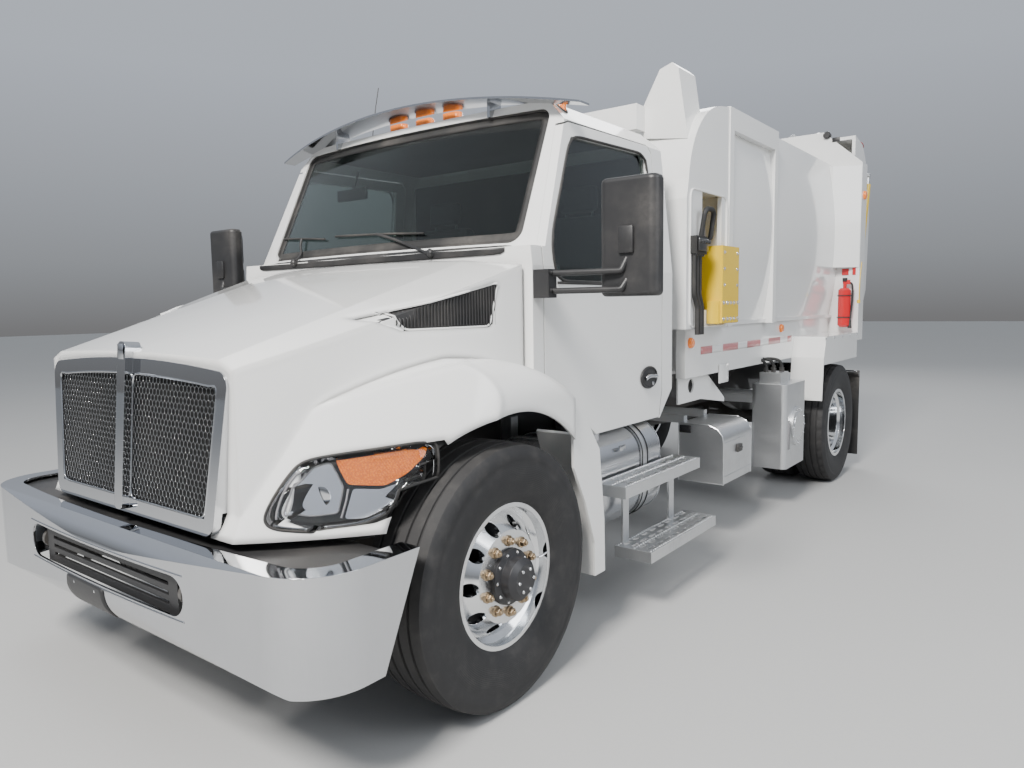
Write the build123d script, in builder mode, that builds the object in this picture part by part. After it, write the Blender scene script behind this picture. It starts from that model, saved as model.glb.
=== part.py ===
"""Side-loading garbage truck with a conventional cab, a tipping body and a curb-side arm.

Units are millimetres. X points to the truck's left, Y to its rear and Z up. The origin lies on
the ground under the middle of the truck. A station is a distance behind the bumper's face.
"""

from build123d import *

import os
from math import cos, hypot, pi, radians, sin

os.makedirs("parts", exist_ok=True)

# Overall layout
overall_length = 7150.0
nose = -overall_length / 2
front_axle_station = 1050.0
wheelbase = 4730.0
rear_axle_station = front_axle_station + wheelbase

# Clearances
seat_gap = 0.3  # between two curved or soft pieces that sit on each other
running_gap = 0.05  # radial gap of a shaft in its bore
panel_gap = 7.0  # round a door, hood or tailgate
sheet = 12.0  # moulded panels and brackets

# Chassis rails
rail_height = 270.0
rail_flange = 85.0
rail_web = 10.0
rail_top = 1050.0
rail_outer = 430.0
rail_front_station = 330.0
rail_rear_station = 6490.0
rail_bottom = rail_top - rail_height
cross_member_stations = (420.0, 2760.0, 4080.0, 5300.0, 6400.0)
cross_member_depth = 70.0
cab_mount_stations = (1770.0, 2640.0)

# Tyres and rims
front_tyre_radius = 530.0
front_tyre_width = 312.0
front_tyre_outer = 1190.0
rear_tyre_radius = 520.0
rear_tyre_width = 278.0
rear_tyre_outer = 1215.0
dual_spacing = 330.0
bead_seat_radius = 285.75
flange_radius = 298.5
rim_half_width = 116.0
rim_flange_thickness = 11.0
well_radius = 262.0
rim_wall = 14.0
disc_thickness = 22.0
disc_bore_radius = 110.0
hand_hole_count = 10
hand_hole_radius = 27.0
hand_hole_circle = 208.0
tread_round = 45.0
shoulder_drop = 28.0
front_disc_offset = 118.0
hub_flange_radius = 165.0
hub_flange_thickness = 24.0
hub_radius = 95.0
hub_cap_length = 84.0
hub_cap_radius = 84.0
drum_radius = 208.0
drum_wall = 20.0
drum_width = 85.0
spindle_radius = 38.0
front_tyre_centre = front_tyre_outer - front_tyre_width / 2
rear_outer_centre = rear_tyre_outer - rear_tyre_width / 2
rear_inner_centre = rear_outer_centre - dual_spacing
rear_disc_face = (rear_outer_centre + rear_inner_centre) / 2

# Front axle and steering
kingpin_x = 870.0
kingpin_radius = 22.0
kingpin_boss_radius = 48.0
kingpin_boss_height = 110.0
kingpin_lug_height = 42.0
beam_height = 95.0
beam_width = 90.0
beam_drop = 70.0
steering_arm_length = 190.0
steering_arm_thickness = 26.0
tie_rod_radius = 20.0
tie_rod_eye_height = 34.0
spring_x = 385.0
spring_width = 76.0
spring_pack = 62.0
front_spring_span = 1040.0
rear_spring_span = 1180.0
rear_spring_pack = 110.0

# Rear axle
axle_tube_radius = 62.0
diff_radius = 205.0
diff_width = 300.0
shaft_radius = 48.0
shaft_front_height = 715.0

# Engine, radiator
engine_half_width = 300.0
engine_front_station = 560.0
engine_rear_station = 1370.0
engine_top = 1430.0
engine_bottom = 640.0
gearbox_half_width = 215.0
gearbox_rear_station = 2330.0
gearbox_top = 1030.0
radiator_station = 330.0
radiator_depth = 95.0
radiator_half_width = 470.0
radiator_bottom = 1060.0
radiator_top = 1350.0

# Bumper
bumper_half_width = 1200.0
bumper_top = 802.0
bumper_bottom = 425.0
bumper_end_top = 515.0
bumper_end_bottom = 345.0
bumper_corner_radius = 230.0
bumper_wall = 9.0
bumper_depth = 90.0
bumper_corner_station = 42.0
bumper_reach = 640.0
slot_half_width = 600.0
slot_bottom = 575.0
slot_top = 715.0
bumper_slat_station = bumper_wall + 34
bumper_slat_half_width = 520.0
bumper_slat_count = 4
bumper_bracket_station = 150.0

# Hood, its grille and lamps
hood_rear_station = 1372.0
hood_rear_half_width = 1000.0
hood_rear_height = 1795.0
hood_side_bottom = 1290.0
hood_front_station = 185.0
hood_crown = 14.0
grille_top_half_width = 672.0
grille_bottom_half_width = 602.0
grille_bottom = 822.0
grille_side_height = 560.0
grille_arch = 34.0
grille_station = 130.0
grille_tilt = radians(5.0)
grille_rim = 58.0
grille_face_depth = 30.0
grille_depth = 72.0
grille_skirt = 12.0
grille_bar_width = 62.0
grille_bar_proud = 30.0
grille_bar_rise = 62.0
grille_bar_top = grille_side_height + grille_arch + grille_bar_rise
grille_corner_radius = 55.0
mesh_recess = 18.0
mesh_thickness = 10.0
lamp_depth = 46.0
fender_inner = 560.0
fender_front_station = 150.0
fender_lean = 0.42
fender_flare_inner = 1050.0
lamp_flush = 2.0
vent_recess = 6.0
mesh_panel_width = 505.0
mesh_pitch = 62.0
mesh_columns = 7
mesh_rows = 5
fender_outer = 1190.0
fender_top = 1390.0
fender_rear_station = 1488.0
fender_bottom = 812.0
arch_radius = 590.0
arch_station = 1075.0
arch_height = 590.0
hood_hinge_station = 178.0
hood_hinge_height = 872.0
hood_pin_radius = 9.0
hinge_inboard = 18.0
ear_round = 12.0
ear_rise = 10.0  # of the ear's arm over the hinge, so the hood's lower edge swings under it
ear_thickness = 24.0
ear_tube_radius = 20.0
bracket_thickness = 22.0
tow_eye_x = 545.0
tow_eye_reach = 125.0
tow_eye_thickness = 20.0
tow_eye_station = 74.0
tow_eye_height = 640.0
tow_eye_radius = 40.0
tow_eye_bore = 20.0

# Cab
cab_half_width = 1040.0
cab_roof_half_width = 965.0
cab_wall = 42.0
cab_front_station = 1392.0
cab_rear_station = 2742.0
cab_floor = 955.0
shoulder_height = 1760.0
screen_top_station = 1800.0
screen_top_height = 2530.0
screen_base_station = 1485.0
roof_height = 2585.0
screen_half_width = 905.0
glass_thickness = 8.0
door_front_station = 1470.0
door_rear_station = 2620.0
door_top = 2430.0
pillar_height = 1893.0
window_bottom = 1702.0
arch_seam_height = 1264.0
screen_base_height = 1845.0
screen_bow = 112.0
screen_low = 1868.0
screen_high = 2505.0
roof_edge_height = 2440.0
sill_front_station = 1905.0
sill_inner = 905.0
cab_underside = 1085.0
cab_heel_height = 1108.0
glass_recess = 14.0
screen_cut_depth = 520.0
rear_window_centre = 430.0
rear_window_height = 2085.0
rear_window_width = 470.0
rear_window_tall = 380.0

# Body
body_front_station = 2950.0
hopper_wall_station = 3590.0
rib_station = 4500.0
ring_station = 6310.0
ring_depth = 185.0
ring_rear_station = ring_station + ring_depth
ring_half_width = 1220.0
ring_bottom = 1227.0
ring_top = 3160.0
body_floor = 1125.0
body_top = 2840.0
body_rail_top = 1465.0
body_rail_half_width = 960.0
panel_half_width = 1030.0
body_wall = 30.0
tailgate_half_width = 1105.0
tip_hinge_station = 6430.0
tip_hinge_height = 1086.0
barrel_half_width = 1026.0
barrel_top_half_width = 966.0
barrel_mid_height = 2300.0
roof_crown = 22.0
rib_width = 70.0
rib_half_width = 1037.0
header_bottom = 2700.0
guard_top = 3015.0
bay_floor = 1435.0
bay_top = 2270.0
bay_front_station = 2985.0
bay_rear_station = 3560.0
sill_front = 3100.0
sill_depth = 62.0
slot_front_station = 3170.0
slot_rear_station = 3475.0
slot_low = 1547.0
slot_high = 2280.0
mouth_half_width = 860.0
mouth_rear_station = 4400.0
chute_front_station = 3060.0
chute_front_height = 2700.0
chute_rear_height = 2310.0
front_wall_half_width = 700.0
front_wall_top = 2790.0
ring_floor_half_width = 960.0
ring_shoulder = 2847.0
ring_top_half_width = 870.0
rest_gap = 6.0
subframe_rear_station = 6370.0
tip_ear_thickness = 20.0
tip_tongue_thickness = 24.0
tip_tongue_x = 390.0
tip_pin_radius = 18.0
tip_ear_radius = 30.0
gate_hinge_station = 6532.0
gate_hinge_rise = 12.0
gate_hinge_height = ring_top + gate_hinge_rise
gate_front_top = ring_top - 25
gate_ear_x = 815.0
gate_ear_gap = 54.0
gate_ear_thickness = 25.0
gate_ear_radius = 32.0
gate_pin_radius = 16.0
gate_front_station = 6515.0
gate_wall = 30.0
gate_bulge_radius = 957.0
gate_bulge_height = 2350.0
gate_bulge_sweep = radians(50.6)

# Cylinders: base pivot and rod eye in the side plane, barrel, rod and eye sizes
hoist_base = (4230.0, 700.0)
hoist_eye = (5180.0, 1075.0)
hoist_x = 200.0
hoist_barrel_radius = 64.0
hoist_rod_radius = 34.0
hoist_eye_radius = 40.0
hoist_eye_width = 80.0
gate_base = (6560.0, 1950.0)
gate_eye = (6800.0, 2790.0)
gate_cylinder_x = 1160.0
gate_barrel_radius = 32.0
gate_rod_radius = 17.0
gate_cylinder_eye_radius = 26.0
gate_cylinder_eye_width = 36.0
cylinder_pin_radius = 15.0
cylinder_head_room = 90.0
cylinder_bottom = 120.0
lug_thickness = 20.0
lug_gap = 5.0

# Curb-side arm
arm_front_station = 3280.0
arm_rear_station = 3550.0
arm_bottom = 1465.0
arm_top = 1940.0
arm_wall = 14.0
arm_left_end = 1120.0
arm_right_end = -1000.0
slide_clearance = 5.0
slide_left_end = 620.0
slide_plate = 30.0
lift_x = -1130.0
lift_height = 1850.0
drum_half_length = 120.0
drum_outer = 84.0
lift_shaft_radius = 45.0
lift_plate = 24.0
lift_plate_radius = 92.0
beam_half_depth = 34.0
gripper_height = 765.0
gripper_half_length = 330.0
gripper_half_height = 34.0
finger_x = -1205.0
finger_spacing = 290.0
finger_length = 480.0
finger_thickness = 28.0
finger_half_height = 34.0
finger_hook = 82.0
finger_eye_radius = 34.0
finger_pin_radius = 15.0
finger_lug = 16.0
arm_centre_station = (arm_front_station + arm_rear_station) / 2

# Packer blade
blade_front_station = 3655.0
blade_depth = 110.0
blade_half_width = 915.0
blade_bottom = 1165.0
blade_top = 2180.0

# Tanks, steps and boxes beside the rails
tank_inner = 500.0
tank_outer = 1000.0
tank_bottom = 400.0
tank_top = 930.0
tank_corner = 170.0
tank_front_station = 1790.0
tank_rear_station = 2690.0
strap_stations = (1930.0, 2450.0)
strap_width = 60.0
strap_thickness = 6.0
upper_step = (1020.0, 1190.0, 1930.0, 2800.0, 710.0)
lower_step = (1030.0, 1240.0, 2100.0, 2920.0, 350.0)
step_height = 58.0
step_hanger_stations = (2160.0, 2700.0)
tool_box_front_station = 3380.0
tool_box_rear_station = 3880.0
hydraulic_front_station = 4420.0
hydraulic_rear_station = 4900.0

# Cab details
visor_front_station = 1612.0
visor_rear_station = 1800.0
visor_thickness = 10.0
roof_lamp_station = 1856.0
mirror_x = 1440.0
mirror_station = 1525.0
mirror_bottom = 1620.0
mirror_top = 2095.0
arm_tube_radius = 13.0
rail_tube_radius = 16.0
seat_x = 520.0

# Rear fenders and flaps
rear_fender_front_station = 5200.0
rear_fender_rear_station = 6300.0
rear_fender_inner = 960.0
rear_fender_outer = 1220.0
rear_fender_top = 1300.0
rear_fender_bottom = 1070.0
rear_fender_skirt = 777.0
flap_station = 6462.0
flap_inner = 800.0
flap_outer = 1215.0
flap_bottom = 120.0
flap_top = 930.0
flap_bar_radius = 20.0
rear_bar_station = 6491.0
rear_bar_half_width = 850.0
rear_bar_bottom = 800.0
rear_bar_top = 960.0
rear_eye_x = 300.0
rear_eye_station = 6578.0


def side(x):
    """The plane at x that looks along X: its axes are station and height."""
    return Plane(origin=(x, nose, 0), x_dir=(0, 1, 0), z_dir=(1, 0, 0))


def cross(station):
    """The plane across the truck at a station: its axes are x and height."""
    return Plane(origin=(0, nose + station, 0), x_dir=(1, 0, 0), z_dir=(0, -1, 0))


def level(height):
    """The level plane at a height: its axes are x and station."""
    return Plane(origin=(0, nose, height))


def cross_axis(station, height):
    """The axis along X through a station and a height."""
    return Axis((0, nose + station, height), (1, 0, 0))


def write_pair(left, name):
    """Write the left piece and its mirror image on the right."""
    with BuildPart() as right:
        mirror(left.part, about=Plane.YZ)
    left.part.label = f"{name}_left"
    export_step(left.part, f"parts/{name}_left.step")
    right.part.label = f"{name}_right"
    export_step(right.part, f"parts/{name}_right.step")


# Chassis frame: two channel rails with cross members riveted between them, and the rear bar with tow eyes
member_width = 2 * (rail_outer - rail_web - seat_gap)
member_height = rail_height - 2 * rail_web - 2 * seat_gap
with BuildPart() as chassis_frame:
    with BuildSketch(cross(rail_front_station)):
        for hand in (-1, 1):
            rail_centre = hand * (rail_outer - rail_flange / 2)
            with Locations((rail_centre, rail_top - rail_height / 2)):
                Rectangle(rail_flange, rail_height)
        for hand in (-1, 1):
            hollow = rail_flange - rail_web
            with Locations((hand * (rail_outer - rail_web - hollow / 2), rail_top - rail_height / 2)):
                Rectangle(hollow, rail_height - 2 * rail_web, mode=Mode.SUBTRACT)
    extrude(amount=rail_front_station - rail_rear_station)
    for member_station in cross_member_stations:
        with BuildSketch(cross(member_station)):
            with Locations((0, rail_bottom + rail_height / 2)):
                Rectangle(member_width, member_height)
                Rectangle(member_width, member_height - 2 * rail_web, mode=Mode.SUBTRACT)
                Rectangle(2 * rail_web, member_height)
        extrude(amount=-cross_member_depth)
    for hand in (-1, 1):
        for ear_side in (-1, 1):
            ear_middle = hand * tip_tongue_x + ear_side * (tip_tongue_thickness + tip_ear_thickness + 4) / 2
            with BuildSketch(side(ear_middle - tip_ear_thickness / 2)):
                with Locations((tip_hinge_station, tip_hinge_height)):
                    Circle(tip_ear_radius)
                    Rectangle(
                        2 * tip_ear_radius, tip_hinge_height - rail_top + 1, align=(Align.CENTER, Align.MAX),
                    )
                    Circle(tip_pin_radius + running_gap, mode=Mode.SUBTRACT)
            extrude(amount=tip_ear_thickness)
        lug_offset = hoist_eye_width / 2 + lug_gap + lug_thickness / 2
        for lug_side in (-1, 1):
            with BuildSketch(side(hand * hoist_x + lug_side * lug_offset - lug_thickness / 2)):
                with BuildLine():
                    Polyline(
                        (hoist_base[0] - 120, rail_bottom + 90),
                        (hoist_base[0] - 75, rail_bottom + 110),
                        (hoist_base[0] + 8, hoist_base[1] + 38),
                        (hoist_base[0] + 32, hoist_base[1] + 18),
                        (hoist_base[0] + 36, hoist_base[1]),
                        (hoist_base[0], hoist_base[1] - 42),
                        (hoist_base[0] - 40, hoist_base[1]),
                        (hoist_base[0] - 120, rail_bottom + 20),
                        close=True,
                    )
                make_face()
            extrude(amount=lug_thickness)
        with BuildSketch(side(hand * hoist_x - lug_offset)):
            with Locations(hoist_base):
                Circle(cylinder_pin_radius)
        extrude(amount=2 * lug_offset)
        with BuildSketch(side(hand * (rail_outer + seat_gap))):
            with Locations((flap_station - flap_bar_radius, flap_top - 30)):
                Circle(flap_bar_radius)
        extrude(amount=hand * (flap_outer - rail_outer - seat_gap))
        for mount_station in cab_mount_stations:
            with BuildSketch(level(rail_top)):
                with Locations((hand * (rail_outer - rail_flange / 2), mount_station)):
                    Rectangle(rail_flange, 60)
            extrude(amount=cab_underside - rail_top)
    with BuildSketch(cross(rail_rear_station + seat_gap)):
        with Locations((0, (rear_bar_bottom + rear_bar_top) / 2)):
            Rectangle(2 * rear_bar_half_width, rear_bar_top - rear_bar_bottom)
    extrude(amount=rail_rear_station + seat_gap - rear_bar_station - 30)
    for hand in (-1, 1):
        with BuildSketch(side(hand * rear_eye_x - tow_eye_thickness / 2)):
            with Locations((rear_eye_station, (rear_bar_bottom + rear_bar_top) / 2)):
                Circle(tow_eye_radius)
                Rectangle(
                    rear_eye_station - rear_bar_station - 20,
                    2 * tow_eye_radius,
                    align=(Align.MAX, Align.CENTER),
                )
                Circle(tow_eye_bore, mode=Mode.SUBTRACT)
        extrude(amount=tow_eye_thickness)
chassis_frame.part.label = "chassis_frame"
export_step(chassis_frame.part, "parts/chassis_frame.step")

# Engine with its gearbox, one plain block
with BuildPart() as engine_block:
    with BuildSketch(side(0)):
        with BuildLine():
            Polyline(
                (engine_front_station, engine_bottom),
                (engine_rear_station, engine_bottom),
                (engine_rear_station, engine_top),
                (engine_front_station, engine_top),
                close=True,
            )
        make_face()
    extrude(amount=engine_half_width, both=True)
    with BuildSketch(side(0)):
        with Locations(((engine_rear_station + gearbox_rear_station) / 2, (engine_bottom + gearbox_top) / 2)):
            Rectangle(gearbox_rear_station - engine_rear_station, gearbox_top - engine_bottom)
    extrude(amount=gearbox_half_width, both=True)
    for mount_station in (engine_front_station + 260, engine_rear_station - 160):
        with BuildSketch(level(rail_top)):
            with Locations((0, mount_station)):
                Rectangle(2 * rail_outer - 20, 90)
        extrude(amount=45)
engine_block.part.label = "engine_block"
export_step(engine_block.part, "parts/engine_block.step")

# Radiator and its charge cooler behind the grille
with BuildPart() as radiator:
    with BuildSketch(cross(radiator_station)):
        with BuildLine():
            Polyline(
                (-rail_outer, rail_top),
                (rail_outer, rail_top),
                (rail_outer, radiator_bottom),
                (radiator_half_width, radiator_bottom),
                (radiator_half_width, radiator_top),
                (-radiator_half_width, radiator_top),
                (-radiator_half_width, radiator_bottom),
                (-rail_outer, radiator_bottom),
                close=True,
            )
        make_face()
    extrude(amount=-radiator_depth)
radiator.part.label = "radiator"
export_step(radiator.part, "parts/radiator.step")


def tyre_section(centre, axle_height, radius, width):
    """Square-shouldered section of a tyre on its rim, in the plane across the truck."""
    bead = rim_half_width - rim_flange_thickness - seat_gap
    low = axle_height + bead_seat_radius + seat_gap
    lip = axle_height + flange_radius + 3
    belly = axle_height + (radius + flange_radius) / 2
    shoulder = axle_height + radius - shoulder_drop
    tread = width / 2 - tread_round
    edge = width / 2 - 12
    with BuildSketch() as section:
        with BuildLine():
            Polyline((centre - bead, lip), (centre - bead, low), (centre + bead, low), (centre + bead, lip))
            ThreePointArc((centre + bead, lip), (centre + width / 2, belly), (centre + edge, shoulder))
            Polyline(
                (centre + edge, shoulder),
                (centre + tread, axle_height + radius),
                (centre - tread, axle_height + radius),
                (centre - edge, shoulder),
            )
            ThreePointArc((centre - edge, shoulder), (centre - width / 2, belly), (centre - bead, lip))
        make_face()
    return section.sketch


def rim_section(centre, axle_height, disc_x, hand):
    """Barrel and disc of one rim; the disc's face lies at disc_x and looks along hand."""
    half = rim_half_width
    seat = axle_height + bead_seat_radius
    lip = axle_height + flange_radius
    well = axle_height + well_radius
    inside = seat - rim_wall
    back = disc_x - hand * disc_thickness
    root = min(max(disc_x - hand * 46, centre - half + 80), centre + half - 80)
    root_height = well - rim_wall + 4
    with BuildSketch() as section:
        with BuildLine():
            Polyline(
                (centre - half, lip),
                (centre - half + rim_flange_thickness, lip),
                (centre - half + rim_flange_thickness, seat),
                (centre - half + 48, seat),
                (centre - half + 66, well),
                (centre + half - 66, well),
                (centre + half - 48, seat),
                (centre + half - rim_flange_thickness, seat),
                (centre + half - rim_flange_thickness, lip),
                (centre + half, lip),
                (centre + half, inside),
                (centre + half - 44, inside),
                (centre + half - 62, well - rim_wall),
                (centre - half + 62, well - rim_wall),
                (centre - half + 44, inside),
                (centre - half, inside),
                close=True,
            )
        make_face()
        with BuildLine():
            Polyline(
                (disc_x, axle_height + disc_bore_radius),
                (disc_x, axle_height + hand_hole_circle - 24),
                (root + hand * disc_thickness / 2, root_height),
                (root - hand * disc_thickness / 2, root_height),
                (back, axle_height + hand_hole_circle - 30),
                (back, axle_height + disc_bore_radius),
                close=True,
            )
        make_face()
    return section.sketch


# Front wheels: tyre, rim and hub with its brake drum
front_disc_x = front_tyre_centre + front_disc_offset
with BuildPart() as front_tyre:
    with BuildSketch(cross(front_axle_station)):
        add(tyre_section(front_tyre_centre, front_tyre_radius, front_tyre_radius, front_tyre_width))
    revolve(axis=cross_axis(front_axle_station, front_tyre_radius))
write_pair(front_tyre, "front_tyre")

with BuildPart() as front_rim:
    with BuildSketch(cross(front_axle_station)):
        add(rim_section(front_tyre_centre, front_tyre_radius, front_disc_x, 1))
    revolve(axis=cross_axis(front_axle_station, front_tyre_radius))
    with BuildSketch(side(front_tyre_centre)):
        with Locations((front_axle_station, front_tyre_radius)):
            with PolarLocations(hand_hole_circle, hand_hole_count):
                Circle(hand_hole_radius)
    extrude(amount=front_disc_offset * 2, mode=Mode.SUBTRACT)

drum_start = kingpin_x + kingpin_boss_radius + 48
front_hub_inner = drum_start + 30
with BuildPart() as front_wheel:
    add(front_rim.part)
    with BuildSketch(cross(front_axle_station)):
        with BuildLine():
            axle = front_tyre_radius
            flange_x = front_disc_x - disc_thickness
            Polyline(
                (front_hub_inner, axle + spindle_radius + running_gap),
                (front_hub_inner, axle + hub_radius),
                (drum_start + drum_width - drum_wall, axle + hub_radius),
                (drum_start + drum_width - drum_wall, axle + drum_radius - drum_wall),
                (drum_start, axle + drum_radius - drum_wall),
                (drum_start, axle + drum_radius),
                (drum_start + drum_width, axle + drum_radius),
                (drum_start + drum_width, axle + hub_radius),
                (flange_x - hub_flange_thickness, axle + hub_radius),
                (flange_x - hub_flange_thickness, axle + hub_flange_radius),
                (flange_x, axle + hub_flange_radius),
                (flange_x, axle + disc_bore_radius),
                (front_disc_x + 16, axle + disc_bore_radius),
                (front_disc_x + 26, axle + hub_cap_radius),
                (front_disc_x + hub_cap_length - 20, axle + hub_cap_radius),
                (front_disc_x + hub_cap_length, axle + hub_cap_radius - 22),
                (front_disc_x + hub_cap_length, axle),
                (front_disc_x + seat_gap, axle),
                (front_disc_x + seat_gap, axle + spindle_radius + running_gap),
                close=True,
            )
        make_face()
    revolve(axis=cross_axis(front_axle_station, front_tyre_radius))
write_pair(front_wheel, "front_wheel")

# Steering knuckles: two lugs on a kingpin, the spindle and the steering arm
lug_inner = kingpin_boss_height / 2 + seat_gap
lug_outer = lug_inner + kingpin_lug_height
yoke_x = kingpin_x + kingpin_boss_radius + 8
yoke_width = 34.0
arm_end_station = front_axle_station + steering_arm_length
arm_height = front_tyre_radius - lug_outer + steering_arm_thickness / 2
with BuildPart() as steering_knuckle:
    for low in (-lug_outer, lug_inner):
        with BuildSketch(level(front_tyre_radius + low)):
            with Locations((kingpin_x, front_axle_station)):
                Circle(kingpin_boss_radius)
            with Locations(((kingpin_x + yoke_x + yoke_width) / 2, front_axle_station)):
                Rectangle(yoke_x + yoke_width - kingpin_x, 2 * kingpin_boss_radius)
        extrude(amount=kingpin_lug_height)
    with BuildSketch(level(front_tyre_radius - lug_outer)):
        with Locations((yoke_x + yoke_width / 2, front_axle_station)):
            Rectangle(yoke_width, 2 * kingpin_boss_radius)
    extrude(amount=2 * lug_outer)
    with BuildSketch(level(front_tyre_radius - lug_inner - 1)):
        with Locations((kingpin_x, front_axle_station)):
            Circle(kingpin_radius)
    extrude(amount=2 * lug_inner + 2)
    with BuildSketch(side(yoke_x + yoke_width)):
        with Locations((front_axle_station, front_tyre_radius)):
            Circle(spindle_radius)
    extrude(amount=front_disc_x - yoke_x - yoke_width)
    with BuildSketch(level(arm_height - steering_arm_thickness / 2)):
        with BuildLine():
            Polyline(
                (kingpin_x - 30, front_axle_station + 30),
                (kingpin_x - 78, arm_end_station),
                (kingpin_x - 30, arm_end_station),
                (kingpin_x + 30, front_axle_station + 30),
                close=True,
            )
        make_face()
        with Locations((kingpin_x - 54, arm_end_station)):
            Circle(32)
    extrude(amount=steering_arm_thickness)
write_pair(steering_knuckle, "steering_knuckle")

# Tie rod under the two steering arms
tie_rod_height = arm_height - steering_arm_thickness / 2 - seat_gap - tie_rod_eye_height / 2
with BuildPart() as tie_rod:
    with BuildSketch(side(-(kingpin_x - 54))):
        with Locations((arm_end_station, tie_rod_height)):
            Circle(tie_rod_radius - 6)
    extrude(amount=2 * (kingpin_x - 54))
    for hand in (-1, 1):
        with BuildSketch(level(tie_rod_height - tie_rod_eye_height / 2)):
            with Locations((hand * (kingpin_x - 54), arm_end_station)):
                Circle(28)
        extrude(amount=tie_rod_eye_height)
tie_rod.part.label = "tie_rod"
export_step(tie_rod.part, "parts/tie_rod.step")

# Front axle beam with its kingpin bosses
pad_top = front_tyre_radius - beam_drop + beam_height / 2
with BuildPart() as front_axle:
    with BuildSketch(cross(front_axle_station + beam_width / 2)):
        with BuildLine():
            middle = front_tyre_radius - beam_drop
            Polyline(
                (-kingpin_x, front_tyre_radius + beam_height / 2),
                (-kingpin_x + 130, front_tyre_radius + beam_height / 2),
                (-spring_x - spring_width, middle + beam_height / 2),
                (spring_x + spring_width, middle + beam_height / 2),
                (kingpin_x - 130, front_tyre_radius + beam_height / 2),
                (kingpin_x, front_tyre_radius + beam_height / 2),
                (kingpin_x, front_tyre_radius - beam_height / 2),
                (kingpin_x - 150, front_tyre_radius - beam_height / 2),
                (spring_x + spring_width, middle - beam_height / 2),
                (-spring_x - spring_width, middle - beam_height / 2),
                (-kingpin_x + 150, front_tyre_radius - beam_height / 2),
                (-kingpin_x, front_tyre_radius - beam_height / 2),
                close=True,
            )
        make_face()
    extrude(amount=beam_width)
    for hand in (-1, 1):
        with BuildSketch(level(front_tyre_radius - kingpin_boss_height / 2)):
            with Locations((hand * kingpin_x, front_axle_station)):
                Circle(kingpin_boss_radius)
        extrude(amount=kingpin_boss_height)
        with BuildSketch(level(front_tyre_radius - kingpin_boss_height)):
            with Locations((hand * kingpin_x, front_axle_station)):
                Circle(kingpin_radius + running_gap)
        extrude(amount=2 * kingpin_boss_height, mode=Mode.SUBTRACT)
front_axle.part.label = "front_axle"
export_step(front_axle.part, "parts/front_axle.step")


def leaf_spring_section(axle_station, pad, span, pack):
    """Arched leaf pack on an axle pad with its hangers up to the rail, in the side plane."""
    half = span / 2
    eye = rail_bottom - 60
    with BuildSketch() as section:
        with BuildLine():
            ThreePointArc((axle_station - half, eye), (axle_station, pad), (axle_station + half, eye))
            Line((axle_station + half, eye), (axle_station + half, eye + 26))
            ThreePointArc(
                (axle_station + half, eye + 26),
                (axle_station, pad + pack),
                (axle_station - half, eye + 26),
            )
            Line((axle_station - half, eye + 26), (axle_station - half, eye))
        make_face()
        for end in (-half, half):
            with Locations((axle_station + end, (eye + rail_bottom) / 2)):
                Rectangle(70, rail_bottom - eye)
        with Locations((axle_station, pad + pack / 2)):
            Rectangle(130, pack)
    return section.sketch


with BuildPart() as front_spring:
    with BuildSketch(side(spring_x - spring_width / 2)):
        add(leaf_spring_section(front_axle_station, pad_top, front_spring_span, spring_pack))
    extrude(amount=spring_width)

# Rear axle: housing, tubes, the two spindles and the drive shaft
rear_hub_end = rear_disc_face + 150
with BuildPart() as rear_axle:
    with BuildSketch(cross(rear_axle_station)):
        with BuildLine():
            axle = rear_tyre_radius
            Polyline(
                (-rear_hub_end, axle),
                (-rear_hub_end, axle + spindle_radius),
                (-rear_inner_centre, axle + spindle_radius),
                (-rear_inner_centre, axle + axle_tube_radius),
                (-diff_width / 2 - 90, axle + axle_tube_radius),
                (-diff_width / 2, axle + 0.72 * diff_radius),
                (-diff_width / 4, axle + diff_radius),
                (diff_width / 4, axle + diff_radius),
                (diff_width / 2, axle + 0.72 * diff_radius),
                (diff_width / 2 + 90, axle + axle_tube_radius),
                (rear_inner_centre, axle + axle_tube_radius),
                (rear_inner_centre, axle + spindle_radius),
                (rear_hub_end, axle + spindle_radius),
                (rear_hub_end, axle),
                (-rear_hub_end, axle),
            )
        make_face()
    revolve(axis=cross_axis(rear_axle_station, rear_tyre_radius))
    shaft_front = Vector(0, nose + gearbox_rear_station + 6, shaft_front_height)
    shaft_rear = Vector(0, nose + rear_axle_station - diff_radius, rear_tyre_radius + 40)
    with BuildSketch(Plane(origin=shaft_front, z_dir=shaft_rear - shaft_front)):
        Circle(shaft_radius)
    extrude(amount=(shaft_rear - shaft_front).length + diff_radius / 2)
rear_axle.part.label = "rear_axle"
export_step(rear_axle.part, "parts/rear_axle.step")

rear_pad = rear_tyre_radius + axle_tube_radius + seat_gap
with BuildPart() as rear_spring:
    with BuildSketch(side(spring_x - spring_width / 2)):
        add(leaf_spring_section(rear_axle_station, rear_pad, rear_spring_span, rear_spring_pack))
    extrude(amount=spring_width)
with BuildPart() as leaf_springs:
    for spring in (front_spring, rear_spring):
        add(spring.part)
        mirror(spring.part, about=Plane.YZ)
leaf_springs.part.label = "leaf_springs"
export_step(leaf_springs.part, "parts/leaf_springs.step")

# Rear wheels: twin tyres and rims on one hub each side
with BuildPart() as rear_tyres:
    for centre in (rear_inner_centre, rear_outer_centre):
        with BuildSketch(cross(rear_axle_station)):
            add(tyre_section(centre, rear_tyre_radius, rear_tyre_radius, rear_tyre_width))
        revolve(axis=cross_axis(rear_axle_station, rear_tyre_radius))
write_pair(rear_tyres, "rear_tyres")

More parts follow.
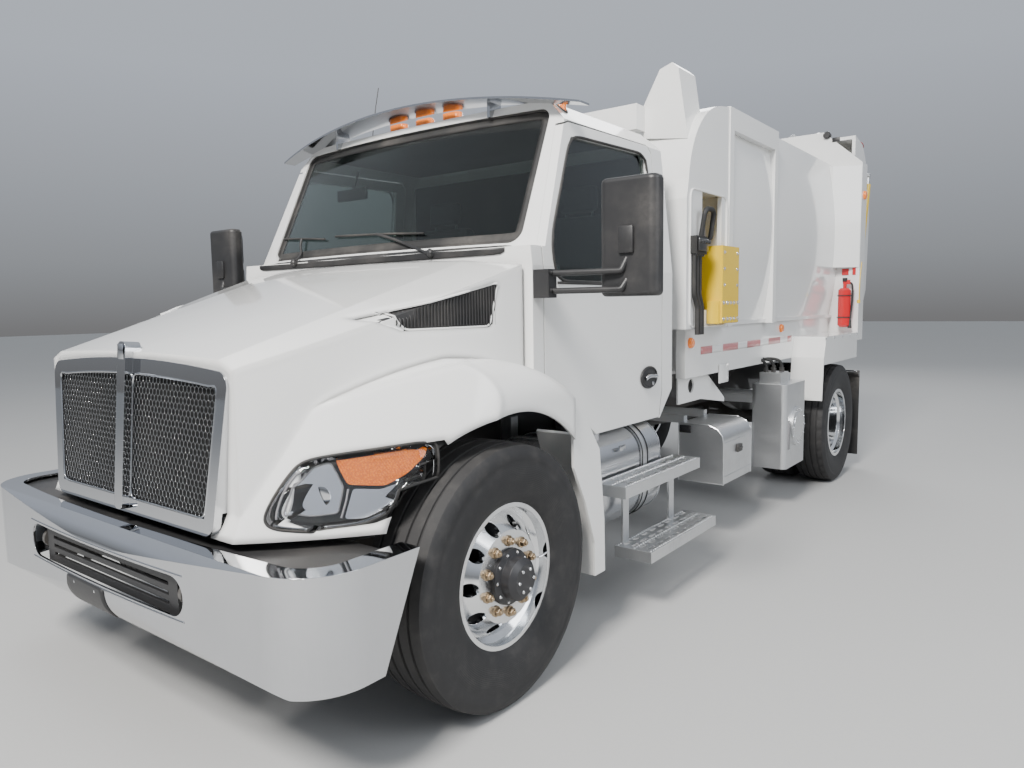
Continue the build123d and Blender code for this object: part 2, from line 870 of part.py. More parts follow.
with BuildPart() as rear_rims:
    for centre, face, hand in (
        (rear_inner_centre, rear_disc_face, 1),
        (rear_outer_centre, rear_disc_face, -1),
    ):
        with BuildSketch(cross(rear_axle_station)):
            add(rim_section(centre, rear_tyre_radius, face, hand))
        revolve(axis=cross_axis(rear_axle_station, rear_tyre_radius))
    with BuildSketch(side(rear_disc_face - dual_spacing / 2)):
        with Locations((rear_axle_station, rear_tyre_radius)):
            with PolarLocations(hand_hole_circle, hand_hole_count):
                Circle(hand_hole_radius)
    extrude(amount=dual_spacing, mode=Mode.SUBTRACT)

rear_drum_start = rear_inner_centre - rear_tyre_width / 2 + 60
with BuildPart() as rear_wheels:
    add(rear_rims.part)
    with BuildSketch(cross(rear_axle_station)):
        with BuildLine():
            axle = rear_tyre_radius
            back_face = rear_disc_face - disc_thickness
            Polyline(
                (rear_inner_centre + 20, axle + spindle_radius + running_gap),
                (rear_inner_centre + 20, axle + drum_radius - drum_wall),
                (rear_drum_start, axle + drum_radius - drum_wall),
                (rear_drum_start, axle + drum_radius),
                (rear_inner_centre + 60, axle + drum_radius),
                (rear_inner_centre + 60, axle + hub_flange_radius),
                (back_face, axle + hub_flange_radius),
                (back_face, axle + disc_bore_radius),
                (rear_disc_face + 70, axle + disc_bore_radius),
                (rear_disc_face + 90, axle + hub_cap_radius),
                (rear_hub_end + 24, axle + hub_cap_radius),
                (rear_hub_end + 24, axle),
                (rear_hub_end + seat_gap, axle),
                (rear_hub_end + seat_gap, axle + spindle_radius + running_gap),
                close=True,
            )
        make_face()
    revolve(axis=cross_axis(rear_axle_station, rear_tyre_radius))
write_pair(rear_wheels, "rear_wheels")


def bumper_plan(inset):
    """Plan of the bumper drawn in by inset: a bowed front, round corners and straight ends."""
    wide = bumper_half_width - inset
    bend = bumper_half_width - bumper_corner_radius
    turn = bumper_corner_radius - inset
    front = bumper_corner_station + inset
    middle = bumper_corner_station + bumper_corner_radius
    slant = turn * sin(pi / 4)
    with BuildSketch() as plan:
        with BuildLine():
            Line((-wide, bumper_reach), (-wide, middle))
            ThreePointArc((-wide, middle), (-bend - slant, middle - slant), (-bend, front))
            ThreePointArc((-bend, front), (0, inset), (bend, front))
            ThreePointArc((bend, front), (bend + slant, middle - slant), (wide, middle))
            Line((wide, middle), (wide, bumper_reach))
            Line((wide, bumper_reach), (-wide, bumper_reach))
        make_face()
    return plan.sketch


def bumper_profile(inset):
    """Side profile of the bumper drawn in by inset: a rolled face and sloping ends."""
    top = bumper_top - inset
    bottom = bumper_bottom + inset
    open_end = 120 if inset else 0
    with BuildSketch() as profile:
        with BuildLine():
            ThreePointArc((46 + inset, top), (13 + inset, top - 38), (inset, top - 110))
            Line((inset, top - 110), (inset, bottom + 130))
            ThreePointArc((inset, bottom + 130), (18 + inset, bottom + 55), (70 + inset, bottom))
            Polyline(
                (70 + inset, bottom),
                (bumper_end_bottom + open_end, bottom),
                (bumper_end_top + open_end, top),
                (46 + inset, top),
            )
        make_face()
    return profile.sketch


def bumper_form(inset):
    """Solid form of the bumper drawn in by inset."""
    with BuildPart() as form:
        with BuildSketch(level(0)):
            add(bumper_plan(inset))
        extrude(amount=bumper_top + 1)
        with BuildSketch(side(0)):
            add(bumper_profile(inset))
        extrude(amount=bumper_half_width + 1, both=True, mode=Mode.INTERSECT)
    return form.part


# Bumper: a rolled shell with a long slot low in the middle
with BuildPart() as bumper:
    add(bumper_form(0))
    add(bumper_form(bumper_wall), mode=Mode.SUBTRACT)
    with BuildSketch(level(bumper_bottom - 1)):
        add(bumper_plan(bumper_depth))
    extrude(amount=bumper_top, mode=Mode.SUBTRACT)
    with BuildSketch(cross(bumper_corner_station)):
        with Locations((0, (slot_bottom + slot_top) / 2)):
            RectangleRounded(2 * slot_half_width, slot_top - slot_bottom, (slot_top - slot_bottom) / 2 - 1)
    extrude(amount=bumper_depth, both=True, mode=Mode.SUBTRACT)
bumper.part.label = "bumper"
export_step(bumper.part, "parts/bumper.step")

# Black slats behind the bumper's slot
with BuildPart() as bumper_slats:
    with BuildSketch(cross(bumper_slat_station)):
        with Locations((0, (slot_bottom + slot_top) / 2)):
            Rectangle(2 * bumper_slat_half_width, slot_top - slot_bottom + 40)
            with GridLocations(1, (slot_top - slot_bottom) / bumper_slat_count, 1, bumper_slat_count):
                Rectangle(2 * bumper_slat_half_width - 120, 14, mode=Mode.SUBTRACT)
    extrude(amount=-sheet)
bumper_slats.part.label = "bumper_slats"
export_step(bumper_slats.part, "parts/bumper_slats.step")

# Front brackets: from the rails to the bumper, with the tow eyes and the hood's hinge ears
ear_x = grille_bottom_half_width - hinge_inboard
ear_tube_station = hood_hinge_station + 112
ear_tube_height = hood_hinge_height - 122
with BuildPart() as bumper_seat:
    with BuildSketch(side(rail_outer + seat_gap)):
        with Locations((0, slot_top + 30)):
            Rectangle(bumper_bracket_station, 30, align=(Align.MIN, Align.MIN))
    extrude(amount=bracket_thickness)
    add(bumper_form(bumper_wall), mode=Mode.INTERSECT)
with BuildPart() as front_bracket:
    with BuildSketch(side(rail_outer + seat_gap)):
        with BuildLine():
            Polyline(
                (rail_front_station + 190, rail_bottom + 12),
                (rail_front_station + 190, rail_top - 12),
                (rail_front_station, rail_top - 12),
                (ear_tube_station - 40, ear_tube_height + 20),
                (bumper_bracket_station, ear_tube_height - 10),
                (bumper_bracket_station, slot_bottom - 40),
                (bumper_bracket_station + 60, slot_bottom - 40),
                close=True,
            )
        make_face()
    extrude(amount=bracket_thickness)
    with BuildSketch(side(rail_outer + bracket_thickness / 2)):
        with Locations((ear_tube_station, ear_tube_height)):
            Circle(ear_tube_radius)
    extrude(amount=ear_x - rail_outer - bracket_thickness / 2)
    with BuildSketch(side(ear_x - ear_thickness)):
        with BuildLine():
            Polyline(
                (hood_hinge_station, hood_hinge_height + ear_round),
                (hood_hinge_station + ear_round, hood_hinge_height + ear_rise + 2 * ear_round),
                (ear_tube_station + ear_round, hood_hinge_height + ear_rise + 2 * ear_round),
                (ear_tube_station + ear_round, ear_tube_height),
                (ear_tube_station - ear_round, ear_tube_height),
                (ear_tube_station - ear_round, hood_hinge_height + ear_rise),
                (hood_hinge_station + 2.5 * ear_round, hood_hinge_height + ear_rise),
                (hood_hinge_station, hood_hinge_height - ear_round),
            )
            ThreePointArc(
                (hood_hinge_station, hood_hinge_height - ear_round),
                (hood_hinge_station - ear_round, hood_hinge_height),
                (hood_hinge_station, hood_hinge_height + ear_round),
            )
        make_face()
        with Locations((hood_hinge_station, hood_hinge_height)):
            Circle(hood_pin_radius + running_gap, mode=Mode.SUBTRACT)
    extrude(amount=ear_thickness)
    with BuildSketch(side(tow_eye_x - tow_eye_thickness / 2)):
        with Locations((tow_eye_station, tow_eye_height)):
            Circle(tow_eye_radius)
            Rectangle(tow_eye_reach, 2 * tow_eye_radius - 16, align=(Align.MIN, Align.CENTER))
            Circle(tow_eye_bore, mode=Mode.SUBTRACT)
    extrude(amount=tow_eye_thickness)
    with BuildSketch(side(rail_outer + bracket_thickness / 2)):
        with Locations((tow_eye_station + tow_eye_reach - 30, tow_eye_height)):
            Rectangle(60, 60)
    extrude(amount=tow_eye_x - rail_outer - bracket_thickness / 2)
    slat_back = bumper_slat_station + sheet
    with BuildSketch(side(rail_outer + seat_gap)):
        with Locations((slat_back, (slot_bottom + slot_top) / 2)):
            Rectangle(
                bumper_bracket_station - slat_back + 10, slot_top - slot_bottom, align=(
                    Align.MIN, Align.CENTER,
                )
            )
    extrude(amount=bracket_thickness)
    with BuildSketch(side(rail_outer + seat_gap)):
        with Locations((slat_back + 20, slot_top - 10)):
            Rectangle(60, 70, align=(Align.MIN, Align.MIN))
    extrude(amount=bracket_thickness)
    add(bumper_seat.part)
with BuildPart() as front_brackets:
    add(front_bracket.part)
    mirror(front_bracket.part, about=Plane.YZ)
front_brackets.part.label = "front_brackets"
export_step(front_brackets.part, "parts/front_brackets.step")


def hood_core(inset):
    """Middle of the hood drawn in by inset: three sections lofted from the grille to the cab."""
    with BuildPart() as core:
        for station, wide, shoulder, crease, crown, bottom in (
            (hood_front_station + inset, 690, 1392, 610, 1424, 826),
            (760, 890, 1568, 645, 1604, 1210),
            (hood_rear_station, hood_rear_half_width, 1764, 680, hood_rear_height, hood_side_bottom),
        ):
            low = bottom if inset == 0 else bottom - 60
            with BuildSketch(cross(station)):
                with BuildLine():
                    Polyline(
                        (-wide + inset, low),
                        (-wide + inset, shoulder - inset),
                        (-crease, crown - inset),
                    )
                    ThreePointArc(
                        (-crease, crown - inset), (0, crown - inset + hood_crown), (crease, crown - inset)
                    )
                    Polyline(
                        (crease, crown - inset),
                        (wide - inset, shoulder - inset),
                        (wide - inset, low),
                        (-wide + inset, low),
                    )
                make_face()
        loft()
    return core.part


def hood_fender(inset):
    """Left fender drawn in by inset: leaning plan, side profile and a round outer shoulder."""
    outer = fender_outer - inset
    inner = fender_inner
    front = fender_front_station + inset
    rear = fender_rear_station
    low = fender_bottom - (60 if inset else 0)
    with BuildPart() as fender:
        with BuildSketch(level(low)):
            with BuildLine():
                Line((inner, rear), (inner, front))
                Line((inner, front), (690, front))
                ThreePointArc((690, front), (980 - inset * 0.7, 465 + inset * 0.7), (outer, 800))
                Polyline((outer, 800), (outer, rear), (inner, rear))
            make_face()
        extrude(amount=900, dir=(0, fender_lean, 1))
        with BuildSketch(side(inner - 10)):
            with BuildLine():
                Line((100, low - 10), (100, 1060 - inset))
                ThreePointArc((100, 1060 - inset), (520, 1284 - inset), (930, fender_top - inset))
                ThreePointArc((930, fender_top - inset), (1250, 1332 - inset), (rear, 1190 - inset))
                Polyline((rear, 1190 - inset), (rear, low - 10), (100, low - 10))
            make_face()
        extrude(amount=outer - inner + 20, mode=Mode.INTERSECT)
        with BuildSketch(cross(100)):
            with BuildLine():
                Polyline(
                    (outer, 1180),
                    (outer, low - 10),
                    (inner - 5, low - 10),
                    (inner - 5, 1420),
                    (940, 1420 - inset),
                )
                ThreePointArc((940, 1420 - inset), (1128 - inset * 0.7, 1350 - inset * 0.7), (outer, 1180))
            make_face()
        extrude(amount=-rear, mode=Mode.INTERSECT)
        with BuildSketch(level(low - 10)):
            with Locations((0, hood_rear_station)):
                Rectangle(2 * fender_flare_inner, 400, align=(Align.CENTER, Align.MIN))
        extrude(amount=900, mode=Mode.SUBTRACT)
    return fender.part


def hood_form(inset):
    """Outer form of the hood with both fenders, drawn in by inset."""
    left = hood_fender(inset)
    core = hood_core(inset)
    with BuildPart() as form:
        add(core)
        add(left)
        mirror(left, about=Plane.YZ)
    return form.part


def headlamp_outline(inset):
    """Teardrop outline of the left headlamp, seen from the front, drawn in by inset."""
    with BuildSketch() as outline:
        with BuildLine():
            Polyline((880, 838), (800, 872), (796, 1060), (880, 1084), (1096, 1112), (1112, 1080))
            ThreePointArc((1112, 1080), (1090, 930), (985, 846))
            Line((985, 846), (880, 838))
        make_face()
        if inset:
            offset(amount=-inset, kind=Kind.INTERSECTION)
    return outline.sketch


def vent_outline(inset):
    """Outline of the hood's side vent in the side plane, drawn in by inset."""
    with BuildSketch() as outline:
        with BuildLine():
            Polyline((640, 1546), (1240, 1690), (1190, 1503), (770, 1500), close=True)
        make_face()
        fillet(outline.vertices().sort_by(Axis.X)[1:], 24)
        if inset:
            offset(amount=-inset, kind=Kind.INTERSECTION)
    return outline.sketch


grille_plane = Plane(
    origin=(0, nose + grille_station, grille_bottom),
    x_dir=(1, 0, 0),
    z_dir=(0, -cos(grille_tilt), sin(grille_tilt)),
)


def grille_outline(inset):
    """Outline of the grille's surround in its leaning plane, drawn in by inset."""
    with BuildSketch() as outline:
        with BuildLine():
            Polyline(
                (-grille_top_half_width, grille_side_height),
                (-grille_bottom_half_width, 0),
                (grille_bottom_half_width, 0),
                (grille_top_half_width, grille_side_height),
            )
            ThreePointArc(
                (grille_top_half_width, grille_side_height),
                (0, grille_side_height + grille_arch),
                (-grille_top_half_width, grille_side_height),
            )
        make_face()
        fillet(outline.vertices(), grille_corner_radius)
        if inset:
            offset(amount=-inset, kind=Kind.INTERSECTION)
    return outline.sketch


# Hood shell with its fenders, opened for the wheels, the grille, the lamps and the vents
hood_outer = hood_form(0)
hood_inner = hood_form(sheet)
with BuildPart() as hood:
    add(hood_outer)
    add(hood_inner, mode=Mode.SUBTRACT)
    with BuildSketch(side(-fender_outer - 1)):
        with Locations((arch_station, arch_height)):
            Circle(arch_radius)
    extrude(amount=2 * fender_outer + 2, mode=Mode.SUBTRACT)
    with BuildSketch(grille_plane):
        add(grille_outline(-seat_gap))
    extrude(amount=2 * grille_depth, both=True, mode=Mode.SUBTRACT)
    with BuildSketch(grille_plane.offset(-grille_face_depth - seat_gap)):
        with Locations((0, 0)):
            Rectangle(grille_bar_width + 2 * seat_gap, 2 * (grille_bar_top + seat_gap))
    extrude(amount=2 * grille_depth, mode=Mode.SUBTRACT)
    lamp_cut = headlamp_outline(0)
    with BuildSketch(cross(arch_station - arch_radius + 360)):
        add(lamp_cut)
        mirror(lamp_cut, about=Plane.YZ)
    extrude(amount=900, mode=Mode.SUBTRACT)
    with BuildSketch(side(-hood_rear_half_width - 60)):
        add(vent_outline(0))
    extrude(amount=400, mode=Mode.SUBTRACT)
    with BuildSketch(side(hood_rear_half_width + 60)):
        add(vent_outline(0))
    extrude(amount=-400, mode=Mode.SUBTRACT)
hood.part.label = "hood"
export_step(hood.part, "parts/hood.step")

# Grille surround: bright rim with a deep skirt, a centre bar and the two hinge lugs
with BuildPart() as grille_surround:
    with BuildSketch(grille_plane):
        add(grille_outline(0))
        add(grille_outline(grille_rim), mode=Mode.SUBTRACT)
    extrude(amount=-grille_face_depth)
    with BuildSketch(grille_plane):
        add(grille_outline(0))
        add(grille_outline(grille_skirt), mode=Mode.SUBTRACT)
        with Locations((0, 0)):
            Rectangle(3 * grille_bottom_half_width, 2 * (grille_rim + 24), mode=Mode.SUBTRACT)
    extrude(amount=-grille_depth)
    with BuildSketch(grille_plane.offset(grille_bar_proud)):
        with Locations((0, 14)):
            RectangleRounded(
                grille_bar_width,
                grille_bar_top - 14,
                24,
                align=(Align.CENTER, Align.MIN),
            )
    extrude(amount=-grille_bar_proud - grille_face_depth)
    for hand in (-1, 1):
        with BuildSketch(side(hand * (ear_x + 4) - 4)):
            with Locations((hood_hinge_station, hood_hinge_height)):
                Circle(ear_round)
            with Locations((hood_hinge_station, hood_hinge_height)):
                Rectangle(ear_round * 2 + 10, ear_round * 2, align=(Align.MAX, Align.CENTER))
        extrude(amount=8)
        with BuildSketch(side(hand * (ear_x + 4) - hand * (ear_thickness + 4))):
            with Locations((hood_hinge_station, hood_hinge_height)):
                Circle(hood_pin_radius)
        extrude(amount=hand * (ear_thickness + 4))
grille_surround.part.label = "grille_surround"
export_step(grille_surround.part, "parts/grille_surround.step")

# Grille mesh: two perforated panels between the rim and the bar
with BuildPart() as grille_mesh:
    with BuildSketch(grille_plane.offset(-mesh_recess)):
        add(grille_outline(grille_rim + seat_gap))
        with Locations((0, 0)):
            Rectangle(
                grille_bar_width + 2 * seat_gap,
                3 * grille_side_height,
                mode=Mode.SUBTRACT,
            )
        for hand in (-1, 1):
            with Locations(
                (hand * (grille_bar_width / 2 + mesh_panel_width / 2), grille_side_height / 2 + 8),
            ):
                with GridLocations(mesh_pitch, mesh_pitch * 1.45, mesh_columns, mesh_rows):
                    RegularPolygon(mesh_pitch * 0.42, 4, rotation=45, mode=Mode.SUBTRACT)
    extrude(amount=-mesh_thickness)
grille_mesh.part.label = "grille_mesh"
export_step(grille_mesh.part, "parts/grille_mesh.step")

# Headlamps: sealed bodies flush with the fenders
lamp_face = hood_form(lamp_flush)
lamp_back = hood_form(lamp_depth)
with BuildPart() as headlamp:
    with BuildSketch(cross(fender_front_station - 60)):
        add(headlamp_outline(seat_gap))
    extrude(amount=-800)
    add(lamp_face, mode=Mode.INTERSECT)
    add(lamp_back, mode=Mode.SUBTRACT)
    with BuildSketch(side(fender_inner)):
        with Locations((arch_station, arch_height)):
            Circle(arch_radius)
    extrude(amount=fender_outer, mode=Mode.SUBTRACT)
with BuildPart() as headlamps:
    add(headlamp.part)
    mirror(headlamp.part, about=Plane.YZ)
headlamps.part.label = "headlamps"
export_step(headlamps.part, "parts/headlamps.step")

# Louvred vents in the hood's sides
vent_face = hood_form(vent_recess)
vent_back = hood_form(vent_recess + sheet)
with BuildPart() as hood_vent:
    with BuildSketch(side(fender_inner)):
        add(vent_outline(seat_gap))
    extrude(amount=hood_rear_half_width - fender_inner + 60)
    add(vent_face, mode=Mode.INTERSECT)
    add(vent_back, mode=Mode.SUBTRACT)
with BuildPart() as hood_vents:
    add(hood_vent.part)
    mirror(hood_vent.part, about=Plane.YZ)
hood_vents.part.label = "hood_vents"
export_step(hood_vents.part, "parts/hood_vents.step")


def cab_section(inset):
    """Cross section of the cab drawn in by inset: upright sides, leaning windows, arched roof."""
    edge = cab_roof_half_width - 95 - inset / 2
    edge_height = roof_edge_height + 95 - inset
    with BuildSketch() as section:
        with BuildLine():
            Polyline(
                (-edge, edge_height),
                (-cab_roof_half_width + inset, roof_edge_height),
                (-cab_half_width + inset, shoulder_height),
                (-cab_half_width + inset, cab_floor - 1),
                (cab_half_width - inset, cab_floor - 1),
                (cab_half_width - inset, shoulder_height),
                (cab_roof_half_width - inset, roof_edge_height),
                (edge, edge_height),
            )
            ThreePointArc((edge, edge_height), (0, roof_height + 12 - inset), (-edge, edge_height))
        make_face()
    return section.sketch


def cab_side_band(outline):
    """The part of the left wall's thickness that lies inside an outline in the side plane."""
    with BuildPart() as band:
        with BuildSketch(side(cab_roof_half_width - 200)):
            add(outline)
        extrude(amount=300)
        with BuildSketch(cross(cab_front_station - 60)):
            add(cab_section(cab_wall))
        extrude(amount=cab_front_station - cab_rear_station - 100, mode=Mode.SUBTRACT)
    return band.part


def cab_form(inset):
    """Outer form of the cab drawn in by inset, with its bowed, sloping windscreen face."""
    slope_run = screen_top_station - screen_base_station
    slope_rise = screen_top_height - screen_base_height
    with BuildPart() as form:
        with BuildSketch(side(0)):
            with BuildLine():
                Polyline(
                    (cab_front_station + inset, arch_seam_height + inset),
                    (cab_front_station + inset, screen_base_height - inset),
                    (cab_front_station - 20 + slope_run + inset, screen_top_height - inset),
                )
                ThreePointArc(
                    (cab_front_station - 20 + slope_run + inset, screen_top_height - inset),
                    (2150, roof_height - inset),
                    (cab_rear_station - 70, roof_height - 34 - inset),
                )
                Polyline(
                    (cab_rear_station - 70, roof_height - 34 - inset),
                    (cab_rear_station - inset, roof_height - 110),
                    (cab_rear_station - inset, cab_heel_height + inset),
                    (door_rear_station - 30, cab_floor + inset),
                    (sill_front_station, cab_floor + inset),
                    (door_front_station - 6, arch_seam_height + inset),
                    (cab_front_station + inset, arch_seam_height + inset),
                )
            make_face()
        extrude(amount=cab_half_width + 1, both=True)
        with BuildSketch(cross(cab_front_station - 60)):
            add(cab_section(inset))
        extrude(amount=cab_front_station - cab_rear_station - 100, mode=Mode.INTERSECT)
        with BuildSketch(level(screen_base_height - inset)):
            with BuildLine():
                Polyline(
                    (cab_half_width + 5, cab_front_station + screen_bow + inset),
                    (cab_half_width + 5, cab_front_station - 500),
                    (-cab_half_width - 5, cab_front_station - 500),
                    (-cab_half_width - 5, cab_front_station + screen_bow + inset),
                )
                ThreePointArc(
                    (-cab_half_width - 5, cab_front_station + screen_bow + inset),
                    (0, cab_front_station + 6 + inset),
                    (cab_half_width + 5, cab_front_station + screen_bow + inset),
                )
            make_face()
        extrude(amount=hypot(slope_run, slope_rise) * 1.2, dir=(0, slope_run, slope_rise), mode=Mode.SUBTRACT)
        with BuildSketch(cross(cab_front_station - 60)):
            with Locations((0, cab_floor - 1)):
                Rectangle(
                    2 * (sill_inner + inset),
                    2 * (cab_underside - cab_floor + 1 + inset),
                )
        extrude(amount=cab_front_station - cab_rear_station - 100, mode=Mode.SUBTRACT)
    return form.part


def door_outline(inset):
    """Outline of a cab door in the side plane, drawn in by inset."""
    with BuildSketch() as outline:
        with BuildLine():
            Polyline(
                (door_front_station, arch_seam_height),
                (door_front_station, pillar_height),
                (1662, 2338),
                (1722, door_top - 20),
                (1790, door_top + 6),
                (door_rear_station - 40, door_top + 20),
                (door_rear_station, door_top - 22),
                (door_rear_station, cab_heel_height),
                (door_rear_station - 34, cab_floor),
                (sill_front_station, cab_floor),
                close=True,
            )
        make_face()
        if inset:
            offset(amount=-inset, kind=Kind.INTERSECTION)
    return outline.sketch


def door_window_outline(inset):
    """Outline of a door's window in the side plane, drawn in by inset."""
    with BuildSketch() as outline:
        with BuildLine():
            Polyline(
                (door_front_station + 92, window_bottom + 20),
                (door_front_station + 92, pillar_height - 10),
                (1800, door_top - 66),
                (door_rear_station - 82, door_top - 44),
                (door_rear_station - 82, window_bottom),
                (door_front_station + 130, window_bottom),
                close=True,
            )
        make_face()
        fillet(outline.vertices(), 22)
        if inset:
            offset(amount=-inset, kind=Kind.INTERSECTION)
    return outline.sketch


def windscreen_outline(inset):
    """Outline of the windscreen seen from the front, drawn in by inset."""
    with BuildSketch() as outline:
        with BuildLine():
            Polyline(
                (-screen_half_width, screen_low),
                (screen_half_width, screen_low),
                (screen_half_width - 20, screen_high),
                (-screen_half_width + 20, screen_high),
                close=True,
            )
        make_face()
        fillet(outline.vertices(), 60)
        if inset:
            offset(amount=-inset, kind=Kind.INTERSECTION)
    return outline.sketch


cab_outer = cab_form(0)
cab_inner = cab_form(cab_wall)
door_opening = cab_side_band(door_outline(0))

# Cab shell: floor, walls and roof, opened for the doors and the glass
with BuildPart() as cab_shell:
    add(cab_outer)
    add(cab_inner, mode=Mode.SUBTRACT)
    add(door_opening, mode=Mode.SUBTRACT)
    mirror(door_opening, about=Plane.YZ, mode=Mode.SUBTRACT)
    with BuildSketch(cross(cab_front_station - 60)):
        add(windscreen_outline(0))
    extrude(amount=-screen_cut_depth, mode=Mode.SUBTRACT)
    with BuildSketch(cross(cab_rear_station - cab_wall - 20)):
        with Locations((-rear_window_centre, rear_window_height), (rear_window_centre, rear_window_height)):
            RectangleRounded(rear_window_width, rear_window_tall, 50)
    extrude(amount=-cab_wall - 60, mode=Mode.SUBTRACT)
cab_shell.part.label = "cab_shell"
export_step(cab_shell.part, "parts/cab_shell.step")

# Doors: the whole wall inside the seam, with the window cut
door_band = cab_side_band(door_outline(panel_gap) - door_window_outline(0))
with BuildPart() as door:
    add(door_band)
    add(cab_outer, mode=Mode.INTERSECT)
write_pair(door, "door")

glass_face = cab_form(glass_recess)
glass_back = cab_form(glass_recess + glass_thickness)
with BuildPart() as door_glass:
    with BuildSketch(side(cab_roof_half_width - 120)):
        add(door_window_outline(seat_gap))
    extrude(amount=300)
    add(glass_face, mode=Mode.INTERSECT)
    add(glass_back, mode=Mode.SUBTRACT)
write_pair(door_glass, "door_glass")

# Windscreen and the two rear windows
with BuildPart() as windscreen:
    with BuildSketch(cross(cab_front_station - 60)):
        add(windscreen_outline(seat_gap))
    extrude(amount=-screen_cut_depth)
    add(glass_face, mode=Mode.INTERSECT)
    add(glass_back, mode=Mode.SUBTRACT)
with BuildPart() as cab_glass:
    add(windscreen.part)
    with BuildSketch(cross(cab_rear_station - glass_recess - glass_thickness)):
        with Locations((-rear_window_centre, rear_window_height), (rear_window_centre, rear_window_height)):
            RectangleRounded(rear_window_width - 2 * seat_gap, rear_window_tall - 2 * seat_gap, 50)
    extrude(amount=-glass_thickness)
cab_glass.part.label = "cab_glass"
export_step(cab_glass.part, "parts/cab_glass.step")


def pipe(points, bend, radius):
    """Round bar or hose of a radius through (x, station, height) points, its bends of one radius."""
    with BuildPart() as run:
        with BuildLine() as path:
            FilletPolyline(*[(x, nose + station, height) for x, station, height in points], radius=bend)
        with BuildSketch(Plane(origin=path.line @ 0, z_dir=path.line % 0)):
            Circle(radius)
        sweep()
    return run.part


def box(x_low, x_high, station_low, station_high, low, high):
    """Rectangular block between two x, two stations and two heights."""
    with BuildPart() as block:
        with BuildSketch(level(low)):
            with Locations(((x_low + x_high) / 2, (station_low + station_high) / 2)):
                Rectangle(x_high - x_low, station_high - station_low)
        extrude(amount=high - low)
    return block.part


# Seats: pedestal, cushion and back
cab_floor_top = cab_underside + cab_wall
with BuildPart() as seats:
    for hand in (-1, 1):
        add(box(hand * seat_x - 190, hand * seat_x + 190, 2190, 2520, cab_floor_top, 1440))
        with BuildSketch(side(hand * seat_x - 245)):
            with BuildLine():
                Polyline(
                    (2120, 1430),
                    (2120, 1530),
                    (2160, 1565),
                    (2440, 1550),
                    (2520, 2080),
                    (2545, 2110),
                    (2590, 2110),
                    (2620, 2080),
                    (2570, 1430),
                    close=True,
                )
            make_face()
        extrude(amount=490)
        add(box(hand * seat_x - 130, hand * seat_x + 130, 2540, 2610, 2090, 2280))
seats.part.label = "seats"
export_step(seats.part, "parts/seats.step")

# Dashboard with its steering column and wheel
wheel_plane = Plane(origin=(seat_x, nose + 1905, 1665), z_dir=(0, 0.55, 0.83))
with BuildPart() as dashboard:
    with BuildSketch(side(0)):
        with BuildLine():
            Polyline(
                (1400, 1480),
                (1400, 1815),
                (1580, 1845),
                (1745, 1770),
                (1775, 1650),
                (1690, 1480),
                close=True,
            )
        make_face()
    extrude(amount=cab_half_width - 100, both=True)
    add(cab_form(cab_wall), mode=Mode.INTERSECT)
    with BuildSketch(wheel_plane):
        Circle(225)
        Circle(198, mode=Mode.SUBTRACT)
        Rectangle(410, 40)
        with Locations((0, -100)):
            Rectangle(40, 210)
        Circle(60)
    extrude(amount=24)
    with BuildSketch(wheel_plane.offset(1)):
        Circle(32)
    extrude(amount=-260)
dashboard.part.label = "dashboard"
export_step(dashboard.part, "parts/dashboard.step")

# Sun visor over the windscreen on two brackets
visor_ends = cab_half_width + 35
visor_low = 2485.0
visor_high = 2605.0
with BuildPart() as sun_visor:
    with BuildSketch(cross(visor_front_station)):
        with BuildLine():
            ThreePointArc((-visor_ends, visor_low), (0, visor_high), (visor_ends, visor_low))
            Line((visor_ends, visor_low), (visor_ends, visor_low + visor_thickness))
            ThreePointArc(
                (visor_ends, visor_low + visor_thickness),
                (0, visor_high + visor_thickness),
                (-visor_ends, visor_low + visor_thickness),
            )
            Line((-visor_ends, visor_low + visor_thickness), (-visor_ends, visor_low))
        make_face()
    extrude(amount=visor_front_station - visor_rear_station)
    with BuildSketch(level(visor_low - 1)):
        with BuildLine():
            Line((-visor_ends - 1, visor_front_station - 1), (visor_ends + 1, visor_front_station - 1))
            Line((visor_ends + 1, visor_front_station - 1), (visor_ends + 1, visor_front_station + 110))
            ThreePointArc(
                (visor_ends + 1, visor_front_station + 110),
                (0, visor_front_station),
                (-visor_ends - 1, visor_front_station + 110),
            )
            Line((-visor_ends - 1, visor_front_station + 110), (-visor_ends - 1, visor_front_station - 1))
        make_face()
    extrude(amount=visor_high, mode=Mode.SUBTRACT)
    for bracket_x in (-560, 560):
        add(box(bracket_x - 8, bracket_x + 8, visor_rear_station - 90, visor_rear_station, 2500, 2578))
    add(cab_outer, mode=Mode.SUBTRACT)
sun_visor.part.label = "sun_visor"
export_step(sun_visor.part, "parts/sun_visor.step")

# Five clearance lamps on the roof
with BuildPart() as roof_lamps:
    for lamp_x, lamp_top in ((-850, 2545), (-200, 2604), (0, 2606), (200, 2604), (850, 2545)):
        with BuildSketch(level(lamp_top - 110)):
            with Locations((lamp_x, roof_lamp_station)):
                SlotOverall(120, 56)
        extrude(amount=110)
    chamfer(roof_lamps.faces().filter_by(Axis.Z).group_by(Axis.Z)[-1].edges(), 8)
    add(cab_outer, mode=Mode.SUBTRACT)
roof_lamps.part.label = "roof_lamps"
export_step(roof_lamps.part, "parts/roof_lamps.step")

